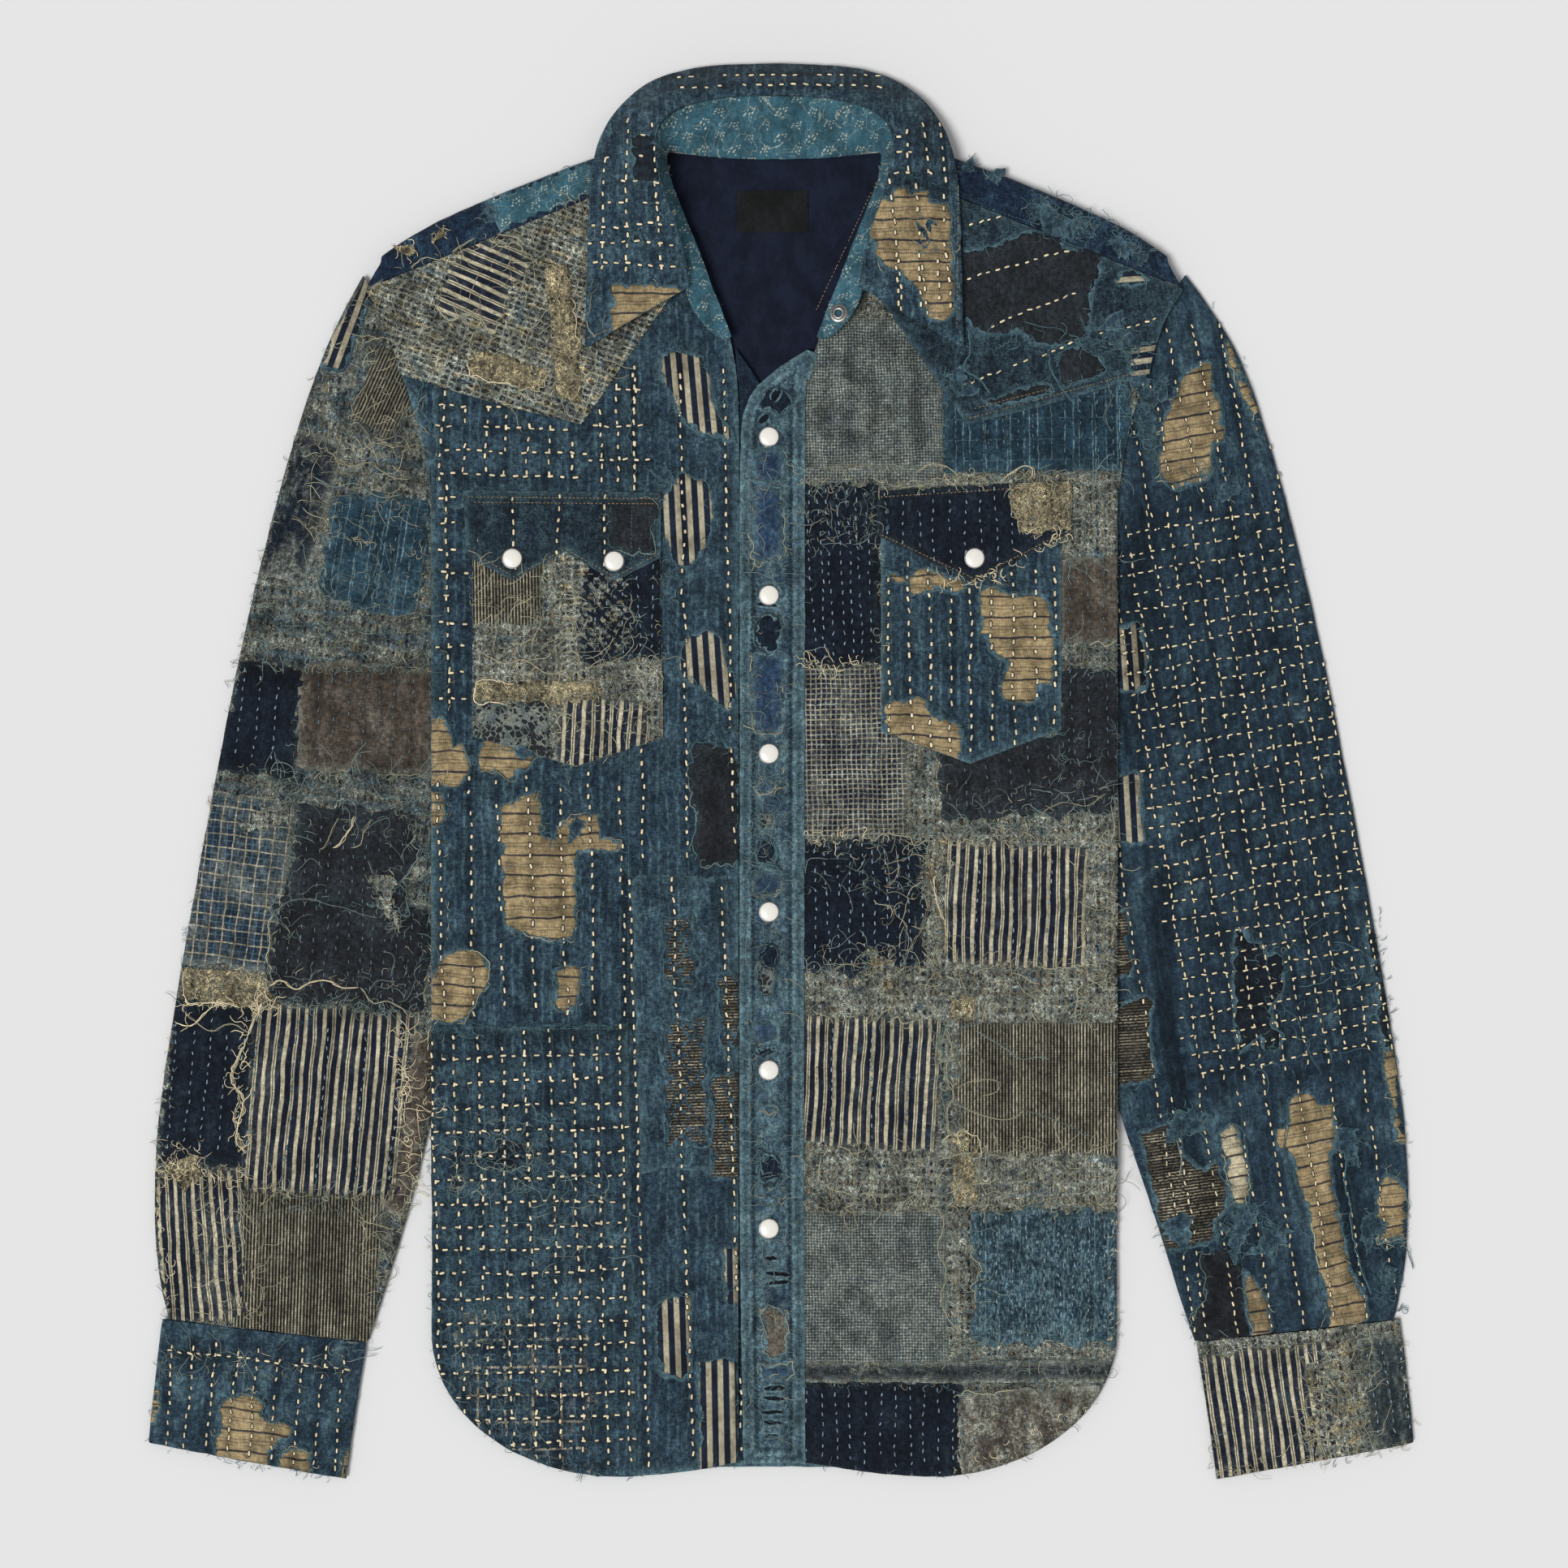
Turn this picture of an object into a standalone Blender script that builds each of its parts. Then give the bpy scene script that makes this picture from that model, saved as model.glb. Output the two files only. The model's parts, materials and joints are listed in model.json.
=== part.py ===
"""Patched boro overshirt with western yokes and snaps, laid out flat, front up, on a surface at Z = 0.

+X is the wearer's left, +Y runs from the hem to the collar and +Z is up. The tables are in millimetres and
the meshes in metres. Two mirror lines are used: the body and the collar lie about BODY_MID, the sleeves
about X = 0. "away" is a distance from the mirror line of the piece.
"""

import math

import bmesh
import bpy
from mathutils import Vector
from mathutils.geometry import delaunay_2d_cdt

MM = 0.001

# Cloth, in millimetres
BACK_CLOTH = 1.5
FRONT_CLOTH = 1.8
TRIM_CLOTH = 1.3
LINING_CLOTH = 1.0
SLEEVE_CLOTH = 1.6
COLLAR_CLOTH = 2.0
PLACKET_CLOTH = 1.9
SEAM = 0.35  # clearance between neighbouring pieces
LAY = 0.7  # clearance between a panel and what is sewn on it, since their facets differ

# Body
BODY_MID = -4.0
HALF_BODY = 198.0
HEM_CENTRE_Y = -400.0
HEM_LOW_Y = -408.0
HEM_FLAT = 90.0  # away, where the rounded corner of the shirt tail starts
HEM_CORNER_HEIGHT = 83.0
UNDERARM_Y = 150.0
YOKE_SEAM_Y = 184.5
BACK_NECK_Y = 354.0
SLEEVE_LAP = 7.0  # how far the fronts lap over the sleeve at the armhole
GRID = 27.0  # spacing of the points inside a panel

# Heights of the front cloth over the surface
FRONT_LOW = 2.0
FRONT_PUFF = 3.5
TUCK_LIFT = 5.2  # how high the body rides over the tucked edge of a sleeve
TUCK_WIDTH = 30.0
SLEEVE_EXIT_Y = -218.0  # below this the sleeves lie clear of the body

# Armhole of the front, from the shoulder to the underarm
ARMHOLE = [  # away, y
    (236.0, 278.0),
    (226.0, 261.0),
    (219.0, 241.0),
    (213.5, 224.0),
    (206.0, 202.0),
    (202.0, 183.0),
    (199.0, 163.0),
    (198.0, UNDERARM_Y),
]

# Top fold of the shoulder, from the tip to the neck
SHOULDER_FOLD = [  # away, y
    (227.0, 297.5),
    (210.0, 309.5),
    (192.0, 319.0),
    (166.0, 330.5),
    (135.0, 343.0),
    (104.0, 354.5),
    (74.0, 365.0),
]
SHOULDER_SEAM_TIP = (236.0, 278.0)
SHOULDER_SEAM_NECK = (60.0, 349.5)
SHOULDER_STRIP_TOP = 9.0

FRONT_NECK = [(62.0, 338.0), (57.0, 324.0), (46.0, 302.0), (39.0, 286.0), (32.0, 268.0), (25.0, 247.0)]

# Western front yoke: its point and where its inner edge meets the neck
YOKE_ARMHOLE_END = (216.5, 229.0)
YOKE_POINT = (111.0, 200.0)
YOKE_NECK_END = (44.0, 297.0)

# Placket and the stand under it
PLACKET_LEFT, PLACKET_RIGHT = -24.0, 13.0
FRONT_RIGHT_EDGE, FRONT_LEFT_EDGE = -24.6, 10.5
PLACKET_TOP_LEFT = [(-23.0, 196.0), (-20.5, 210.0), (-14.5, 221.0), (-1.0, 233.0), (15.0, 243.0)]
PLACKET_TOP_RIGHT = [(21.0, 240.5), (16.5, 226.0), (14.0, 211.0)]
SNAP_X = -7.0
SNAP_TOP_Y = 192.7
SNAP_SPACING = 91.3
SNAP_COUNT = 6
SNAP_RADIUS = 5.4
SNAP_RING_RADIUS = 6.1
SNAP_DOME = 1.7

# Pockets and flaps, each an outline in place
POCKET_RIGHT = [(-178.0, 151.0), (-178.0, 20.0), (-118.5, 2.4), (-68.0, 19.0), (-70.0, 151.0)]
FLAP_RIGHT = [
    (-183.0, 162.0),
    (-182.0, 125.0),
    (-168.0, 116.5),
    (-154.5, 110.0),
    (-140.0, 118.0),
    (-124.5, 126.5),
    (-110.0, 117.5),
    (-96.0, 110.0),
    (-82.0, 116.5),
    (-69.5, 123.0),
    (-69.0, 160.5),
]
POCKET_LEFT = [(57.5, 152.0), (57.5, 22.5), (109.0, 4.2), (161.5, 24.0), (161.5, 155.0)]
FLAP_LEFT = [(55.5, 161.5), (55.0, 136.0), (83.0, 122.0), (111.0, 108.6), (139.5, 123.0), (167.5, 138.5), (168.0, 168.0)]
POCKET_SNAPS = [("right_outer", -155.0, 122.5), ("right_inner", -96.3, 121.0), ("left", 111.5, 122.7)]

# Sleeve stations from the armhole down: outer edge, inner edge and the height of the crown between them
SLEEVE = [  # outer away, outer y, inner away, inner y, crown
    (264.0, 247.0, 189.0, 108.0, 6.0),
    (279.0, 202.0, 188.5, 78.0, 6.5),
    (292.0, 157.0, 188.0, 50.0, 6.8),
    (303.0, 112.0, 188.0, 24.0, 6.8),
    (314.0, 66.0, 188.0, -6.0, 6.8),
    (323.0, 18.0, 188.0, -40.0, 7.0),
    (332.5, -32.0, 188.0, -78.0, 7.0),
    (342.0, -84.0, 188.5, -118.0, 7.0),
    (350.5, -134.0, 191.0, -158.0, 7.0),
    (358.0, -180.0, 197.5, -194.0, 7.0),
    (362.5, -222.0, 208.5, -232.0, 6.8),
    (363.0, -262.0, 220.0, -270.0, 6.5),
    (360.0, -295.0, 230.5, -304.0, 6.3),
    (354.5, -317.0, 239.0, -330.0, 6.0),
]
SLEEVE_TIP = (238.0, 287.0)  # outer end of the armhole ring, away from BODY_MID
SLEEVE_EDGE_TOP = 3.8

CUFF = [  # outer away, outer y, inner away, inner y, crown
    (358.0, -317.0, 240.0, -330.3, 6.2),
    (361.5, -343.0, 244.5, -359.0, 6.0),
    (364.0, -366.0, 248.5, -384.5, 5.6),
    (366.0, -388.5, 251.5, -409.5, 5.2),
]

# Collar sections from the centre back to the front: the neck seam, the top of the stand and the leaf's edge
COLLAR = [  # neck away, y, z, top away, y, z, edge away, y, z
    (0.0, 354.0, 3.6, 0.0, 387.5, 24.0, 0.0, 407.9, 3.0),
    (30.0, 355.0, 3.6, 31.0, 386.5, 24.0, 38.0, 406.9, 3.0),
    (50.0, 357.5, 3.8, 56.0, 381.0, 24.5, 70.0, 400.5, 3.4),
    (63.0, 359.0, 6.4, 69.0, 369.0, 25.5, 92.0, 381.0, 6.0),
    (64.0, 350.0, 10.0, 70.0, 353.0, 25.5, 102.0, 361.0, 11.8),
    (58.5, 332.0, 10.0, 66.0, 334.0, 24.0, 106.0, 335.0, 11.8),
    (48.5, 309.0, 10.0, 58.5, 312.0, 20.5, 107.0, 305.0, 11.8),
    (41.5, 293.0, 10.0, 54.0, 293.0, 17.7, 108.0, 275.0, 11.8),
    (37.0, 281.0, 10.0, 52.0, 276.0, 15.2, 109.0, 243.0, 11.8),
]
STAND_FRONT = [  # neck away, y, z, top away, y, z
    (31.0, 267.0, 10.0, 46.0, 262.0, 12.8),
    (24.5, 250.0, 10.0, 33.0, 249.0, 11.2),
]

# Largest folds: a soft trough between two points, all round the named cloth
FRONT_FOLDS = [  # x0, y0, x1, y1, half width, depth
    (-196.0, -283.0, -78.0, -292.0, 16.0, 0.9),
    (-86.0, -30.0, -84.0, -385.0, 12.0, 0.6),
    (30.0, 60.0, 60.0, -40.0, 30.0, 0.8),
    (120.0, -110.0, 190.0, -150.0, 22.0, 0.8),
    (-150.0, -20.0, -60.0, -110.0, 26.0, 0.8),
]
SLEEVE_FOLDS = [  # away0, y0, away1, y1, half width, depth
    (224.0, -90.0, 244.0, -232.0, 13.0, 1.7),
    (252.0, -246.0, 268.0, -326.0, 12.0, 1.5),
    (205.0, 150.0, 228.0, 40.0, 14.0, 1.3),
    (300.0, -270.0, 318.0, -322.0, 11.0, 1.3),
]

LABEL = (-25.5, 15.5, 311.5, 335.5)  # x low, x high, y low, y high
LABEL_CLOTH = 0.7
COLLAR_SNAP = (33.0, 263.5)

COLOURS = {  # red, green, blue, roughness, metallic
    "indigo": (0.030, 0.062, 0.125, 0.92, 0.0),
    "worn_blue": (0.060, 0.115, 0.175, 0.92, 0.0),
    "grey_gauze": (0.130, 0.140, 0.130, 0.95, 0.0),
    "dark_navy": (0.010, 0.014, 0.030, 0.90, 0.0),
    "stripe": (0.170, 0.160, 0.130, 0.90, 0.0),
    "teal": (0.060, 0.135, 0.165, 0.88, 0.0),
    "label_black": (0.012, 0.011, 0.010, 0.70, 0.0),
    "pearl": (0.800, 0.790, 0.730, 0.28, 0.0),
    "metal": (0.420, 0.410, 0.390, 0.35, 1.0),
}


def smooth(low, high, value):
    """0 below low, 1 above high and a soft step between them."""
    t = min(1.0, max(0.0, (value - low) / (high - low)))
    return t * t * (3.0 - 2.0 * t)


def lerp(a, b, t):
    return a + (b - a) * t


def along(points, t):
    """The point at share t of the length of a polyline."""
    lengths = [math.dist(a, b) for a, b in zip(points, points[1:])]
    left = t * sum(lengths)
    for a, b, length in zip(points, points[1:], lengths):
        if left <= length:
            return tuple(lerp(u, v, left / length) for u, v in zip(a, b))
        left -= length
    return points[-1]


def trough(x, y, fold):
    """How deep one fold of a table is at a point."""
    x0, y0, x1, y1, half_width, depth = fold
    dx, dy = x1 - x0, y1 - y0
    share = ((x - x0) * dx + (y - y0) * dy) / (dx * dx + dy * dy)
    aside = math.hypot(x - x0 - dx * share, y - y0 - dy * share)
    ends = smooth(-0.1, 0.2, share) * (1.0 - smooth(0.8, 1.1, share))
    return depth * ends * math.exp(-((aside / half_width) ** 2))


def hem_y(away):
    """Height of the shirt tail's edge: nearly level, with an elliptical corner."""
    if away <= HEM_FLAT:
        dip = math.sin(0.5 * math.pi * away / HEM_FLAT) ** 2
        return lerp(HEM_CENTRE_Y, HEM_LOW_Y, dip)
    share = min(1.0, (away - HEM_FLAT) / (HALF_BODY - HEM_FLAT))
    return HEM_LOW_Y + HEM_CORNER_HEIGHT * (1.0 - math.sqrt(1.0 - share * share))


def over_sleeve(x, y):
    """1 where the body rides over the tucked edge of a sleeve."""
    inside = HALF_BODY - abs(x - BODY_MID)
    across = 1.0 - smooth(16.0, 16.0 + TUCK_WIDTH, inside)
    upward = smooth(SLEEVE_EXIT_Y - 32.0, SLEEVE_EXIT_Y, y)
    downward = 1.0 - smooth(UNDERARM_Y + 3.0, YOKE_SEAM_Y - 2.0, y)
    return across * upward * downward


def back_under(x, y):
    """Underside of the back."""
    return TUCK_LIFT * over_sleeve(x, y)


def front_under(x, y):
    """Underside of the fronts: low at the free edges, puffed in the middle, higher over the sleeves."""
    away = abs(x - BODY_MID)
    side = lerp(smooth(0.0, 45.0, HALF_BODY - away), 1.0, smooth(SLEEVE_EXIT_Y - 50.0, SLEEVE_EXIT_Y, y))
    hem = smooth(0.0, 50.0, y - hem_y(away))
    rise = FRONT_PUFF * side * hem + (TUCK_LIFT + BACK_CLOTH + 0.5 - FRONT_PUFF - FRONT_LOW) * over_sleeve(x, y)
    inner = smooth(0.0, 40.0, HALF_BODY - away) * smooth(0.0, 40.0, y - hem_y(away))
    return FRONT_LOW + rise - inner * sum(trough(x, y, fold) for fold in FRONT_FOLDS)


def above_front(lift):
    """A height function lift above the fronts' upper face."""
    return lambda x, y: front_under(x, y) + FRONT_CLOTH + lift


def material_of(name):
    made = bpy.data.materials.get(name)
    if made is None:
        red, green, blue, roughness, metallic = COLOURS[name]
        made = bpy.data.materials.new(name)
        made.use_nodes = True
        shader = made.node_tree.nodes["Principled BSDF"]
        shader.inputs["Base Color"].default_value = (red, green, blue, 1.0)
        shader.inputs["Roughness"].default_value = roughness
        shader.inputs["Metallic"].default_value = metallic
    return made


def node_from(name, mesh_work, colour, is_smooth=True):
    """Makes the named object from a bmesh whose points are in millimetres."""
    bmesh.ops.scale(mesh_work, vec=(MM, MM, MM), verts=mesh_work.verts)
    mesh = bpy.data.meshes.new(name)
    mesh_work.to_mesh(mesh)
    mesh_work.free()
    mesh.materials.append(material_of(colour))
    if is_smooth:
        mesh.shade_smooth()
        mesh.set_sharp_from_angle(angle=math.radians(50.0))
    made = bpy.data.objects.new(name, mesh)
    bpy.context.scene.collection.objects.link(made)
    return made


def inside(point, outline):
    """True if a point lies in a closed outline."""
    x, y = point
    crossings = 0
    for (x0, y0), (x1, y1) in zip(outline, outline[1:] + outline[:1]):
        if (y0 > y) != (y1 > y) and x < x0 + (x1 - x0) * (y - y0) / (y1 - y0):
            crossings += 1
    return crossings % 2 == 1


def distance_to_edge(point, outline):
    """How far a point is from the nearest side of an outline."""
    nearest = math.inf
    for a, b in zip(outline, outline[1:] + outline[:1]):
        length = math.dist(a, b)
        share = ((point[0] - a[0]) * (b[0] - a[0]) + (point[1] - a[1]) * (b[1] - a[1])) / (length * length)
        share = min(1.0, max(0.0, share))
        nearest = min(nearest, math.dist(point, (lerp(a[0], b[0], share), lerp(a[1], b[1], share))))
    return nearest


def stepped(outline, step):
    """An outline with points added, so that no side is longer than step."""
    points = []
    for a, b in zip(outline, outline[1:] + outline[:1]):
        parts = max(1, math.ceil(math.dist(a, b) / step))
        points += [(lerp(a[0], b[0], k / parts), lerp(a[1], b[1], k / parts)) for k in range(parts)]
    return points


def filled(outline, grid):
    """The points and triangles of a flat cut: its outline and a grid inside it."""
    edge = stepped(outline, grid * 1.25)
    columns = range(math.floor(min(x for x, _ in edge) / grid), math.ceil(max(x for x, _ in edge) / grid) + 1)
    rows = range(math.floor(min(y for _, y in edge) / grid), math.ceil(max(y for _, y in edge) / grid) + 1)
    lattice = [(column * grid, row * grid) for column in columns for row in rows]
    middle = [p for p in lattice if inside(p, edge) and distance_to_edge(p, edge) > 0.45 * grid]
    flat = [Vector(p) for p in edge + middle]
    sides = [(k, (k + 1) % len(edge)) for k in range(len(edge))]
    points, _, triangles, *_ = delaunay_2d_cdt(flat, sides, [], 1, 1e-4)
    return [tuple(p) for p in points], triangles


def panel(name, outline, underside, thickness, colour, grid=GRID):
    """A cut of cloth: a wall of even thickness over a height function."""
    points, triangles = filled(outline, grid)
    work = bmesh.new()
    lower = [work.verts.new((x, y, underside(x, y))) for x, y in points]
    upper = [work.verts.new((x, y, underside(x, y) + thickness)) for x, y in points]
    for a, b, c in triangles:
        work.faces.new((upper[a], upper[b], upper[c]))
        work.faces.new((lower[c], lower[b], lower[a]))
    uses = {}
    for triangle in triangles:
        for a, b in zip(triangle, triangle[1:] + triangle[:1]):
            uses.setdefault(frozenset((a, b)), []).append((a, b))
    for sides in uses.values():
        if len(sides) == 1:
            a, b = sides[0]
            work.faces.new((upper[b], upper[a], lower[a], lower[b]))
    bmesh.ops.recalc_face_normals(work, faces=work.faces)
    return node_from(name, work, colour)


def grid_surface(rows):
    """An open surface through equal rows of points, in millimetres."""
    work = bmesh.new()
    verts = [[work.verts.new(p) for p in row] for row in rows]
    for lower, upper in zip(verts, verts[1:]):
        for a, b, c, d in zip(lower, lower[1:], upper[1:], upper):
            work.faces.new((a, b, c, d))
    return work


def thicken(made, thickness, side):
    """Gives an open surface its cloth: side is 1 along its normals and -1 against them."""
    solid = made.modifiers.new("Cloth", "SOLIDIFY")
    solid.thickness = thickness * MM
    solid.offset = side
    solid.use_even_offset = True
    solid.use_quality_normals = True
    return made


def mirrored(points, side):
    """Points given as (away, y) about BODY_MID, on one side of the body."""
    return [(BODY_MID + side * away, y) for away, y in points]


def armhole(inset):
    """The armhole moved towards the body by inset."""
    return [(away - inset, y) for away, y in ARMHOLE]


def hem_corner():
    """The rounded corner of the shirt tail, from the side to the level part, as (away, y)."""
    steps = 8
    turns = [0.5 * math.pi * k / steps for k in range(steps + 1)]
    return [
        (HEM_FLAT + (HALF_BODY - HEM_FLAT) * math.cos(a), HEM_LOW_Y + HEM_CORNER_HEIGHT * (1.0 - math.sin(a)))
        for a in turns
    ]


def front_outline(side, centre_x):
    """A front, from the top of its centre edge round the neck, shoulder, armhole, side and hem."""
    neck = FRONT_NECK[::-1]
    shoulder = [SHOULDER_SEAM_NECK, SHOULDER_SEAM_TIP]
    hem = [(60.0, hem_y(60.0)), (35.0, hem_y(35.0))]
    outline = mirrored(neck + shoulder + ARMHOLE[1:] + hem_corner() + hem, side)
    return [(centre_x, 206.0), *outline, (centre_x, HEM_CENTRE_Y + 0.5)]


def build_back():
    """The back below its yoke. It stops at the sleeves' ends and rides over their tucked edges."""
    ring = [p for p in armhole(SLEEVE_LAP + 1.0) if p[1] < YOKE_SEAM_Y - 1.0]
    top = (along_armhole_at(YOKE_SEAM_Y), YOKE_SEAM_Y)
    half = [top, *ring[:-1], (HALF_BODY - SLEEVE_LAP - 1.0, UNDERARM_Y + 1.0), (HALF_BODY - 1.0, UNDERARM_Y - 6.0)]
    half += [(away - 1.0, y + 1.0) for away, y in hem_corner()]
    half += [(45.0, hem_y(45.0) + 1.0)]
    left = mirrored(half, 1)
    right = mirrored(half[::-1], -1)
    panel("back", left + right, back_under, BACK_CLOTH, "indigo", grid=33.0)


def along_armhole_at(y):
    """How far away the back's armhole edge is at a height."""
    points = armhole(SLEEVE_LAP + 1.0)
    for (away0, y0), (away1, y1) in zip(points, points[1:]):
        if y1 <= y <= y0:
            return lerp(away0, away1, (y0 - y) / (y0 - y1))
    return points[-1][0]


def build_back_yoke():
    """The yoke under the shoulders, which folds over them and ends forward at the front yokes."""
    radius = 0.5 * SHOULDER_STRIP_TOP
    turn_steps = 6
    fold = {side: mirrored(SHOULDER_FOLD, side) for side in (1, -1)}
    sides = [p for p in armhole(SLEEVE_LAP + 1.5) if p[1] > YOKE_SEAM_Y + SEAM]
    low = (along_armhole_at(YOKE_SEAM_Y) - 0.5, YOKE_SEAM_Y + SEAM)
    neck = [(62.0, BACK_NECK_Y + 4.0), (30.0, BACK_NECK_Y + 0.5)]
    half = [low, *sides[:0:-1], (SHOULDER_FOLD[0][0] + 0.5, 284.0)]
    shoulder = [(away, y - radius) for away, y in SHOULDER_FOLD]
    left = mirrored(half + shoulder + neck, 1)
    right = mirrored((half + shoulder + neck)[::-1], -1)
    points, triangles = filled(left + right, 33.0)
    work = bmesh.new()
    verts = [work.verts.new((x, y, 0.0)) for x, y in points]
    for triangle in triangles:
        work.faces.new([verts[k] for k in triangle][::-1])
    for side in (1, -1):
        row = [
            min(verts, key=lambda v, x=x, y=y: math.dist(v.co[:2], (x, y - radius))) for x, y in fold[side]
        ]
        for step in range(1, turn_steps + 1):
            angle = math.pi * step / turn_steps
            lift, reach = radius * (1.0 - math.cos(angle)), radius * math.sin(angle)
            over = [work.verts.new((x, y - radius + reach, lift)) for x, y in fold[side]]
            join_rows(work, row, over)
            row = over
        seam = [shoulder_seam(away) for away, _ in SHOULDER_FOLD]
        lap = [(BODY_MID + side * away, y + SEAM) for away, y in seam]
        lap[0] = (BODY_MID + side * (SHOULDER_SEAM_TIP[0] - 1.0), SHOULDER_SEAM_TIP[1] + 1.5)
        ahead = [work.verts.new((x, y, SHOULDER_STRIP_TOP)) for x, y in lap]
        join_rows(work, row, ahead)
    bmesh.ops.recalc_face_normals(work, faces=work.faces)
    down = sum(face.normal.z * face.calc_area() for face in work.faces if face.calc_center_median().z < 0.1)
    if down > 0.0:
        bmesh.ops.reverse_faces(work, faces=work.faces)
    thicken(node_from("back_yoke", work, "worn_blue"), BACK_CLOTH, -1.0)


def shoulder_seam(away):
    """The point of the seam between the back yoke's strip and the front."""
    share = (SHOULDER_SEAM_TIP[0] - away) / (SHOULDER_SEAM_TIP[0] - SHOULDER_SEAM_NECK[0])
    return away, lerp(SHOULDER_SEAM_TIP[1], SHOULDER_SEAM_NECK[1], share)


def join_rows(work, row, other):
    for a, b, c, d in zip(row, row[1:], other[1:], other):
        work.faces.new((a, b, c, d))


def build_yoke_lining():
    """The plain lining that shows inside the neck, with a bare label sewn to it."""
    inset = 5.0
    half = [(away - inset, y) for away, y in armhole(SLEEVE_LAP + 1.5) if y > YOKE_SEAM_Y + inset][::-1]
    half = [(along_armhole_at(YOKE_SEAM_Y) - inset, YOKE_SEAM_Y + 3.0), *half[:-1]]
    half += [(away - inset, y - 2.0 * inset) for away, y in SHOULDER_FOLD]
    half += [(60.0, BACK_NECK_Y + 3.0), (30.0, BACK_NECK_Y)]
    outline = mirrored(half, 1) + mirrored(half[::-1], -1)
    under = BACK_CLOTH + SEAM
    panel("yoke_lining", outline, lambda x, y: under, LINING_CLOTH, "dark_navy", grid=60.0)
    low_x, high_x, low_y, high_y = LABEL
    top = under + LINING_CLOTH + SEAM
    corners = [(low_x, low_y), (high_x, low_y), (high_x, high_y), (low_x, high_y)]
    panel("neck_label", corners, lambda x, y: top, LABEL_CLOTH, "label_black", grid=60.0)


def build_fronts():
    """The two fronts and the western yokes that lie on them."""
    for name, side, centre in (("right", -1, FRONT_RIGHT_EDGE), ("left", 1, FRONT_LEFT_EDGE)):
        outline = front_outline(side, centre)
        colour = "indigo" if side < 0 else "grey_gauze"
        panel("front_" + name, outline, front_under, FRONT_CLOTH, colour)
        upper_armhole = [p for p in ARMHOLE[1:] if p[1] > YOKE_ARMHOLE_END[1] + 3.0]
        neck = [p for p in FRONT_NECK if p[1] > YOKE_NECK_END[1] + 3.0]
        cut = [SHOULDER_SEAM_NECK, SHOULDER_SEAM_TIP, *upper_armhole, YOKE_ARMHOLE_END]
        cut += [(160.0, 212.0), YOKE_POINT, YOKE_NECK_END, *neck[::-1]]
        panel("front_yoke_" + name, mirrored(cut, side), above_front(SEAM), TRIM_CLOTH, "grey_gauze", grid=40.0)


def build_placket():
    """The snap placket of the wearer's left front, and the stand of the right front under it."""
    stand = [
        (PLACKET_LEFT, HEM_CENTRE_Y + 1.5),
        (PLACKET_LEFT + 32.5, HEM_CENTRE_Y + 1.5),
        (PLACKET_LEFT + 32.5, 182.0),
        (-3.0, 205.0),
        (-14.0, 226.0),
        (-26.5, 244.0),
        (-25.5, 228.0),
        (PLACKET_LEFT, 207.0),
    ]
    panel("under_placket", stand, front_under, TRIM_CLOTH, "dark_navy", grid=40.0)
    band = [(PLACKET_LEFT + 2.0, HEM_CENTRE_Y), (PLACKET_RIGHT + 1.0, HEM_CENTRE_Y), (PLACKET_RIGHT, -250.0)]
    band += [*PLACKET_TOP_RIGHT[::-1], *PLACKET_TOP_LEFT[::-1], (PLACKET_LEFT, 150.0), (PLACKET_LEFT, -250.0)]
    panel("placket", band, above_front(SEAM), PLACKET_CLOTH, "worn_blue", grid=30.0)


def build_pockets():
    """Two patch pockets with pointed flaps: a double point on the right, a single one on the left."""
    for name, pocket, flap in (("right", POCKET_RIGHT, FLAP_RIGHT), ("left", POCKET_LEFT, FLAP_LEFT)):
        panel("pocket_" + name, pocket, above_front(LAY), TRIM_CLOTH, "worn_blue", grid=24.0)
        panel("flap_" + name, flap, above_front(2.0 * LAY + TRIM_CLOTH), TRIM_CLOTH, "indigo", grid=24.0)


def tube_ring(width, crown, wall):
    """A flattened tube's section: the outer loop and the inner one, as (share of the width, height)."""
    edge, shoulder = 1.3 / width, 15.0 / width
    top = [(0.0, 1.9), (edge, SLEEVE_EDGE_TOP), (shoulder, SLEEVE_EDGE_TOP + 0.7), (0.32, lerp(4.5, crown, 0.85))]
    top += [(0.5, crown), (0.68, lerp(4.5, crown, 0.85)), (1.0 - shoulder, SLEEVE_EDGE_TOP + 0.7)]
    top += [(1.0 - edge, SLEEVE_EDGE_TOP), (1.0, 1.9)]
    bottom = [(1.0 - edge, 0.0), (0.66, 0.0), (0.34, 0.0), (edge, 0.0)]
    inset = (wall + 0.1) / width
    inner_top = [(inset, 1.9)] + [(min(max(t, inset * 1.2), 1.0 - inset * 1.2), z - wall) for t, z in top[1:-1]]
    inner_top += [(1.0 - inset, 1.9)]
    inner_bottom = [(min(max(t, inset * 1.2), 1.0 - inset * 1.2), wall) for t, _ in bottom]
    return top + bottom, inner_top + inner_bottom


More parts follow.
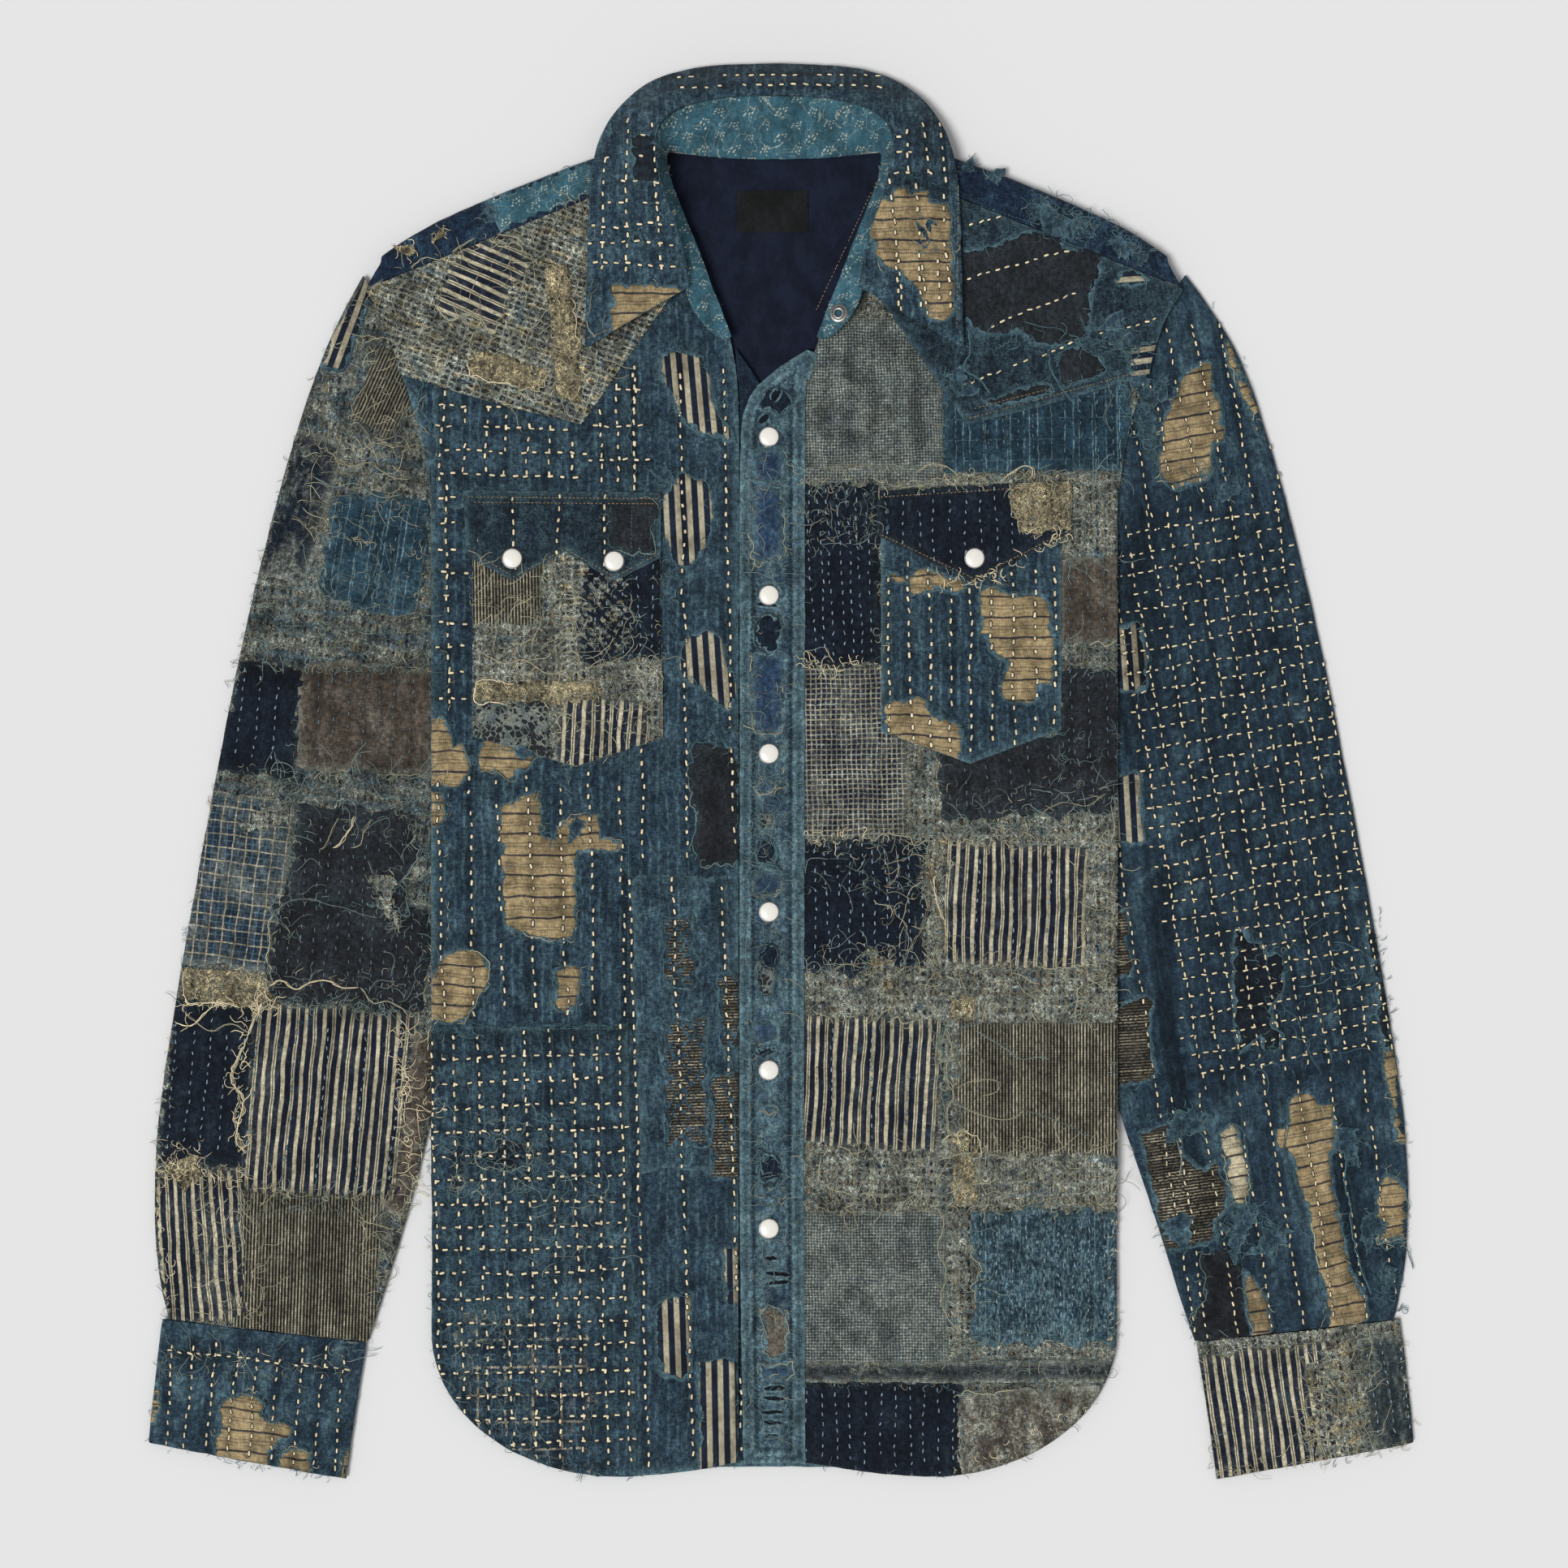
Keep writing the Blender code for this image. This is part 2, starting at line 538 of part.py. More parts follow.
def flat_tube(name, stations, side, colour, wall):
    """A tube of cloth lying flat. A station is (its line in plan, outer to inner, and its crown)."""
    work = bmesh.new()
    loops = []
    for line, crown in stations:
        width = sum(math.dist(a, b) for a, b in zip(line, line[1:]))
        outer, inner = tube_ring(width, crown, wall)
        pair = []
        for ring in (outer, inner):
            verts = []
            for t, z in ring:
                x, y = along(line, t)
                dip = sum(trough(side * x, y, fold) for fold in SLEEVE_FOLDS) if z > SLEEVE_EDGE_TOP - wall else 0.0
                verts.append(work.verts.new((x, y, max(z - dip, min(z, 2.2)))))
            pair.append(verts)
        loops.append(pair)
    for (outer_a, inner_a), (outer_b, inner_b) in zip(loops, loops[1:]):
        join_rows(work, outer_a + outer_a[:1], outer_b + outer_b[:1])
        join_rows(work, inner_b + inner_b[:1], inner_a + inner_a[:1])
    for outer, inner in (loops[0], loops[-1]):
        join_rows(work, outer + outer[:1], inner + inner[:1])
    bmesh.ops.recalc_face_normals(work, faces=work.faces)
    return node_from(name, work, colour)


def build_sleeves():
    """Each sleeve, from its armhole to its cuff, and the cuff, both lying flat with open ends."""
    ring = [(away, y) for away, y in armhole(SLEEVE_LAP)]
    ring[0] = SLEEVE_TIP
    for name, side in (("right", -1), ("left", 1)):
        armhole_line = mirrored(ring, side)
        stations = [(armhole_line, 4.8)]
        for outer, outer_y, inner, inner_y, crown in SLEEVE:
            stations.append(([(side * outer, outer_y), (side * inner + tuck_shift(inner_y), inner_y)], crown))
        colour = "grey_gauze" if side < 0 else "indigo"
        flat_tube("sleeve_" + name, stations, side, colour, SLEEVE_CLOTH)
        cuff = [
            ([(side * outer, outer_y), (side * inner, inner_y)], crown)
            for outer, outer_y, inner, inner_y, crown in CUFF
        ]
        flat_tube("cuff_" + name, cuff, side, "worn_blue" if side < 0 else "stripe", COLLAR_CLOTH - 0.3)


def tuck_shift(y):
    """The tucked edge of a sleeve follows the body, whose mirror line is BODY_MID."""
    return BODY_MID * smooth(SLEEVE_EXIT_Y - 40.0, SLEEVE_EXIT_Y + 40.0, y)


def collar_rows(sections, make_row):
    """Rows of points from the wearer's right front, round the back, to the left front."""
    right = [make_row(section, -1) for section in sections[::-1]]
    left = [make_row(section, 1) for section in sections[1:]]
    return right + left


def stand_row(section, side):
    """A section of the stand, from the neck seam to its top."""
    away0, y0, z0, away1, y1, z1 = section[:6]
    shares = (0.0, 0.5, 1.0)
    bow = (0.0, 0.8, 0.0)
    return [
        (BODY_MID + side * lerp(away0, away1, t), lerp(y0, y1, t), lerp(z0, z1, t) - b)
        for t, b in zip(shares, bow)
    ]


def leaf_row(section, side):
    """A section of the leaf, from over the stand's top, rounded over the roll, down to its edge."""
    away1, y1, z1, away2, y2, z2 = section[3:9]
    top = z1 + COLLAR_CLOTH + 2.0 * SEAM
    shares = (-0.06, 0.14, 0.38, 0.68, 1.0)
    falls = (0.0, 0.03, 0.22, 0.60, 1.0)
    return [
        (BODY_MID + side * lerp(away1, away2, t), lerp(y1, y2, t), lerp(top, z2, fall))
        for t, fall in zip(shares, falls)
    ]


def build_collar():
    """The collar stand, with its open snap, and the leaf that falls over it."""
    stand = grid_surface(collar_rows(COLLAR + STAND_FRONT, stand_row))
    thicken(node_from("collar_stand", stand, "teal"), COLLAR_CLOTH, stand_side())
    leaf = grid_surface(collar_rows(COLLAR, leaf_row))
    thicken(node_from("collar_leaf", leaf, "worn_blue"), COLLAR_CLOTH, stand_side())


def stand_side():
    """The rows run from the right front to the left, so the faces' normals point up and inwards."""
    return -1.0


def turned(name, profile, place, colour, steps=18):
    """A turned piece: a profile of (radius, height) spun about a vertical axis at a place."""
    work = bmesh.new()
    verts = [work.verts.new((r, 0.0, z)) for r, z in profile]
    edges = [work.edges.new(pair) for pair in zip(verts, verts[1:])]
    if profile[0][0] > 0.0:
        edges.append(work.edges.new((verts[-1], verts[0])))
    bmesh.ops.spin(
        work, geom=verts + edges, axis=(0, 0, 1), cent=(0, 0, 0), angle=2.0 * math.pi, steps=steps, use_merge=True
    )
    bmesh.ops.remove_doubles(work, verts=work.verts, dist=1e-4)
    bmesh.ops.recalc_face_normals(work, faces=work.faces)
    bmesh.ops.translate(work, vec=place, verts=work.verts)
    return node_from(name, work, colour)


def build_snap(name, x, y, seat):
    """A pearl cap in a metal rim, seated on the cloth."""
    inner = SNAP_RADIUS + 0.3
    rim = [(inner, 0.0), (SNAP_RING_RADIUS, 0.0), (SNAP_RING_RADIUS, 0.7), (inner, 1.0)]
    turned("snap_rim_" + name, rim, (x, y, seat), "metal", steps=14)
    cap = [(0.0, 0.0), (SNAP_RADIUS, 0.0), (SNAP_RADIUS, 0.7)]
    cap += [(0.82 * SNAP_RADIUS, 0.8 * SNAP_DOME), (0.45 * SNAP_RADIUS, 0.97 * SNAP_DOME), (0.0, SNAP_DOME)]
    turned("snap_cap_" + name, cap, (x, y, seat), "pearl", steps=14)


def seat_over(height, x, y):
    """The lowest height at which a snap clears the cloth all round."""
    ring = [(x + SNAP_RING_RADIUS * math.cos(a), y + SNAP_RING_RADIUS * math.sin(a)) for a in range(7)]
    return max(height(px, py) for px, py in [(x, y), *ring]) + SEAM


def build_snaps():
    """The placket's snaps, the pockets' and the open one on the collar stand."""
    on_placket = above_front(SEAM + PLACKET_CLOTH)
    for number in range(SNAP_COUNT):
        y = SNAP_TOP_Y - number * SNAP_SPACING
        build_snap(f"front_{number + 1}", SNAP_X, y, seat_over(on_placket, SNAP_X, y))
    on_flap = above_front(2.0 * (LAY + TRIM_CLOTH))
    for name, x, y in POCKET_SNAPS:
        build_snap("pocket_" + name, x, y, seat_over(on_flap, x, y))
    x, y = COLLAR_SNAP
    socket = [(2.4, 0.0), (SNAP_RADIUS, 0.0), (SNAP_RADIUS, 0.5), (3.6, 1.4), (2.4, 1.0)]
    made = turned("collar_snap_socket", socket, (0.0, 0.0, 0.0), "metal", steps=16)
    near = STAND_FRONT[0]
    tilt = math.atan2(near[5] - near[2], near[3] - near[0])
    made.rotation_euler = (0.0, -tilt, math.radians(-14.0))
    made.location = (x * MM, y * MM, (near[2] + COLLAR_CLOTH + 3.0 * SEAM) * MM)


def main():
    for old in list(bpy.data.objects):
        bpy.data.objects.remove(old)
    build_back()
    build_back_yoke()
    build_yoke_lining()
    build_fronts()
    build_placket()
    build_pockets()
    build_sleeves()
    build_collar()
    build_snaps()


main()
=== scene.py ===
"""The looks of a patched boro overshirt, laid out flat, front up, as a set of operators.

Run as a script it builds everything once. +X is the wearer's left, +Y runs from the hem to the collar and
+Z is up. The tables are in millimetres; the meshes are in metres.
"""

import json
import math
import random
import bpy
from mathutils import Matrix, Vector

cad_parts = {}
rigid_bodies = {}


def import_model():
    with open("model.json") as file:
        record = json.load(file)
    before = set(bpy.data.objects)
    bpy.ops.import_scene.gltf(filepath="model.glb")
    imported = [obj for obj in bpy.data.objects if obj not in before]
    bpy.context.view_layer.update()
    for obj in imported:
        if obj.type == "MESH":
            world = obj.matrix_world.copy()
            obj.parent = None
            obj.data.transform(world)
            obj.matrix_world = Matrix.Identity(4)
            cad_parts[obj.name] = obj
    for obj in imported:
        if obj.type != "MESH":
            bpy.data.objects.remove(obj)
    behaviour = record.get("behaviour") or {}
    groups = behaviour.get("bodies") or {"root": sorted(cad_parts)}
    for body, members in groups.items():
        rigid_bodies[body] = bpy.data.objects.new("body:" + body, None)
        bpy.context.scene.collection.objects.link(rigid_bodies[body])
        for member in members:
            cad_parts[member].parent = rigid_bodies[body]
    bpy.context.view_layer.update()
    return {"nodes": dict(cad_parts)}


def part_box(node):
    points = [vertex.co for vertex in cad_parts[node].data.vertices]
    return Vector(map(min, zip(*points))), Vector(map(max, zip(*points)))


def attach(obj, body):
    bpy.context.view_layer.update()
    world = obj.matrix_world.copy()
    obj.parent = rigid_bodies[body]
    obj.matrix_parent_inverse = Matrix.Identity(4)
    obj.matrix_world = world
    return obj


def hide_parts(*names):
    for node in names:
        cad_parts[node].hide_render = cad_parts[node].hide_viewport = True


bl_info = {
    "name": "Patched boro overshirt",
    "version": (1, 0, 0),
    "blender": (4, 5, 0),
    "location": "3D View > Sidebar > Overshirt",
    "description": "Builds the cloth, patches, running stitches and frayed threads of a boro overshirt",
    "category": "Object",
}

import bmesh
import bpy
import numpy as np
from mathutils import Vector, noise
from mathutils.bvhtree import BVHTree
from mathutils.geometry import delaunay_2d_cdt
from mathutils.kdtree import KDTree

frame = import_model()

MM = 0.001
UV_CLOTH = "cloth"
EDGE = "edge"
TONE = "tone"
RELIEF = "relief"
OWN = "boro_"  # leads the name of each fabric made here
ABOVE = 300.0  # a height that is clear of every piece
WHOLE_PITCHES = 4000.0  # added so that a pattern never meets its zero on the cloth
OUTLINE_STEP = 2.6  # spacing of the points along the edge of a cut
WORN_STEP = 1.9  # spacing of the points along the edge of a patch
CUT_TOLERANCE = 1e-4  # how close two points of a cut may lie before they are taken as one
ROW_SHARE = 0.866  # height of a row of even triangles for a side of one
DICE = {"front stitches": 11, "back stitches": 12, "front edges": 21, "nets": 22, "back edges": 23}

SKINS = {}  # finished cloth surfaces by name, and what else one step leaves for the next

# Soft folds pressed into the cloth: a trough where the depth is positive, a ridge where it is negative
FOLDS = {  # cloth: x0, y0, x1, y1, half width, depth
    "front_right": [
        (-86, 165, -88, -150, 3.5, 0.6),
        (-201, -147, -88, -149, 4, 0.9),
        (-201, -176, -96, -166, 6, -0.6),
        (-199, -262, -105, -270, 9, -0.7),
        (-190, -300, -95, -310, 10, -0.6),
        (-165, 0, -150, -90, 9, -0.5),
        (-110, -20, -104, -110, 8, -0.5),
        (-60, 170, -64, 30, 9, -0.6),
        (-45, -60, -52, -230, 8, -0.6),
        (-34, 20, -34, -90, 7, 0.5),
        (-190, 190, -100, 180, 10, -0.5),
    ],
    "front_left": [
        (14, 160, 56, 150, 6, -0.6),
        (95, 176, 192, 181, 4, 0.7),
        (14, 172, 95, 172, 4, 0.7),
        (20, 40, 60, 20, 10, -0.6),
        (90, -20, 188, -12, 8, -0.6),
        (20, -120, 190, -128, 9, -0.8),
        (92, -45, 94, -245, 5, -0.7),
        (20, -235, 190, -230, 8, -0.6),
        (16, -252, 192, -251, 3.5, 0.8),
        (40, -300, 90, -320, 10, -0.5),
        (110, -320, 180, -335, 9, -0.6),
        (14, -349, 192, -347, 4, 0.7),
    ],
    "sleeve_right": [
        (-300, 120, -208, 108, 9, -1),
        (-320, 62, -205, 62, 6, 0.9),
        (-330, 3, -206, 4, 5, 0.9),
        (-345, -60, -280, -70, 12, -0.9),
        (-352, -132, -206, -136, 5, 1),
        (-290, -150, -300, -225, 8, -0.8),
        (-362, -228, -215, -246, 5, 1.1),
        (-330, -245, -318, -320, 9, -0.9),
        (-262, -250, -254, -318, 10, 0.9),
        (-296, -290, -292, -326, 7, 0.8),
        (-345, -285, -352, -318, 8, 0.9),
        (-265, 230, -222, 150, 10, -0.8),
        (-244, -10, -230, -110, 12, -0.7),
    ],
    "sleeve_left": [
        (212, 150, 222, 10, 9, 1.5),
        (222, 60, 232, -60, 8, -0.9),
        (224, -60, 244, -232, 6, 1.8),
        (232, -70, 256, -240, 5, -1),
        (246, -236, 262, -326, 8, 1),
        (292, -190, 318, -318, 6, -0.9),
        (326, -200, 338, -312, 9, 1),
        (268, -258, 276, -324, 7, 0.9),
        (300, 165, 276, 235, 12, -0.8),
        (346, -80, 356, -190, 9, -0.7),
        (214, 130, 300, 165, 8, -0.6),
    ],
    "cuff_right": [
        (-352, -352, -262, -372, 8, -0.8),
        (-300, -336, -304, -398, 9, -0.6),
    ],
    "cuff_left": [
        (258, -372, 350, -354, 8, -0.8),
        (316, -336, 322, -396, 9, -0.6),
    ],
    "front_yoke_right": [
        (-205, 245, -120, 222, 8, -0.5),
        (-190, 290, -100, 320, 9, -0.4),
    ],
    "front_yoke_left": [
        (110, 216, 200, 242, 8, -0.7),
        (95, 250, 190, 285, 9, -0.6),
        (70, 300, 170, 315, 8, -0.5),
    ],
    "pocket_right": [
        (-170, 60, -80, 50, 7, -0.6),
    ],
    "pocket_left": [
        (70, 60, 100, 20, 8, -0.5),
    ],
    "back": [
        (-150, 100, 120, 80, 16, -0.5),
        (-180, -80, 20, -120, 14, -0.5),
        (60, -200, 180, -150, 14, -0.5),
    ],
}

# Patches, lowest first on each cloth. Turn is the lean of the grain in degrees, anticlockwise.
PATCHES = {  # cloth: fabric, x low, x high, y low, y high, turn, rag, fray
    "sleeve_right": [
        ("ticking", -266, -243, 232, 290, -20, 1.5, 0.3),
        ("denim", -300, -262, 110, 196, -16, 2, 0.2),
        ("hairline_dim", -242, -214, 196, 242, -24, 2.5, 1),
        ("pins", -263, -206, 94, 158, -9, 3, 0.8),
        ("navy", -327, -279, -2, 62, -6, 2.5, 0.8),
        ("brown", -279, -200, -1, 62, -3, 2.5, 0.9),
        ("check_wide", -342, -286, -114, -14, -7, 2.5, 0.6),
        ("charcoal", -281, -214, -78, -22, -5, 4, 1),
        ("charcoal", -296, -204, -136, -76, -5, 2.5, 0.8),
        ("cream_gauze", -346, -292, -136, -116, -5, 2.5, 1),
        ("navy", -358, -306, -228, -135, -5, 2.5, 0.6),
        ("stripe", -310, -215, -246, -136, -5, 2.5, 0.5),
        ("brown", -222, -200, -256, -154, -8, 3, 1.5),
        ("stripe", -366, -308, -318, -232, 4, 2.5, 0.8),
        ("hairline", -315, -233, -334, -243, -2, 2.5, 0.5),
    ],
    "front_yoke_right": [
        ("stripe", -197, -149, 262, 304, 66, 5, 1.4),
        ("cream_gauze", -133, -119, 214, 292, 6, 3, 0.6),
        ("cream_gauze", -182, -135, 224, 238, -14, 3, 0.6),
    ],
    "back_yoke": [
        ("sprig", -170, -104, 310, 360, 25, 1.5, 0.5),
    ],
    "front_right": [
        ("indigo_worn", -206, -86, -412, -147, 1, 2, 0.3),
        ("plaid", -186, -110, -408, -312, 1, 4, 0.8),
        ("indigo_worn", -200, -86, 152, 226, 1, 2, 0.4),
        ("indigo_worn", -84, -28, -230, -60, 2, 3, 0.3),
        ("charcoal", -51, -25, -54, 15, 3, 5, 1.4),
        ("ribs", -68, -50, -126, -84, 3, 3, 1),
        ("ribs", -36, -24, -161, -117, 2, 2.5, 1),
        ("ribs", -68, -41, -217, -142, 2, 4, 1.2),
        ("ribs", -42, -24, -236, -173, 2, 3, 1.1),
        ("ticking", -72, -52, -349, -304, 2, 2.5, 0.8),
        ("ticking", -48, -25, -408, -340, 1, 2.5, 0.8),
        ("ticking", -33, -24, -307, -275, 1, 2, 0.6),
    ],
    "pocket_right": [
        ("hairline", -182, -138, 84, 140, 1, 2, 0.8),
        ("navy", -118, -64, 64, 140, 1, 3, 1.4),
        ("open_gauze", -126, -86, 66, 134, 2, 4, 1),
        ("stripe", -128, -78, -4, 42, -3, 3, 1.2),
        ("net", -177, -133, 8, 40, 0, 3, 0.6),
        ("cream_gauze", -176, -104, 39, 52, 0, 2.5, 0.7),
    ],
    "flap_right": [
        ("charcoal", -98, -72, 127, 157, 2, 3, 1.4),
    ],
    "front_left": [
        ("micro", 8, 94, 174, 262, 1, 2, 0.7),
        ("pins", 93, 202, 173, 224, 1, 2, 0.6),
        ("micro", 8, 94, 164, 176, 0, 1.5, 1.2),
        ("navy", 8, 57, 60, 168, 1, 2.5, 1),
        ("brown", 161, 197, 74, 124, 0, 3, 0.9),
        ("charcoal", 160, 197, 6, 58, 0, 3, 1.1),
        ("check", 8, 72, -40, 62, 1, 2.5, 0.8),
        ("charcoal", 90, 196, -26, 20, 3, 4.5, 1.6),
        ("navy", 8, 84, -116, -39, 1, 5, 1.6),
        ("stripe", 94, 176, -112, -42, -2, 3, 1.2),
        ("cream_gauze", 97, 111, -143, -129, 0, 2, 0.8),
        ("stripe", 8, 90, -217, -143, -3, 3, 1.1),
        ("hairline", 103, 197, -222, -145, 0, 3, 0.9),
        ("ribbed_gauze", 110, 198, -252, -219, 0, 2.5, 0.4),
        ("cream_gauze", 99, 114, -252, -210, 0, 2.5, 0.8),
        ("micro", 8, 96, -344, -253, 0, 3, 0.9),
        ("pins_pale", 110, 197, -331, -253, 0, 5, 1.2),
        ("denim", 8, 197, -353, -340, 0, 1.5, 0.8),
        ("navy", 8, 104, -412, -353, 0, 2, 0.9),
        ("brown_pale", 102, 186, -412, -357, 4, 2.5, 1),
    ],
    "flap_left": [
        ("cream_gauze", 134, 172, 138, 172, 0, 3, 1.5),
    ],
    "sleeve_left": [
        ("ticking", 190, 211, 46, 86, 4, 2, 0.8),
        ("ticking", 188, 209, -43, -1, 3, 2, 0.9),
        ("ribs", 186, 202, -119, -79, 4, 3, 0.9),
        ("ribs", 188, 214, -180, -135, 4, 4, 1.1),
    ],
    "cuff_left": [
        ("stripe", 240, 322, -414, -334, 8, 3, 0.8),
        ("smoke", 336, 374, -396, -326, 7, 3, 1.4),
        ("ecru_gauze", 302, 341, -408, -332, 7, 5, 1),
    ],
    "placket": [
        ("navy_worn", -12, 4, 206, 220, -30, 2, 1.4),
    ],
}

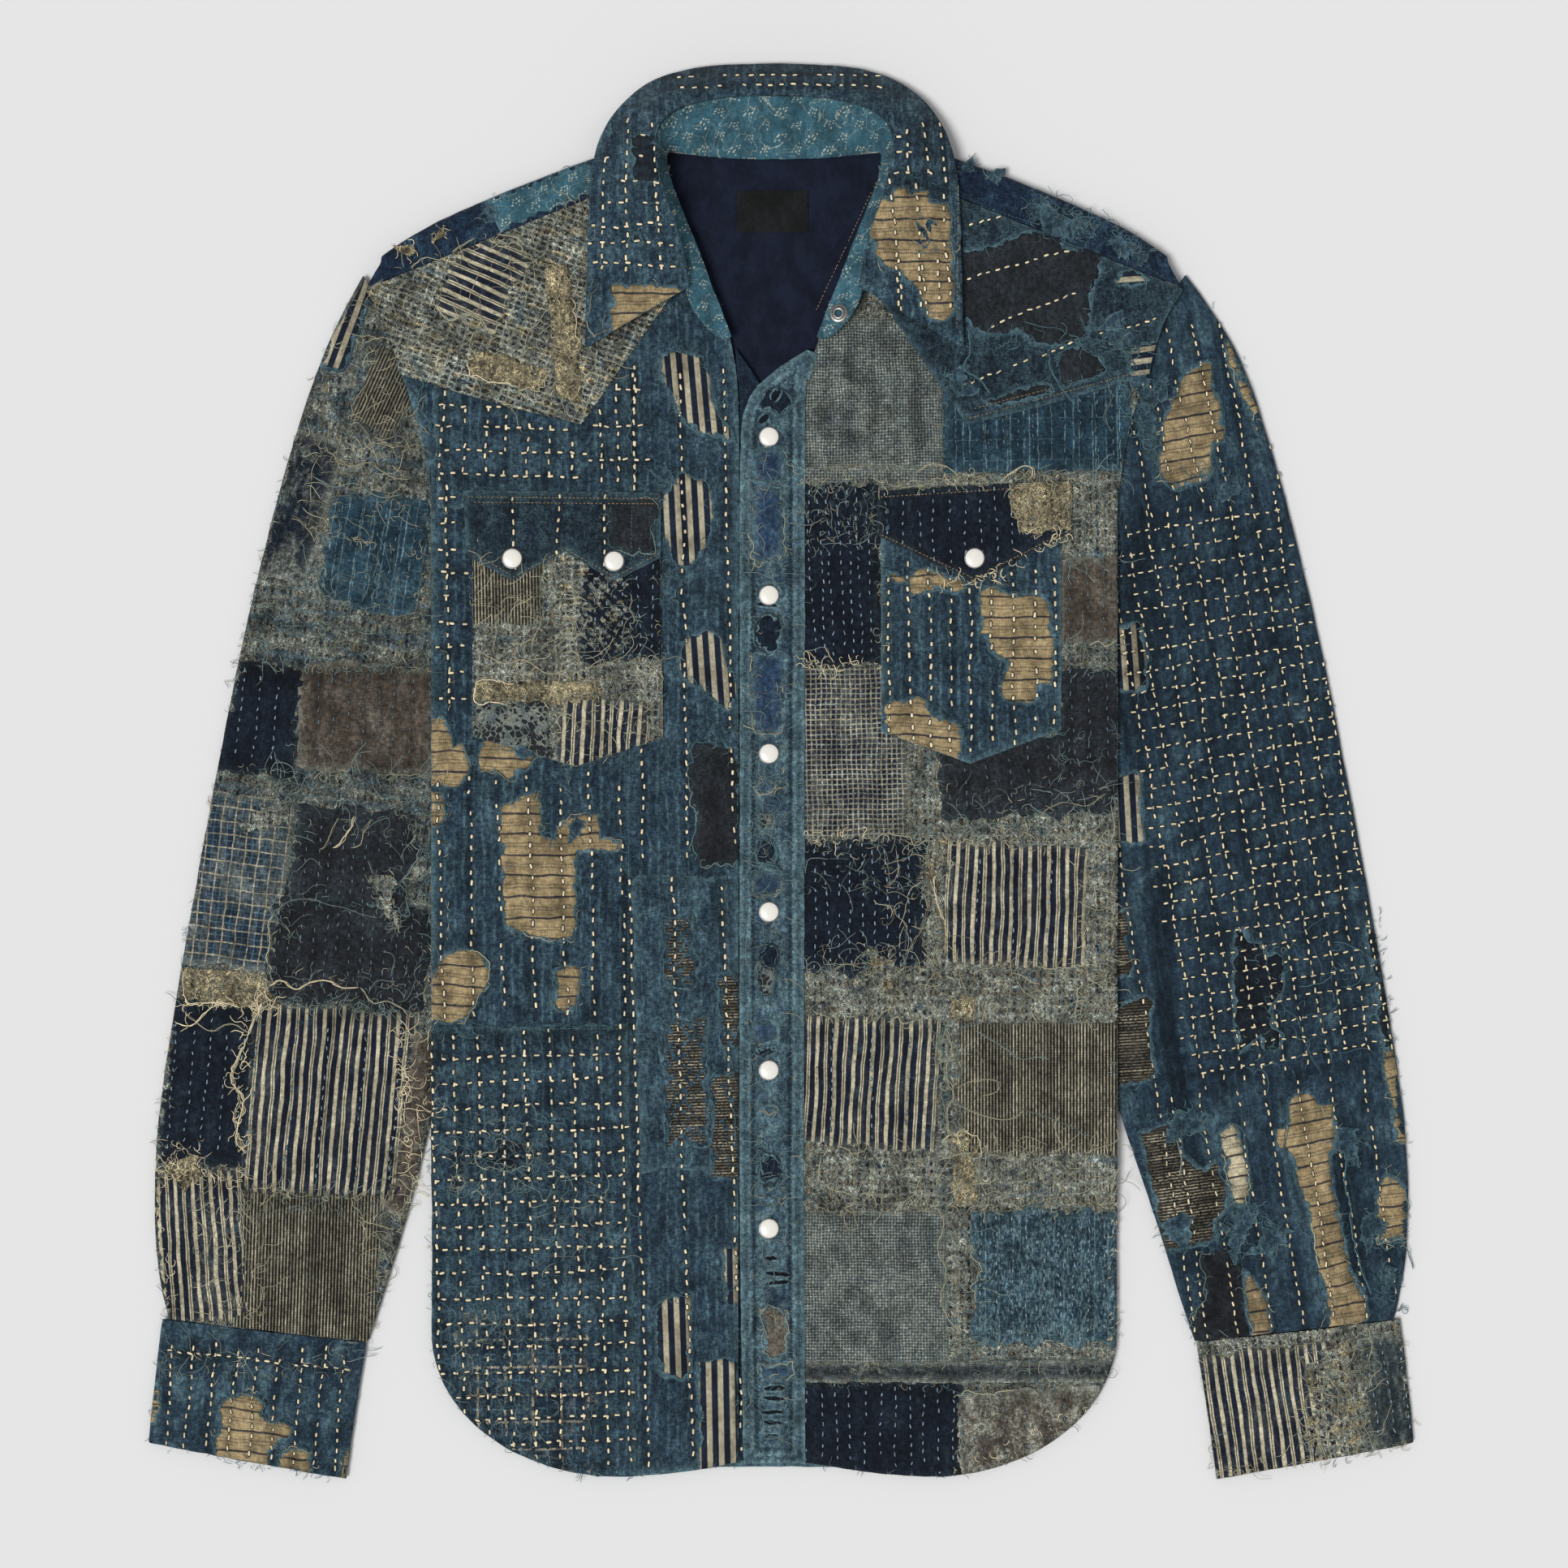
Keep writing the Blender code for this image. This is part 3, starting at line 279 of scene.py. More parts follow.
# Torn windows in the cloth, each an uneven shape through which another cloth shows
WINDOWS = {  # cloth: fabric, turn, fray, corners
    "front_right": [
        ("tan", 1, 1.3, [
            (-203, 32), (-195, 31), (-191, 24), (-189, 14), (-184, 16), (-180, 8), (-180, 0), (-184, -7),
            (-192, -10), (-199, -9), (-203, -2)]),
        ("tan", -2, 1.3, [
            (-174, 12), (-171, 17), (-160, 18), (-152, 13), (-145, 11), (-143, 5), (-147, 0), (-152, -1),
            (-153, -5), (-160, -4), (-163, -1), (-174, 0)]),
        ("tan", 2, 0.9, [(-203, -12), (-195, -13), (-194, -24), (-197, -32), (-203, -33)]),
        ("tan", 0, 1.3, [
            (-162, -21), (-156, -18), (-150, -14), (-143, -12), (-139, -14), (-138, -38), (-131, -39),
            (-129, -34), (-125, -28), (-119, -26), (-113, -25), (-105, -25), (-104, -38), (-98, -38),
            (-93, -41), (-92, -46), (-98, -46), (-111, -47), (-118, -46), (-119, -92), (-124, -97),
            (-133, -98), (-142, -96), (-148, -93), (-156, -92), (-160, -86), (-162, -50), (-163, -35)]),
        ("tan", -3, 1.4, [
            (-201, -118), (-196, -108), (-188, -103), (-180, -103), (-172, -106), (-169, -114),
            (-169, -124), (-175, -131), (-179, -138), (-182, -144), (-192, -145), (-203, -144),
            (-203, -130)]),
        ("tan", -2, 1.2, [
            (-130, -114), (-122, -112), (-116, -114), (-116, -126), (-118, -138), (-126, -138),
            (-133, -136), (-131, -126)]),
        ("navy", 0, 1.6, [
            (-177, -221), (-166, -219), (-160, -213), (-152, -214), (-147, -220), (-146, -228),
            (-155, -231), (-165, -230), (-175, -229)]),
        ("navy", 0, 1.5, [(-190, -234), (-184, -233), (-182, -238), (-186, -242), (-190, -241)]),
        ("ticking", 5, 1.3, [
            (-68, 241), (-60, 242), (-48, 240), (-43, 232), (-40, 220), (-37, 208), (-33, 202),
            (-29, 198), (-27, 191), (-31, 190), (-35, 193), (-42, 194), (-50, 196), (-56, 201),
            (-61, 210), (-66, 222), (-70, 228), (-70, 236)]),
        ("ticking", 3, 1.3, [
            (-67, 160), (-62, 168), (-57, 173), (-50, 169), (-44, 167), (-40, 158), (-39, 146),
            (-42, 132), (-48, 122), (-52, 118), (-58, 118), (-63, 124), (-67, 134), (-69, 148)]),
        ("ticking", 4, 1.3, [
            (-58, 72), (-52, 78), (-44, 81), (-36, 79), (-33, 70), (-32, 60), (-27, 58), (-26, 46),
            (-29, 34), (-33, 36), (-40, 42), (-48, 48), (-55, 52), (-59, 60)]),
    ],
    "pocket_left": [
        ("tan", 1, 0.9, [
            (62, 116), (66, 115), (72, 111), (80, 116), (90, 116), (96, 113), (104, 109), (106, 105),
            (100, 103), (88, 104), (80, 102), (74, 103), (74, 108), (66, 109), (62, 112)]),
        ("tan", 1, 1, [
            (114, 101), (117, 105), (122, 107), (128, 104), (134, 102), (146, 103), (150, 102),
            (155, 97), (156, 88), (158, 76), (157, 60), (156, 51), (150, 48), (147, 44), (150, 40),
            (140, 39), (130, 40), (127, 46), (129, 55), (130, 63), (124, 66), (120, 72), (119, 79),
            (114, 79), (115, 90)]),
        ("tan", -4, 0.9, [
            (60, 38), (64, 41), (70, 41), (76, 43), (83, 41), (85, 36), (92, 31), (100, 28), (105, 23),
            (104, 12), (103, 5), (97, 7), (88, 11), (78, 15), (68, 19), (61, 23), (60, 30)]),
    ],
    "front_yoke_left": [
        ("denim_dark", 12, 0.9, [
            (99, 301), (112, 302), (125, 303), (133, 308), (142, 311), (152, 310), (161, 309),
            (162, 301), (170, 301), (180, 301), (184, 296), (184, 285), (181, 281), (179, 268),
            (178, 252), (170, 248), (158, 246), (145, 247), (140, 252), (128, 252), (118, 252),
            (110, 257), (105, 262), (99, 270)]),
        ("denim_dark", 14, 1.2, [
            (161, 240), (170, 246), (176, 244), (184, 239), (187, 232), (184, 228), (172, 224),
            (163, 221), (161, 228)]),
        ("denim_dark", 16, 0.8, [
            (116, 214), (125, 215), (135, 219), (148, 223), (156, 222), (155, 218), (140, 214),
            (125, 211)]),
        ("ticking", 94, 0.9, [
            (192, 282), (196, 287), (202, 289), (208, 286), (212, 283), (208, 281), (198, 280)]),
        ("ticking", 98, 1.2, [
            (200, 241), (206, 245), (212, 247), (218, 247), (219, 243), (217, 236), (215, 229),
            (210, 226), (203, 228), (200, 234)]),
    ],
    "sleeve_left": [
        ("tan", 12, 1.1, [
            (231, 227), (233, 231), (238, 234), (244, 236), (248, 237), (249, 230), (250, 222),
            (253, 214), (255, 205), (256, 196), (256, 191), (251, 189), (249, 184), (249, 175),
            (246, 168), (240, 166), (234, 164), (228, 163), (224, 166), (219, 170), (218, 178),
            (220, 188), (219, 197), (222, 204), (226, 214), (229, 221)]),
        ("tan", 14, 0.5, [
            (257, 250), (260, 246), (262, 240), (266, 231), (270, 222), (274, 213), (278, 204),
            (281, 196), (280, 192), (274, 197), (271, 204), (267, 213), (263, 222), (260, 232),
            (257, 241)]),
        ("twill", 8, 1.2, [
            (262, -92), (268, -90), (271, -98), (277, -99), (280, -106), (286, -105), (290, -110),
            (290, -128), (284, -136), (285, -148), (289, -152), (288, -160), (279, -161), (277, -152),
            (266, -163), (262, -150), (261, -120)]),
        ("twill", 10, 0.8, [
            (338, -85), (343, -95), (349, -120), (352, -145), (353, -160), (347, -160), (345, -145),
            (344, -125), (340, -105), (337, -95)]),
        ("tan", 8, 0.5, [
            (347, -161), (354, -161), (358, -185), (361, -200), (361, -216), (355, -214), (352, -195),
            (349, -178)]),
        ("tan", 12, 1.2, [
            (294, -189), (305, -185), (310, -193), (319, -192), (321, -207), (322, -218), (318, -221),
            (319, -239), (323, -258), (327, -277), (331, -292), (338, -303), (339, -316), (330, -321),
            (317, -323), (314, -303), (310, -287), (307, -271), (304, -255), (299, -242), (295, -228),
            (292, -218), (286, -219), (285, -208), (291, -205), (293, -194)]),
        ("tan", 6, 1.2, [
            (351, -231), (358, -237), (362, -244), (363, -271), (349, -272), (345, -270), (344, -244),
            (347, -237)]),
        ("ribs", 8, 1.1, [
            (207, -209), (226, -203), (231, -207), (233, -221), (245, -231), (251, -223), (256, -239),
            (258, -252), (251, -260), (252, -271), (231, -276), (223, -278), (216, -250)]),
        ("pale_tan", 10, 1.1, [
            (253, -209), (261, -203), (265, -210), (269, -228), (270, -242), (266, -250), (259, -251),
            (258, -239), (255, -221)]),
        ("charcoal", 12, 1.2, [
            (242, -280), (259, -275), (266, -287), (269, -311), (272, -330), (240, -332), (236, -316),
            (245, -303)]),
        ("tan", 12, 1, [(267, -287), (275, -296), (282, -311), (284, -330), (273, -330), (269, -311)]),
    ],
    "cuff_right": [
        ("tan", -6, 1.3, [
            (-325, -366), (-318, -361), (-312, -360), (-303, -361), (-298, -364), (-300, -372),
            (-295, -375), (-285, -377), (-283, -381), (-286, -386), (-292, -390), (-296, -394),
            (-297, -404), (-310, -402), (-326, -400), (-327, -386), (-324, -380), (-325, -372)]),
        ("tan", -6, 1, [
            (-290, -397), (-284, -392), (-278, -391), (-271, -394), (-273, -410), (-283, -408),
            (-289, -406)]),
        ("tan", -6, 0.5, [(-368, -351), (-360, -351), (-359, -365), (-361, -378), (-370, -378)]),
        ("tan", -6, 0.5, [(-252, -392), (-240, -391), (-242, -414), (-256, -414), (-254, -402)]),
    ],
    "collar_leaf": [
        ("tan", 178, 0.8, [
            (-98, 279), (-85, 279), (-75, 280), (-66, 279), (-59, 277), (-56, 268), (-63, 266),
            (-72, 262), (-82, 257), (-90, 250), (-97, 250), (-99, 262), (-98, 272)]),
        ("twill", -4, 0.8, [(-86, 364), (-75, 364), (-70, 356), (-70, 337), (-85, 337)]),
        ("twill", -4, 0.6, [(-85, 308), (-80, 308), (-79, 302), (-84, 301)]),
        ("tan", 2, 0.9, [
            (50, 312), (53, 320), (56, 328), (62, 327), (64, 333), (72, 334), (74, 329), (76, 333),
            (84, 333), (85, 327), (96, 326), (98, 318), (98, 308), (99, 296), (99, 275), (100, 264),
            (92, 258), (86, 259), (80, 267), (78, 277), (72, 281), (67, 287), (60, 288), (56, 292),
            (52, 300), (51, 306)]),
        ("indigo", 5, 0.8, [
            (75, 318), (82, 317), (87, 316), (90, 310), (87, 305), (89, 299), (83, 297), (77, 298),
            (75, 303), (74, 311)]),
    ],
    "placket": [
        ("deep_blue", 0, 1, [
            (-17, 185), (-8, 187), (1, 186), (3, 178), (1, 170), (-4, 166), (-13, 166), (-17, 172)]),
        ("deep_blue", 0, 1.2, [
            (-17, 163), (-8, 165), (0, 163), (2, 150), (1, 125), (-2, 123), (-10, 119), (-15, 118),
            (-18, 130), (-17, 150)]),
        ("navy_worn", 0, 1.8, [
            (-12, 88), (-7, 90), (-2, 88), (0, 80), (-2, 71), (-7, 68), (-12, 70), (-15, 78)]),
        ("deep_blue", 0, 1.1, [
            (-17, 68), (-8, 69), (2, 68), (3, 50), (1, 25), (-7, 21), (-16, 22), (-18, 45)]),
        ("deep_blue", 0, 1.3, [(-15, -9), (-9, -5), (-3, -7), (-2, -10), (-7, -13), (-13, -13)]),
        ("net", 0, 1.2, [(-13, -25), (-5, -25), (-4, -33), (-12, -34)]),
        ("navy_worn", 0, 1.8, [(-13, -41), (-6, -40), (-3, -46), (-4, -54), (-10, -55), (-14, -49)]),
        ("deep_blue", 0, 1, [(-17, -58), (-7, -57), (2, -58), (1, -71), (-8, -72), (-17, -71)]),
        ("navy_worn", 0, 1.7, [(-9, -100), (-4, -101), (-2, -106), (-4, -112), (-9, -113), (-13, -107)]),
        ("net", 0, 1.5, [(-13, -110), (-4, -113), (-3, -122), (-5, -130), (-11, -130), (-14, -120)]),
        ("deep_blue", 0, 1.1, [(-17, -144), (-6, -144), (-1, -146), (-1, -156), (-9, -157), (-17, -156)]),
        ("navy_worn", 0, 1.3, [(-16, -159), (-10, -160), (-4, -159), (-5, -163), (-10, -165), (-14, -163)]),
        ("deep_blue", 0, 1.2, [(-13, -195), (-6, -192), (-1, -195), (-4, -198), (-10, -198)]),
        ("navy_worn", 0, 1.8, [
            (-10, -219), (-4, -221), (-1, -228), (-2, -235), (-8, -238), (-12, -236), (-12, -226)]),
        ("deep_blue", 0, 1.1, [(-15, -239), (-6, -240), (3, -239), (2, -245), (-6, -247), (-14, -246)]),
        ("brown", 0, 1.6, [
            (-12, -311), (-4, -309), (4, -313), (4, -326), (2, -337), (-5, -339), (-10, -334),
            (-10, -322)]),
        ("deep_blue", 0, 1.1, [
            (-13, -341), (-4, -342), (7, -340), (8, -346), (4, -351), (-6, -352), (-12, -348)]),
    ],
}

# Slits worn in the placket, each a dark lens between raised lips
SLITS = [  # x, y, length, width, lean
    (-3, 217, 8, 3.5, 60),
    (-10, 203, 7, 3, 40),
    (-8, 96, 11, 1.6, -4),
    (-6, -281, 7, 1.8, 4),
    (-2, -290, 14, 1.8, -5),
    (-2, -295, 13, 1.6, 6),
    (-4, -356, 12, 2.2, 3),
    (-4, -362, 12, 1.8, -3),
    (-5, -370, 12, 1.5, 2),
    (-5, -376, 10, 2, -5),
    (-6, -384, 8, 1.4, 4),
]

# Patches of the hidden side, on the underside of the garment
BACK_PATCHES = {  # cloth: fabric, x low, x high, y low, y high, turn, rag, fray
    "back": [
        ("navy", -190, -70, 40, 150, 2, 3, 0.8),
        ("stripe", -60, 50, 60, 160, -2, 3, 0.8),
        ("indigo_worn", 60, 180, 20, 170, 1, 3, 0.6),
        ("check", -180, -90, -90, 30, 1, 3, 0.8),
        ("grey_gauze", -80, 40, -70, 50, 0, 5, 1.2),
        ("charcoal", 50, 150, -110, 10, 3, 4, 1),
        ("tan", -30, 20, -140, -90, 0, 5, 1.2),
        ("hairline", -170, -60, -220, -110, 0, 3, 0.8),
        ("pins", -50, 70, -260, -160, 0, 3, 0.8),
        ("stripe", 80, 180, -240, -130, 2, 3, 0.8),
        ("micro", -180, -70, -370, -240, 0, 3, 0.8),
        ("navy", 60, 170, -380, -260, 1, 3, 0.8),
        ("tan", -20, 30, -360, -300, 0, 5, 1.2),
    ],
    "back_yoke": [
        ("stripe", -160, -70, 210, 290, 82, 4, 1),
        ("tan", 40, 100, 220, 280, 0, 5, 1.2),
    ],
    "sleeve_right": [
        ("check", -300, -230, -20, 80, -8, 3, 0.8),
        ("charcoal", -330, -260, -140, -40, -6, 3, 0.8),
        ("stripe", -340, -240, -290, -190, -4, 3, 0.8),
    ],
    "sleeve_left": [
        ("tan", 260, 310, -40, 20, 8, 5, 1.2),
        ("twill", 280, 330, -180, -110, 8, 4, 1),
        ("indigo_worn", 226, 292, 60, 160, 10, 3, 0.8),
    ],
}

# Blocks of running stitches over whatever cloth lies there. A pitch of 0 leaves those rows out.
GRIDS = [  # x low, x high, y low, y high, turn, row pitch, column pitch, thread, only on
    (-201, -88, -402, -151, 1.5, 14, 13.6, "cream", ""),
    (-86, -26, -402, -60, 2, 0, 27, "cream", ""),
    (-204, -112, 166, 228, -2, 13.5, 12.5, "cream", "front_right"),
    (-112, -76, 164, 236, 0, 21, 9.5, "cream", "front_right"),
    (-202, -182, 34, 166, 1, 14.5, 11, "cream", "front_right"),
    (-198, -90, -146, 0, 1.5, 0, 17.6, "cream", "front_right"),
    (-84, -28, -58, 232, 1, 0, 26, "cream", "front_right"),
    (-176, -80, 108, 160, 1, 0, 26, "cream", "flap_right"),
    (-110, -72, 66, 122, 0, 0, 8.5, "sky", "pocket_right"),
    (62, 98, 262, 296, 2, 0, 11, "cream", ""),
    (12, 56, 64, 164, 2.5, 0, 5.6, "sky", "front_left"),
    (60, 134, 118, 166, 1, 0, 9, "sky", "flap_left"),
    (60, 160, 8, 118, 0.5, 0, 12, "cream", "pocket_left"),
    (96, 190, -26, 18, 3, 0, 12, "faint", "front_left"),
    (164, 190, 4, 120, 1, 0, 10, "faint", "front_left"),
    (12, 82, -116, -42, 1.5, 0, 6.9, "sky", "front_left"),
    (14, 100, -402, -356, 0.5, 0, 8.5, "sky", "front_left"),
    (104, 178, -400, -360, 4, 0, 12, "faint", "front_left"),
    (112, 190, -328, -256, 0.5, 0, 9, "sky", "front_left"),
    (14, 92, 178, 250, 1, 0, 13, "faint", "front_left"),
    (98, 194, 182, 222, 1, 0, 9, "faint", "front_left"),
    (16, 88, -212, -148, -3, 0, 21, "sky", "front_left"),
    (98, 170, -108, -48, -2, 0, 20, "sky", "front_left"),
    (206, 346, -176, 156, 10, 11.2, 12.4, "small", "sleeve_left"),
    (190, 216, -330, 140, 9, 0, 15, "small", "sleeve_left"),
    (196, 300, 150, 262, 12, 0, 15, "small", "sleeve_left"),
    (220, 364, -330, -178, 9, 0, 18.5, "small", "sleeve_left"),
    (336, 366, -384, -332, 7, 0, 9.5, "sky", "cuff_left"),
    (-322, -284, 4, 58, -6, 0, 10, "sky", "sleeve_right"),
    (-276, -206, 4, 58, -3, 0, 9, "faint", "sleeve_right"),
    (-294, -206, -134, -78, -5, 0, 6.9, "faint", "sleeve_right"),
    (-278, -216, -76, -30, -5, 0, 6.9, "faint", "sleeve_right"),
    (-354, -310, -222, -142, -5, 0, 10, "sky", "sleeve_right"),
    (-306, -222, -240, -142, -5, 0, 21, "sky", "sleeve_right"),
    (-260, -210, 98, 154, -9, 0, 11, "faint", "sleeve_right"),
    (-360, -246, -348, -334, -6.5, 11, 0, "close", "cuff_right"),
    (-362, -248, -406, -332, -5, 0, 12.5, "close", "cuff_right"),
    (60, 106, 334, 372, 4, 10.5, 11, "cream", "collar_leaf"),
    (-70, 64, 392, 410, 0, 9, 14, "cream", "collar_leaf"),
    (56, 104, 258, 334, 4, 0, 15, "cream", "collar_leaf"),
]

BACK_GRIDS = [  # x low, x high, y low, y high, turn, row pitch, column pitch, thread, only on
    (-190, 182, -390, 176, 1, 0, 34, "cream", ""),
    (60, 180, 24, 166, 1, 18, 0, "cream", ""),
    (-200, 190, 196, 290, 2, 24, 0, "cream", ""),
    (-352, -236, -320, 200, -9, 0, 30, "cream", ""),
    (236, 352, -320, 200, 9, 26, 30, "cream", ""),
]

# Single rows of stitches, by machine in teal and gold and by hand in the rest
SEAMS = [  # x0, y0, x1, y1, thread, only on
    (-20.5, -398, -20.5, 176, "teal", ""),
    (9.5, -398, 9.5, 200, "teal", ""),
    (-181, 158, -71, 157, "gold", ""),
    (-181, 155, -71, 154, "gold", ""),
    (57, 158, 166, 165, "gold", ""),
    (56, 137, 111, 111, "gold", ""),
    (111, 111, 166, 139, "gold", ""),
    (-181, 128, -154, 112, "gold", ""),
    (-154, 112, -124.5, 128, "gold", ""),
    (-124.5, 128, -96, 112, "gold", ""),
    (-96, 112, -71, 125, "gold", ""),
    (-223, 232, -115, 203, "teal", ""),
    (107, 203, 209, 231, "gold", ""),
    (-86, 160, -89, -148, "teal", ""),
    (-111, 350, -116, 252, "gold", ""),
    (102, 350, 101, 254, "gold", ""),
    (-114, 248, -62, 268, "gold", ""),
    (-200, -148, -90, -149, "teal", ""),
    (62, 356, 20, 266, "gold", ""),
    (-236, 295, -230, 281, "teal", "back_yoke"),
    (-242, 290, -238, 279, "teal", "back_yoke"),
    (100, 331, 158, 312, "teal", "back_yoke"),
    (186, 308, 230, 278, "teal", "back_yoke"),
    (-168, 268, -112, 300, "teal", "back_yoke"),
    (-218, 272, -112, 326, "teal", "back_yoke"),
    (101, 281, 163, 300, "close", "front_yoke_left"),
    (120, 255, 170, 276, "close", "front_yoke_left"),
    (97, 219, 165, 246, "close", "front_yoke_left"),
    (105, 313, 127, 320, "close", "front_yoke_left"),
    (183, 252, 222, 262, "close", "front_yoke_left"),
    (111, 209, 157, 221, "gold", "front_yoke_left"),
    (-112, 366, -70, 363, "cream", "collar_leaf"),
    (-112, 352, -66, 350, "cream", "collar_leaf"),
    (-113, 338, -64, 336, "cream", "collar_leaf"),
    (-113, 326, -60, 324, "cream", "collar_leaf"),
    (-113, 314, -62, 312, "cream", "collar_leaf"),
    (-112, 304, -62, 302, "cream", "collar_leaf"),
    (-112, 292, -60, 290, "cream", "collar_leaf"),
    (-101, 374, -103, 286, "cream", "collar_leaf"),
    (-88, 380, -89, 286, "cream", "collar_leaf"),
    (-74, 374, -68, 284, "cream", "collar_leaf"),
]

# Worn nets: areas of loose mesh and tangled fibre over the cloth below
NETS = [  # x low, x high, y low, y high, cells pitch, strands per square centimetre, thread, only on
    (-250, -208, 183, 280, 5, 5, "ecru", "sleeve_right"),
    (-276, -217, 141, 193, 5, 5, "ecru", "sleeve_right"),
    (-304, -205, 56, 118, 5, 5, "grey", "sleeve_right"),
    (-332, -203, -16, 4, 5, 6, "grey", "sleeve_right"),
    (-300, -206, -40, -2, 6, 3, "grey", "sleeve_right"),
    (-300, -276, -100, -20, 6, 4, "grey", "sleeve_right"),
    (-228, -204, -132, 0, 6, 4, "grey", "sleeve_right"),
    (-348, -206, -140, -114, 7, 5, "grey", "sleeve_right"),
    (-222, -202, -254, -150, 4.5, 5, "cream", "sleeve_right"),
    (-364, -334, -238, -212, 4.5, 12, "cream", "sleeve_right"),
    (-340, -298, -320, -236, 5, 6, "ecru", "sleeve_right"),
    (-314, -230, -256, -240, 5, 5, "grey", "sleeve_right"),
    (-244, -214, -326, -256, 5, 5, "ecru", "sleeve_right"),
    (-224, -90, 206, 330, 6, 1.6, "ecru", "front_yoke_right"),
    (-176, -114, 40, 118, 5, 4, "ecru", "pocket_right"),
    (-192, -132, -246, -198, 6, 5, "grey", "front_right"),
    (-146, -100, -292, -236, 7, 2, "grey", "front_right"),
    (-198, -146, -392, -296, 8, 5, "teal", "front_right"),
    (-360, -246, -352, -332, 5, 6, "grey", "cuff_right"),
    (-190, -130, -400, -312, 9, 2, "grey", "front_right"),
    (-122, -72, 60, 112, 7.5, 2.5, "grey", "pocket_right"),
    (-177, -132, 12, 40, 7.5, 3, "grey", "pocket_right"),
    (-130, -70, 4, 66, 5.5, 4, "ecru", "pocket_right"),
    (12, 58, 128, 168, 4, 13, "grey", "front_left"),
    (164, 196, 112, 172, 5, 5, "grey", "front_left"),
    (134, 170, 136, 170, 5, 5, "ecru", "flap_left"),
    (164, 194, 54, 78, 6, 5, "grey", "front_left"),
    (74, 194, -40, -4, 6.5, 5, "grey", "front_left"),
    (60, 100, -118, -40, 6, 4, "ecru", "front_left"),
    (10, 86, -70, -40, 4.5, 5, "grey", "front_left"),
    (10, 86, -118, -98, 4.5, 5, "grey", "front_left"),
    (170, 194, -142, -40, 5, 5, "ecru", "front_left"),
    (12, 194, -146, -108, 5.5, 5, "ecru", "front_left"),
    (86, 106, -252, -140, 5, 5, "grey", "front_left"),
    (12, 194, -252, -214, 5, 4.5, "ecru", "front_left"),
    (88, 116, -344, -250, 5, 4, "grey", "front_left"),
    (110, 194, -350, -322, 5, 4, "grey", "front_left"),
    (302, 346, -404, -330, 5, 5, "ecru", "cuff_left"),
    (248, 366, -414, -396, 5, 6, "ecru", "cuff_left"),
    (-178, -130, -260, -206, 6, 2.5, "teal", "front_right"),
    (-202, -120, -300, -190, 9, 1.2, "teal", "front_right"),
    (268, 330, -176, -90, 8, 2, "teal", "sleeve_left"),
    (186, 216, 190, 250, 7, 5, "teal", "front_yoke_left"),
    (-22, 10, -390, 190, 9, 2.2, "grey", "placket"),
    (-18, 2, -390, -340, 6, 6, "teal", "placket"),
    (-20, 4, -60, 20, 7, 4, "teal", "placket"),
    (-18, 2, -250, -160, 7, 3, "teal", "placket"),
]

# Torn tongues of cloth that stand off the worn edges. Heading is in degrees.
TATTERS = [  # x, y, heading, reach, width, fabric
    (158, 308, 80, 26, 16, "torn_indigo"),
    (150, 318, 104, 12, 10, "torn_indigo"),
    (166, 312, 38, 15, 11, "torn_indigo"),
    (192, 300, 30, 15, 11, "torn_indigo"),
    (202, 294, 14, 12, 10, "torn_indigo"),
    (180, 316, -104, 24, 8, "torn_indigo"),
    (121, 340, 60, 12, 9, "torn_indigo"),
    (108, 346, 80, 9, 7, "torn_indigo"),
    (-168, 316, 100, 11, 10, "torn_indigo"),
    (-211, 301, 206, 14, 6, "cream_gauze"),
    (-194, 311, 205, 9, 4, "cream_gauze"),
    (206, 228, -82, 34, 12, "torn_indigo"),
    (212, 206, -100, 24, 7, "torn_indigo"),
    (198, 262, 188, 18, 9, "torn_indigo"),
    (204, 250, -150, 15, 8, "torn_indigo"),
    (100, 232, -62, 18, 9, "torn_indigo"),
    (112, 222, -118, 14, 5, "torn_indigo"),
    (188, 250, 10, 14, 10, "torn_indigo"),
    (240, -196, -104, 26, 20, "torn_indigo"),
    (270, -250, -72, 32, 12, "torn_indigo"),
    (262, -262, -58, 24, 10, "torn_indigo"),
    (328, -206, -96, 26, 12, "torn_indigo"),
    (345, -258, -122, 22, 12, "torn_indigo"),
    (352, -286, -112, 18, 10, "torn_indigo"),
    (226, -258, -62, 22, 16, "torn_indigo"),
    (288, -262, -112, 28, 12, "torn_indigo"),
    (258, 168, -60, 16, 12, "torn_indigo"),
    (-72, 176, -62, 16, 9, "torn_indigo"),
    (-60, 112, -112, 18, 9, "torn_indigo"),
    (-34, 26, -108, 18, 14, "torn_indigo"),
    (-128, 2, -92, 16, 9, "torn_indigo"),
    (-116, -28, -112, 16, 9, "torn_indigo"),
    (-152, 14, -70, 12, 8, "torn_indigo"),
    (-184, -146, -60, 12, 9, "torn_indigo"),
    (66, -120, 160, 26, 14, "ecru_gauze"),
    (92, -40, -100, 30, 10, "ecru_gauze"),
    (98, -110, -140, 26, 12, "grey_gauze"),
    (-230, -60, -95, 34, 12, "grey_gauze"),
    (-292, -20, -80, 30, 12, "grey_gauze"),
    (-346, -224, -70, 20, 18, "cream_gauze"),
]

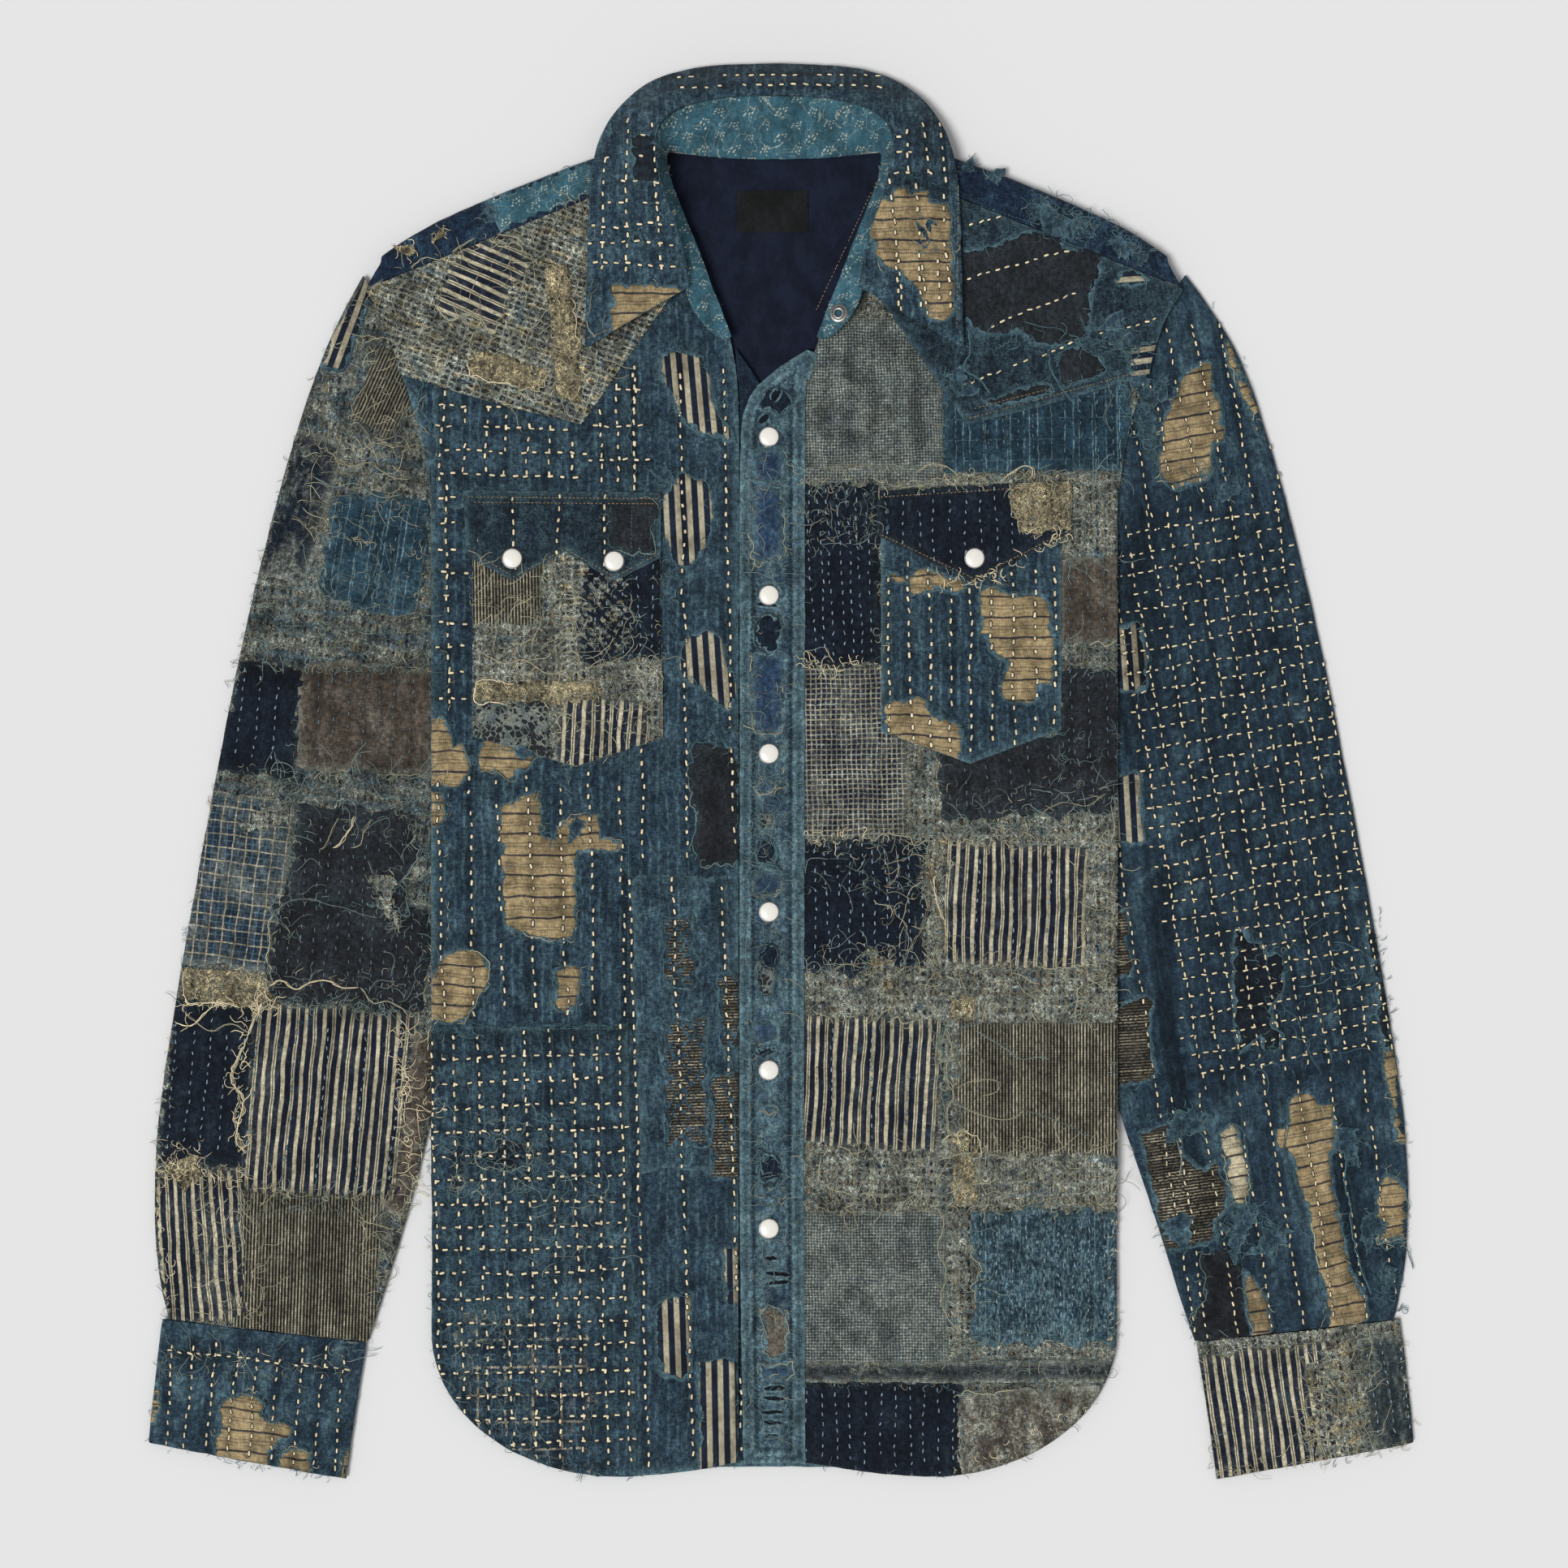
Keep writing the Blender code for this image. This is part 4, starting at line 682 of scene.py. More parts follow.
# Fringes: lines along which worn edges shed their threads
FRINGES = [  # x0, y0, x1, y1, threads, reach, thread
    (11, 168, 166, 168, 70, 12, "ecru"),
    (120, 168, 196, 172, 40, 11, "grey"),
    (11, 62, 58, 61, 26, 10, "cream"),
    (60, -40, 194, -38, 50, 11, "ecru"),
    (11, -40, 56, -38, 20, 9, "cream"),
    (12, -252, 192, -250, 60, 8, "ecru"),
    (-345, -138, -290, -134, 30, 13, "cream"),
    (-290, -134, -206, -140, 36, 13, "grey"),
    (-310, -140, -314, -228, 34, 11, "cream"),
    (-362, -230, -310, -236, 40, 10, "cream"),
    (-310, -240, -216, -250, 40, 9, "ecru"),
    (-280, 60, -206, 60, 40, 9, "grey"),
    (-276, 195, -216, 150, 26, 10, "ecru"),
    (-280, 142, -204, 124, 34, 9, "ecru"),
    (-222, -150, -212, -250, 44, 10, "cream"),
    (-203, 150, -203, -60, 36, 6, "grey"),
    (-24, 170, -24, -390, 70, 6, "teal"),
    (12, 170, 12, -390, 80, 6, "teal"),
    (230, 165, 258, 176, 26, 14, "teal"),
    (195, 230, 210, 190, 30, 16, "teal"),
    (110, 246, 190, 250, 30, 12, "teal"),
    (150, 330, 206, 306, 36, 14, "teal"),
    (-171, 322, -166, 330, 8, 6, "teal"),
    (112, 108, 166, 136, 30, 9, "cream"),
    (88, 110, 128, 110, 20, 8, "cream"),
    (344, -80, 354, -160, 24, 6, "teal"),
    (343, -290, 360, -312, 30, 9, "teal"),
    (256, -250, 300, -262, 24, 11, "teal"),
    (208, -200, 250, -200, 20, 10, "teal"),
    (250, -408, 366, -390, 40, 7, "ecru"),
    (-365, -392, -260, -410, 26, 6, "teal"),
    (-200, -330, -120, -404, 22, 6, "teal"),
    (100, -404, 180, -366, 26, 6, "cream"),
    (-203, -100, -203, -300, 30, 5, "cream"),
    (192, -250, 192, -330, 20, 5, "cream"),
    (-362, -240, -352, -310, 22, 6, "cream"),
    (-290, 150, -322, 40, 22, 7, "grey"),
    (-250, 270, -290, 160, 20, 7, "ecru"),
    (290, 118, 326, -20, 18, 5, "teal"),
]

# Long loose threads that lie over the patches, each through a few places
STRANDS = [  # thread, thickness, places
    ("ecru", 1.2, [(102, -193), (114, -198), (126, -201), (134, -200), (141, -194)]),
    ("grey", 0.9, [(141, -196), (154, -200), (167, -205), (173, -209), (181, -211)]),
    ("ecru", 0.9, [(101, -183), (109, -179), (119, -178), (125, -180), (124, -185), (114, -188)]),
    ("grey", 0.9, [(112, -150), (126, -158), (138, -166), (148, -165), (156, -167)]),
    ("ecru", 1.4, [(95, -150), (98, -162), (94, -174), (99, -186), (95, -198), (98, -212)]),
    ("grey", 1.2, [(91, -148), (92, -160), (97, -171), (92, -183), (94, -196), (91, -208)]),
    ("grey", 1.2, [
        (-292, -81), (-284, -75), (-272, -74), (-262, -77), (-252, -79), (-241, -83), (-232, -85)]),
    ("grey", 1.1, [(-232, -85), (-228, -79), (-231, -67), (-236, -58), (-239, -50)]),
    ("cream", 1.6, [(-246, -26), (-249, -33), (-255, -42), (-260, -45)]),
    ("ecru", 0.9, [(-256, -27), (-260, -35), (-263, -43), (-268, -46)]),
    ("ecru", 1, [(-237, -28), (-241, -35), (-243, -42), (-250, -45)]),
    ("ecru", 1.1, [(-293, -82), (-296, -88), (-295, -98), (-297, -109), (-293, -116)]),
    ("cream", 1.4, [
        (-296, -124), (-289, -121), (-280, -126), (-272, -122), (-262, -121), (-254, -125), (-243, -125)]),
    ("ecru", 1.4, [(-243, -125), (-236, -134), (-228, -133), (-220, -137), (-214, -142)]),
    ("ecru", 1.2, [
        (-303, -136), (-308, -152), (-314, -167), (-317, -177), (-313, -189), (-316, -202), (-310, -220)]),
    ("cream", 1.1, [(-300, -134), (-310, -157), (-318, -177), (-311, -190), (-315, -212), (-308, -222)]),
    ("cream", 1.1, [(-352, -145), (-341, -147), (-331, -138), (-323, -134), (-312, -137)]),
    ("ecru", 1, [(-345, -140), (-330, -150), (-318, -146), (-306, -152)]),
    ("ecru", 1.1, [(78, 172), (85, 177), (94, 176), (101, 171), (99, 165), (92, 168)]),
    ("cream", 1.1, [(126, 166), (131, 171), (140, 176), (145, 174), (144, 167)]),
    ("cream", 1.2, [(95, -44), (90, -54), (88, -66), (90, -76), (93, -85), (97, -98)]),
    ("ecru", 1.1, [(83, -60), (86, -72), (83, -84), (78, -96), (70, -108)]),
    ("ecru", 1, [(38, -252), (36, -258), (38, -264), (42, -264), (42, -257), (39, -252)]),
    ("ecru", 1, [(90, -252), (94, -262), (90, -275), (95, -290), (92, -305), (98, -318), (104, -325)]),
    ("grey", 1, [(60, -330), (74, -322), (88, -325), (98, -330), (112, -326), (128, -331)]),
    ("teal", 1.2, [(107, 256), (109, 243), (105, 232), (114, 226), (121, 216)]),
    ("teal", 1.2, [(140, 259), (150, 256), (160, 255), (166, 251)]),
    ("teal", 1.4, [(154, 241), (156, 230), (165, 216), (171, 212)]),
    ("teal", 1.2, [(172, 262), (178, 250), (190, 247), (200, 240), (205, 230)]),
    ("grey", 1.1, [(186, 228), (190, 216), (186, 204), (192, 194)]),
    ("teal", 1.5, [
        (252, -210), (259, -204), (266, -207), (269, -223), (271, -242), (267, -253), (258, -259)]),
    ("teal", 1.5, [(231, -204), (238, -206), (244, -211), (246, -216)]),
    ("grey", 1, [(228, -212), (231, -224), (230, -236)]),
    ("teal", 1.2, [(287, -190), (291, -206), (290, -219), (296, -232), (299, -246), (305, -262)]),
    ("teal", 1.2, [
        (322, -207), (327, -220), (325, -236), (328, -250), (330, -268), (336, -290), (342, -304)]),
    ("teal", 1.2, [(344, -270), (350, -277), (356, -272), (362, -277), (366, -290)]),
    ("ecru", 0.9, [(-214, 290), (-206, 296), (-196, 295), (-186, 302), (-176, 308)]),
    ("ecru", 1, [(-190, 268), (-182, 262), (-176, 266), (-170, 258), (-160, 262)]),
    ("teal", 1.1, [(-214, 240), (-207, 226), (-210, 212), (-203, 200), (-206, 188)]),
    ("ecru", 1.1, [(-262, 185), (-250, 176), (-238, 178), (-226, 170), (-214, 168)]),
    ("grey", 1.1, [(-270, 170), (-258, 164), (-246, 166), (-232, 158), (-218, 160)]),
    ("ecru", 1, [(-176, 70), (-160, 62), (-148, 64), (-134, 56), (-120, 60)]),
    ("ecru", 1, [(-128, 96), (-120, 84), (-122, 72), (-114, 64)]),
    ("grey", 1, [(74, -38), (88, -32), (104, -36), (122, -30), (140, -34), (158, -28)]),
    ("ecru", 1, [(150, -24), (162, -18), (176, -20), (188, -12)]),
    ("ecru", 1, [(300, -340), (306, -352), (302, -366), (308, -380), (304, -394)]),
    ("ecru", 1.1, [(320, -352), (328, -360), (326, -372), (334, -384), (330, -396)]),
]

THREADS = {  # thread: red, green, blue, shade between strands
    "cream": (228, 213, 177, 0.24),
    "small": (224, 208, 168, 0.28),
    "close": (226, 211, 174, 0.26),
    "sky": (132, 156, 170, 0.34),
    "faint": (88, 108, 118, 0.3),
    "ecru": (154, 150, 126, 0.5),
    "grey": (104, 118, 114, 0.5),
    "teal": (70, 100, 108, 0.5),
    "gold": (150, 126, 82, 0.2),
    # dark: threads that navy cloth sheds, and the painted shadow laid round each stitch
    "dark": (17, 24, 34, 0.3),
}

# How each thread is sewn, as shares of the sewing sizes
HANDS = {  # thread: pitch, stitch, width
    "cream": (1.0, 1.0, 1.0),
    "small": (0.88, 0.98, 0.78),
    "close": (0.84, 0.98, 0.84),
    "sky": (0.84, 0.78, 0.5),
    "faint": (1.0, 0.8, 0.5),
    "teal": (0.35, 0.45, 0.33),
    "gold": (0.35, 0.45, 0.33),
}


def srgb(red, green, blue):
    """Screen values of 0 to 255 as a linear colour."""
    return tuple(((c / 255 + 0.055) / 1.055) ** 2.4 if c > 10 else c / 3294.6 for c in (red, green, blue))


def colour(name, description, red, green, blue):
    return bpy.props.FloatVectorProperty(
        name=name,
        description=description,
        subtype="COLOR",
        size=3,
        min=0.0,
        max=1.0,
        default=srgb(red, green, blue),
    )


def length(name, description, millimetres):
    return bpy.props.FloatProperty(
        name=name,
        description=description,
        subtype="DISTANCE",
        unit="LENGTH",
        default=millimetres * MM,
        precision=5,
    )


class OvershirtSizes(bpy.types.PropertyGroup):
    """Sizes of the cloth and of the hand sewing."""

    cloth_grid: length("Cloth grid", "Spacing of the points in the cloth", 3.0)
    patch_grid: length("Patch grid", "Spacing of the points in a patch", 3.8)
    patch_lift: length("Patch lift", "How far a patch stands off the cloth below", 0.55)
    stitch: length("Stitch", "Length of a running stitch on the face", 3.4)
    stitch_pitch: length("Stitch pitch", "Distance from one running stitch to the next", 6.7)
    stitch_width: length("Stitch width", "Width of a running stitch", 1.4)
    strand: length("Strand", "Thickness of a frayed thread", 0.42)
    lens: bpy.props.FloatProperty(name="Lens", description="Focal length in millimetres", default=85.0)
    camera_height: length("Camera height", "Height of the camera over the table", 2144.0)


class OvershirtColours(bpy.types.PropertyGroup):
    """Colours of the fabrics."""

    indigo: colour("Indigo", "Washed indigo cotton", 29, 46, 62)
    deep_indigo: colour("Deep indigo", "Less faded indigo of the left yoke", 20, 31, 43)
    indigo_teal: colour("Teal indigo", "Washed indigo with a green cast", 34, 58, 72)
    indigo_pale: colour("Worn indigo", "Where the indigo is rubbed", 88, 116, 124)
    shoulder_blue: colour("Shoulder blue", "Shoulder strips", 25, 40, 60)
    placket_blue: colour("Placket blue", "Placket between its windows", 43, 63, 80)
    placket_pale: colour("Placket wear", "Rubbed threads of the placket", 100, 127, 132)
    deep_blue: colour("Deep blue", "Unfaded windows of the placket", 36, 57, 84)
    navy: colour("Dark navy", "Quilted navy patches", 20, 28, 41)
    charcoal: colour("Charcoal", "Charcoal patches", 38, 41, 46)
    brown: colour("Brown", "Brown patches", 80, 72, 64)
    tan: colour("Tan", "Tan patches with barred lines", 147, 129, 97)
    bar: colour("Bars", "Lines woven in the tan cloth", 50, 48, 54)
    ecru: colour("Ecru", "Pale stripes", 186, 177, 151)
    stripe_pale: colour("Bright stripe", "Pale threads of the finer stripes", 198, 189, 160)
    pin: colour("Pin", "Pale warp lines of the teal cloth", 124, 150, 156)
    stripe_navy: colour("Stripe navy", "Dark stripes", 21, 29, 46)
    black: colour("Black", "Ground of the fine lined cloth", 26, 27, 28)
    hole: colour("Holes", "The cloth that shows through holes in the gauze", 22, 27, 38)
    gauze_dark: colour("Gauze shade", "Between the fibres of the gauze", 46, 57, 62)
    gauze_shade: colour("Faded check", "Ground of the finest check", 44, 58, 66)
    gauze_light: colour("Gauze fibre", "Fibres of the gauze", 170, 175, 161)
    gauze_blue: colour("Gauze blue", "Blue blotches in the gauze", 74, 104, 120)
    cream: colour("Cream", "Cream blotches in the gauze", 196, 178, 134)
    teal: colour("Teal", "Printed teal cotton", 54, 92, 106)
    lining: colour("Lining", "Plain lining inside the neck", 21, 27, 44)
    pearl: colour("Pearl", "Snap caps", 236, 232, 222)


def leaning(turn):
    """The cosine and sine of an angle in degrees."""
    return math.cos(math.radians(turn)), math.sin(math.radians(turn))


def middle_and_half(x0, x1, y0, y1):
    """The middle of a box and half its sides."""
    return (x0 + x1) / 2, (y0 + y1) / 2, (x1 - x0) / 2, (y1 - y0) / 2


def neighbours(ring):
    """Each member of a closed ring with the next."""
    return zip(ring, ring[1:] + ring[:1])


def facing(face, side):
    """A face as given, or turned over where side is -1."""
    return tuple(face) if side > 0 else tuple(reversed(face))


def wave(x, y, size, seed):
    """Smooth noise over the plan, with features of a size."""
    return noise.noise((x / size, y / size, seed))


def sizes(name):
    """One of the sizes, in millimetres."""
    return getattr(bpy.context.scene.overshirt_sizes, name) / MM


def tint(name):
    """One of the colours, as four linear values."""
    return (*getattr(bpy.context.scene.overshirt_colours, name), 1.0)


class Fabric:
    """One material, built from nodes. Its u and v run across and along the grain, in millimetres."""

    def __init__(self, name, roughness=0.9, sheen=0.03):
        self.material = bpy.data.materials.new(OWN + name)
        self.material.use_nodes = True
        self.tree = self.material.node_tree
        self.shader = self.tree.nodes["Principled BSDF"]
        self.shader.inputs["Roughness"].default_value = roughness
        self.shader.inputs["Specular IOR Level"].default_value = 0.15
        self.shader.inputs["Sheen Weight"].default_value = sheen
        self.shader.inputs["Sheen Roughness"].default_value = 0.6
        grain = self.add("ShaderNodeUVMap")
        grain.uv_map = UV_CLOTH
        self.grain = grain.outputs[0]
        parts = self.add("ShaderNodeSeparateXYZ")
        self.link(self.grain, parts.inputs[0])
        self.u, self.v = parts.outputs[0], parts.outputs[1]
        place = self.add("ShaderNodeTexCoord")
        self.place = place.outputs["Object"]

    def add(self, kind):
        return self.tree.nodes.new(kind)

    def link(self, out, into):
        self.tree.links.new(out, into)

    def feed(self, value, socket):
        """Links a socket, or sets a number or a colour on it."""
        if isinstance(value, bpy.types.NodeSocket):
            self.link(value, socket)
        else:
            socket.default_value = value

    def calc(self, operation, *values):
        node = self.add("ShaderNodeMath")
        node.operation = operation
        for value, socket in zip(values, node.inputs):
            self.feed(value, socket)
        return node.outputs[0]

    def chain(self, operation, *values):
        """One operation over two or more values, from left to right."""
        total = values[0]
        for value in values[1:]:
            total = self.calc(operation, total, value)
        return total

    def plus(self, *values):
        return self.chain("ADD", *values)

    def times(self, *values):
        return self.chain("MULTIPLY", *values)

    def most(self, *values):
        return self.chain("MAXIMUM", *values)

    def minus(self, one, other):
        return self.calc("SUBTRACT", one, other)

    def step(self, value, low, high, start=0.0, end=1.0):
        """A soft step from start to end as value goes from low to high."""
        node = self.add("ShaderNodeMapRange")
        node.interpolation_type = "SMOOTHSTEP"
        for given, socket in zip((value, low, high, start, end), node.inputs):
            self.feed(given, socket)
        return node.outputs[0]

    def mix(self, share, one, other, kind="MIX"):
        node = self.add("ShaderNodeMix")
        node.data_type = "RGBA"
        node.blend_type = kind
        self.feed(share, node.inputs["Factor"])
        self.feed(one, node.inputs["A"])
        self.feed(other, node.inputs["B"])
        return node.outputs["Result"]

    def vector(self, x, y, z=0.0):
        node = self.add("ShaderNodeCombineXYZ")
        for given, socket in zip((x, y, z), node.inputs):
            self.feed(given, socket)
        return node.outputs[0]

    def noise(self, size_u, size_v=None, detail=2.0, rough=0.55, seed=0.0, warp=0.0):
        """Soft noise with features of the given sizes in millimetres along the grain."""
        spread = self.vector(
            self.calc("DIVIDE", self.u, size_u), self.calc("DIVIDE", self.v, size_v or size_u), seed
        )
        node = self.add("ShaderNodeTexNoise")
        self.link(spread, node.inputs["Vector"])
        node.inputs["Scale"].default_value = 1.0
        node.inputs["Detail"].default_value = detail
        node.inputs["Roughness"].default_value = rough
        node.inputs["Distortion"].default_value = warp
        return node.outputs["Fac"]

    def lines(self, along, pitch, width, at=0.0, soft=0.25):
        """1 on lines of a width, one each pitch, and 0 between them."""
        away = self.calc("PINGPONG", self.minus(along, at + WHOLE_PITCHES * pitch), pitch / 2.0)
        return self.step(away, width / 2.0 - soft, width / 2.0 + soft, 1.0, 0.0)

    def cells(self, size, seed=0.0):
        """Distance to the sides of a net of uneven cells, in shares of their size."""
        spread = self.vector(self.calc("DIVIDE", self.u, size), self.calc("DIVIDE", self.v, size), seed)
        node = self.add("ShaderNodeTexVoronoi")
        node.feature = "DISTANCE_TO_EDGE"
        self.link(spread, node.inputs["Vector"])
        node.inputs["Scale"].default_value = 1.0
        return node.outputs["Distance"]

    def chance(self, along, pitch, other=0.0, other_pitch=1.0):
        """One random number from 0 to 1 for each step of a pitch, or for each cell of two pitches."""
        node = self.add("ShaderNodeTexWhiteNoise")
        node.noise_dimensions = "2D"
        column = self.calc("FLOOR", self.calc("DIVIDE", along, pitch))
        row = self.calc("FLOOR", self.calc("DIVIDE", other, other_pitch))
        self.link(self.vector(column, row), node.inputs["Vector"])
        return node.outputs["Value"]

    def curls(self, size, seed, width=0.03):
        """Thin curling lines, as loose fibres make."""
        wander = self.noise(size, size, 1.5, 0.5, seed, 1.6)
        away = self.calc("ABSOLUTE", self.minus(wander, 0.5))
        return self.step(away, width * 0.3, width, 1.0, 0.0)

    def attribute(self, name):
        node = self.add("ShaderNodeAttribute")
        node.attribute_name = name
        return node.outputs["Fac"]

    def darken(self, shade, light):
        """A shade multiplied by a grey."""
        return self.mix(1.0, shade, self.vector(light, light, light), "MULTIPLY")

    def finish(self, shade, height, depth=0.5):
        """Sets the colour and a bump whose height is in shares of depth millimetres."""
        self.feed(shade, self.shader.inputs["Base Color"])
        bump = self.add("ShaderNodeBump")
        bump.inputs["Distance"].default_value = depth * MM
        bump.inputs["Strength"].default_value = 1.0
        self.feed(height, bump.inputs["Height"])
        self.link(bump.outputs[0], self.shader.inputs["Normal"])
        return self.material


def crests(cloth):
    """Thin crests that sway down the cloth, where gathered cotton is rubbed."""
    swayed = cloth.plus(cloth.u, cloth.times(cloth.noise(13.0, 34.0, 2.0, seed=73.0), 7.0))
    crest = cloth.lines(swayed, 5.6, 1.6, 0.0, 0.9)
    patchy = cloth.step(cloth.noise(5.0, 17.0, 3.0, 0.6, 77.0), 0.36, 0.62, 0.08, 1.0)
    return cloth.times(crest, patchy)


def two_sizes_of_curls(cloth, broad, fine, broad_width=0.05, fine_width=0.05):
    """Loose fibres curled in two sizes."""
    return cloth.most(cloth.curls(broad, 61.0, broad_width), cloth.curls(fine, 67.0, fine_width))


def woven(
    cloth,
    shade,
    pale,
    wear=0.35,
    yarn=1.1,
    contrast=0.5,
    extra=None,
    worn_size=20.0,
    mottle=0.3,
    fuzz=0.0,
    pleats=0.0,
):
    """Weave, wear and grime over a ground shade, with painted shade where the relief is low and painted
    highlight, partly rubbing, where it is high; extra is a further bump height.
    """
    warp = cloth.noise(yarn * 0.55, yarn * 4.0, 2.0, seed=3.0)
    weft = cloth.noise(yarn * 4.0, yarn * 0.55, 2.0, seed=7.0)
    thread = cloth.times(cloth.plus(warp, weft), 0.5)
    streak = cloth.noise(5.0, 34.0, 3.0, 0.65, 11.0)
    broad = cloth.noise(worn_size, worn_size * 1.5, 5.0, 0.68, 17.0, 0.6)
    crumple = cloth.noise(5.0, 6.0, 4.0, 0.65, 23.0)
    fleck = cloth.noise(2.4, 3.0, 3.0, 0.65, 27.0)
    relief = cloth.attribute(RELIEF)
    edge = cloth.attribute(EDGE)

    # Where the cloth is rubbed pale: in streaks and blotches, on crests and at edges, and on high crumples
    # and raised relief, where the paling is partly rubbing and partly painted highlight
    worn = cloth.plus(cloth.times(broad, 0.62), cloth.times(streak, 0.38), cloth.times(relief, 0.09))
    rubbed = cloth.step(worn, 0.46, 0.68)
    high = cloth.step(cloth.plus(crumple, cloth.times(relief, 0.14)), 0.5, 0.74, 0.0, 0.7 - 0.45 * pleats)
    share = cloth.most(cloth.times(rubbed, 1.0 - 0.35 * pleats), high)
    if pleats:
        crest = crests(cloth)
        share = cloth.most(share, cloth.times(crest, pleats))
    share = cloth.times(share, wear, cloth.step(fleck, 0.3, 0.62, 0.45, 1.1))
    share = cloth.most(share, cloth.times(edge, min(0.7, wear * 1.4)))
    tone = cloth.mix(share, shade, pale)
    if fuzz:
        curl = two_sizes_of_curls(cloth, 4.2, 2.6, broad_width=0.045)
        bare = cloth.step(cloth.noise(9.0, 13.0, 3.0, 0.6, 71.0), 0.38, 0.6, 0.1, fuzz)
        tone = cloth.mix(cloth.times(curl, bare), tone, pale)

    # Light and dark of the weave, its specks and the grime, and painted shade where the relief is low
    grime = cloth.step(cloth.noise(13.0, 18.0, 3.0, 0.65, 31.0), 0.32, 0.66, 0.62, 1.18)
    weave = cloth.step(thread, 0.36, 0.64, 1.0 - contrast, 1.0 + contrast * 0.8)
    speck = cloth.step(fleck, 0.32, 0.68, 1.0 - 1.3 * mottle, 1.0 + 1.3 * mottle)
    painted_relief_shade = cloth.step(relief, -1.5, 0.3, 0.5, 1.08)
    light = cloth.times(cloth.times(grime, weave), cloth.times(speck, painted_relief_shade))

    height = cloth.plus(cloth.times(thread, 0.8), cloth.times(crumple, 1.8), cloth.times(fleck, 0.7))
    if pleats:
        height = cloth.plus(height, cloth.times(crest, 0.9))
    if extra is not None:
        height = cloth.plus(height, extra)
    return cloth.finish(cloth.darken(tone, light), height)


BAR_PITCH = 12.0  # from one dark line of the tan cloth to the next
STRIPE_PITCH = 10.6  # from one broad stripe to the next


def barred(name, ground):
    """Pale cloth with a dark line and two dotted ones between, over and over."""
    cloth = Fabric(name)
    wavy = cloth.plus(cloth.v, cloth.times(cloth.noise(24.0, 26.0, 2.0, seed=5.0), 5.0))
    bar = cloth.lines(wavy, BAR_PITCH, 1.2, 0.0, 0.25)
    dots = cloth.lines(cloth.u, 1.1, 0.7, 0.0, 0.2)
    pair = cloth.most(*[cloth.lines(wavy, BAR_PITCH, 0.7, at, 0.2) for at in (5.0, 6.8)])
    lines = cloth.most(bar, cloth.times(cloth.times(pair, dots), 0.8))
    slub = cloth.step(cloth.noise(9.0, 1.3, 2.0, 0.6, 41.0), 0.4, 0.62, 0.0, 0.3)
    shade = cloth.mix(slub, tint(ground), tint("cream"))
    stain = cloth.step(cloth.noise(11.0, 14.0, 3.0, 0.6, 43.0), 0.5, 0.75, 0.0, 0.4)
    shade = cloth.mix(stain, shade, tint("brown"))
    shade = cloth.mix(lines, shade, tint("bar"))
    return woven(cloth, shade, tint("cream"), wear=0.08, yarn=0.9, contrast=0.28, mottle=0.16)


def striped(name):
    """A broad pale stripe, then a close pair of thin ones, on navy, over and over."""
    cloth = Fabric(name)
    across = cloth.plus(cloth.u, cloth.times(cloth.noise(26.0, 40.0, 2.0, seed=2.0), 4.0))
    broad = cloth.lines(across, STRIPE_PITCH, 2.3, 0.0, 0.16)
    pair = [cloth.lines(across, STRIPE_PITCH, 0.95, at, 0.16) for at in (4.65, 5.95)]
    pale = cloth.most(broad, cloth.most(*pair))
    slant = cloth.plus(cloth.times(cloth.u, 0.7), cloth.v)
    ticks = cloth.step(cloth.lines(slant, 0.85, 0.3, 0.0, 0.16), 0.0, 1.0, 1.0, 0.6)
    rubbed = cloth.step(cloth.noise(1.3, 5.0, 3.0, 0.65, 9.0), 0.3, 0.44, 0.3, 1.0)
    shared = cloth.times(pale, ticks, rubbed)
    worn = cloth.step(cloth.noise(16.0, 13.0, 4.0, 0.7, 19.0), 0.56, 0.76, 0.0, 0.4)
    shade = cloth.mix(shared, tint("stripe_navy"), tint("stripe_pale"))
    shade = cloth.mix(worn, shade, tint("gauze_blue"))
    options = {"wear": 0.1, "yarn": 0.9, "contrast": 0.3, "mottle": 0.2}
    return woven(cloth, shade, tint("gauze_light"), extra=pale, **options)


def ticked(name):
    """Even herringbone stripes of ecru and navy."""
    cloth = Fabric(name)
    pale = cloth.lines(cloth.u, 6.7, 3.3, 0.0, 0.2)
    zig = cloth.plus(cloth.calc("PINGPONG", cloth.plus(cloth.u, WHOLE_PITCHES), 1.1), cloth.v)
    bone = cloth.lines(zig, 0.9, 0.4, 0.0, 0.15)
    ecru = cloth.mix(cloth.times(bone, 0.45), tint("ecru"), tint("black"))
    shade = cloth.mix(pale, tint("stripe_navy"), ecru)
    options = {"wear": 0.08, "yarn": 0.8, "contrast": 0.25, "mottle": 0.12}
    return woven(cloth, shade, tint("indigo_pale"), extra=pale, **options)


def hairlined(name, shine=1.0):
    """Fine columns of ecru dots on black, some brighter than others."""
    cloth = Fabric(name)
    line = cloth.lines(cloth.u, 1.87, 0.85, 0.0, 0.16)
    dots = cloth.step(cloth.lines(cloth.v, 0.92, 0.55, 0.0, 0.14), 0.0, 1.0, 0.3 * shine, shine)
    column = cloth.step(cloth.chance(cloth.plus(cloth.u, 0.93), 1.87), 0.0, 1.0, 0.5, 1.0)
    flecks = cloth.step(cloth.noise(1.6, 3.0, 2.0, 0.6, 4.0), 0.3, 0.6, 0.45, 1.15)
    worn = cloth.step(cloth.noise(11.0, 15.0, 4.0, 0.7, 12.0), 0.5, 0.72, 1.0, 0.55)
    mask = cloth.times(cloth.times(line, dots), cloth.times(column, flecks))
    shade = cloth.mix(cloth.times(mask, worn), tint("black"), tint("stripe_pale"))
    options = {"wear": 0.07, "yarn": 0.8, "contrast": 0.25, "mottle": 0.2}
    return woven(cloth, shade, tint("gauze_light"), extra=line, **options)


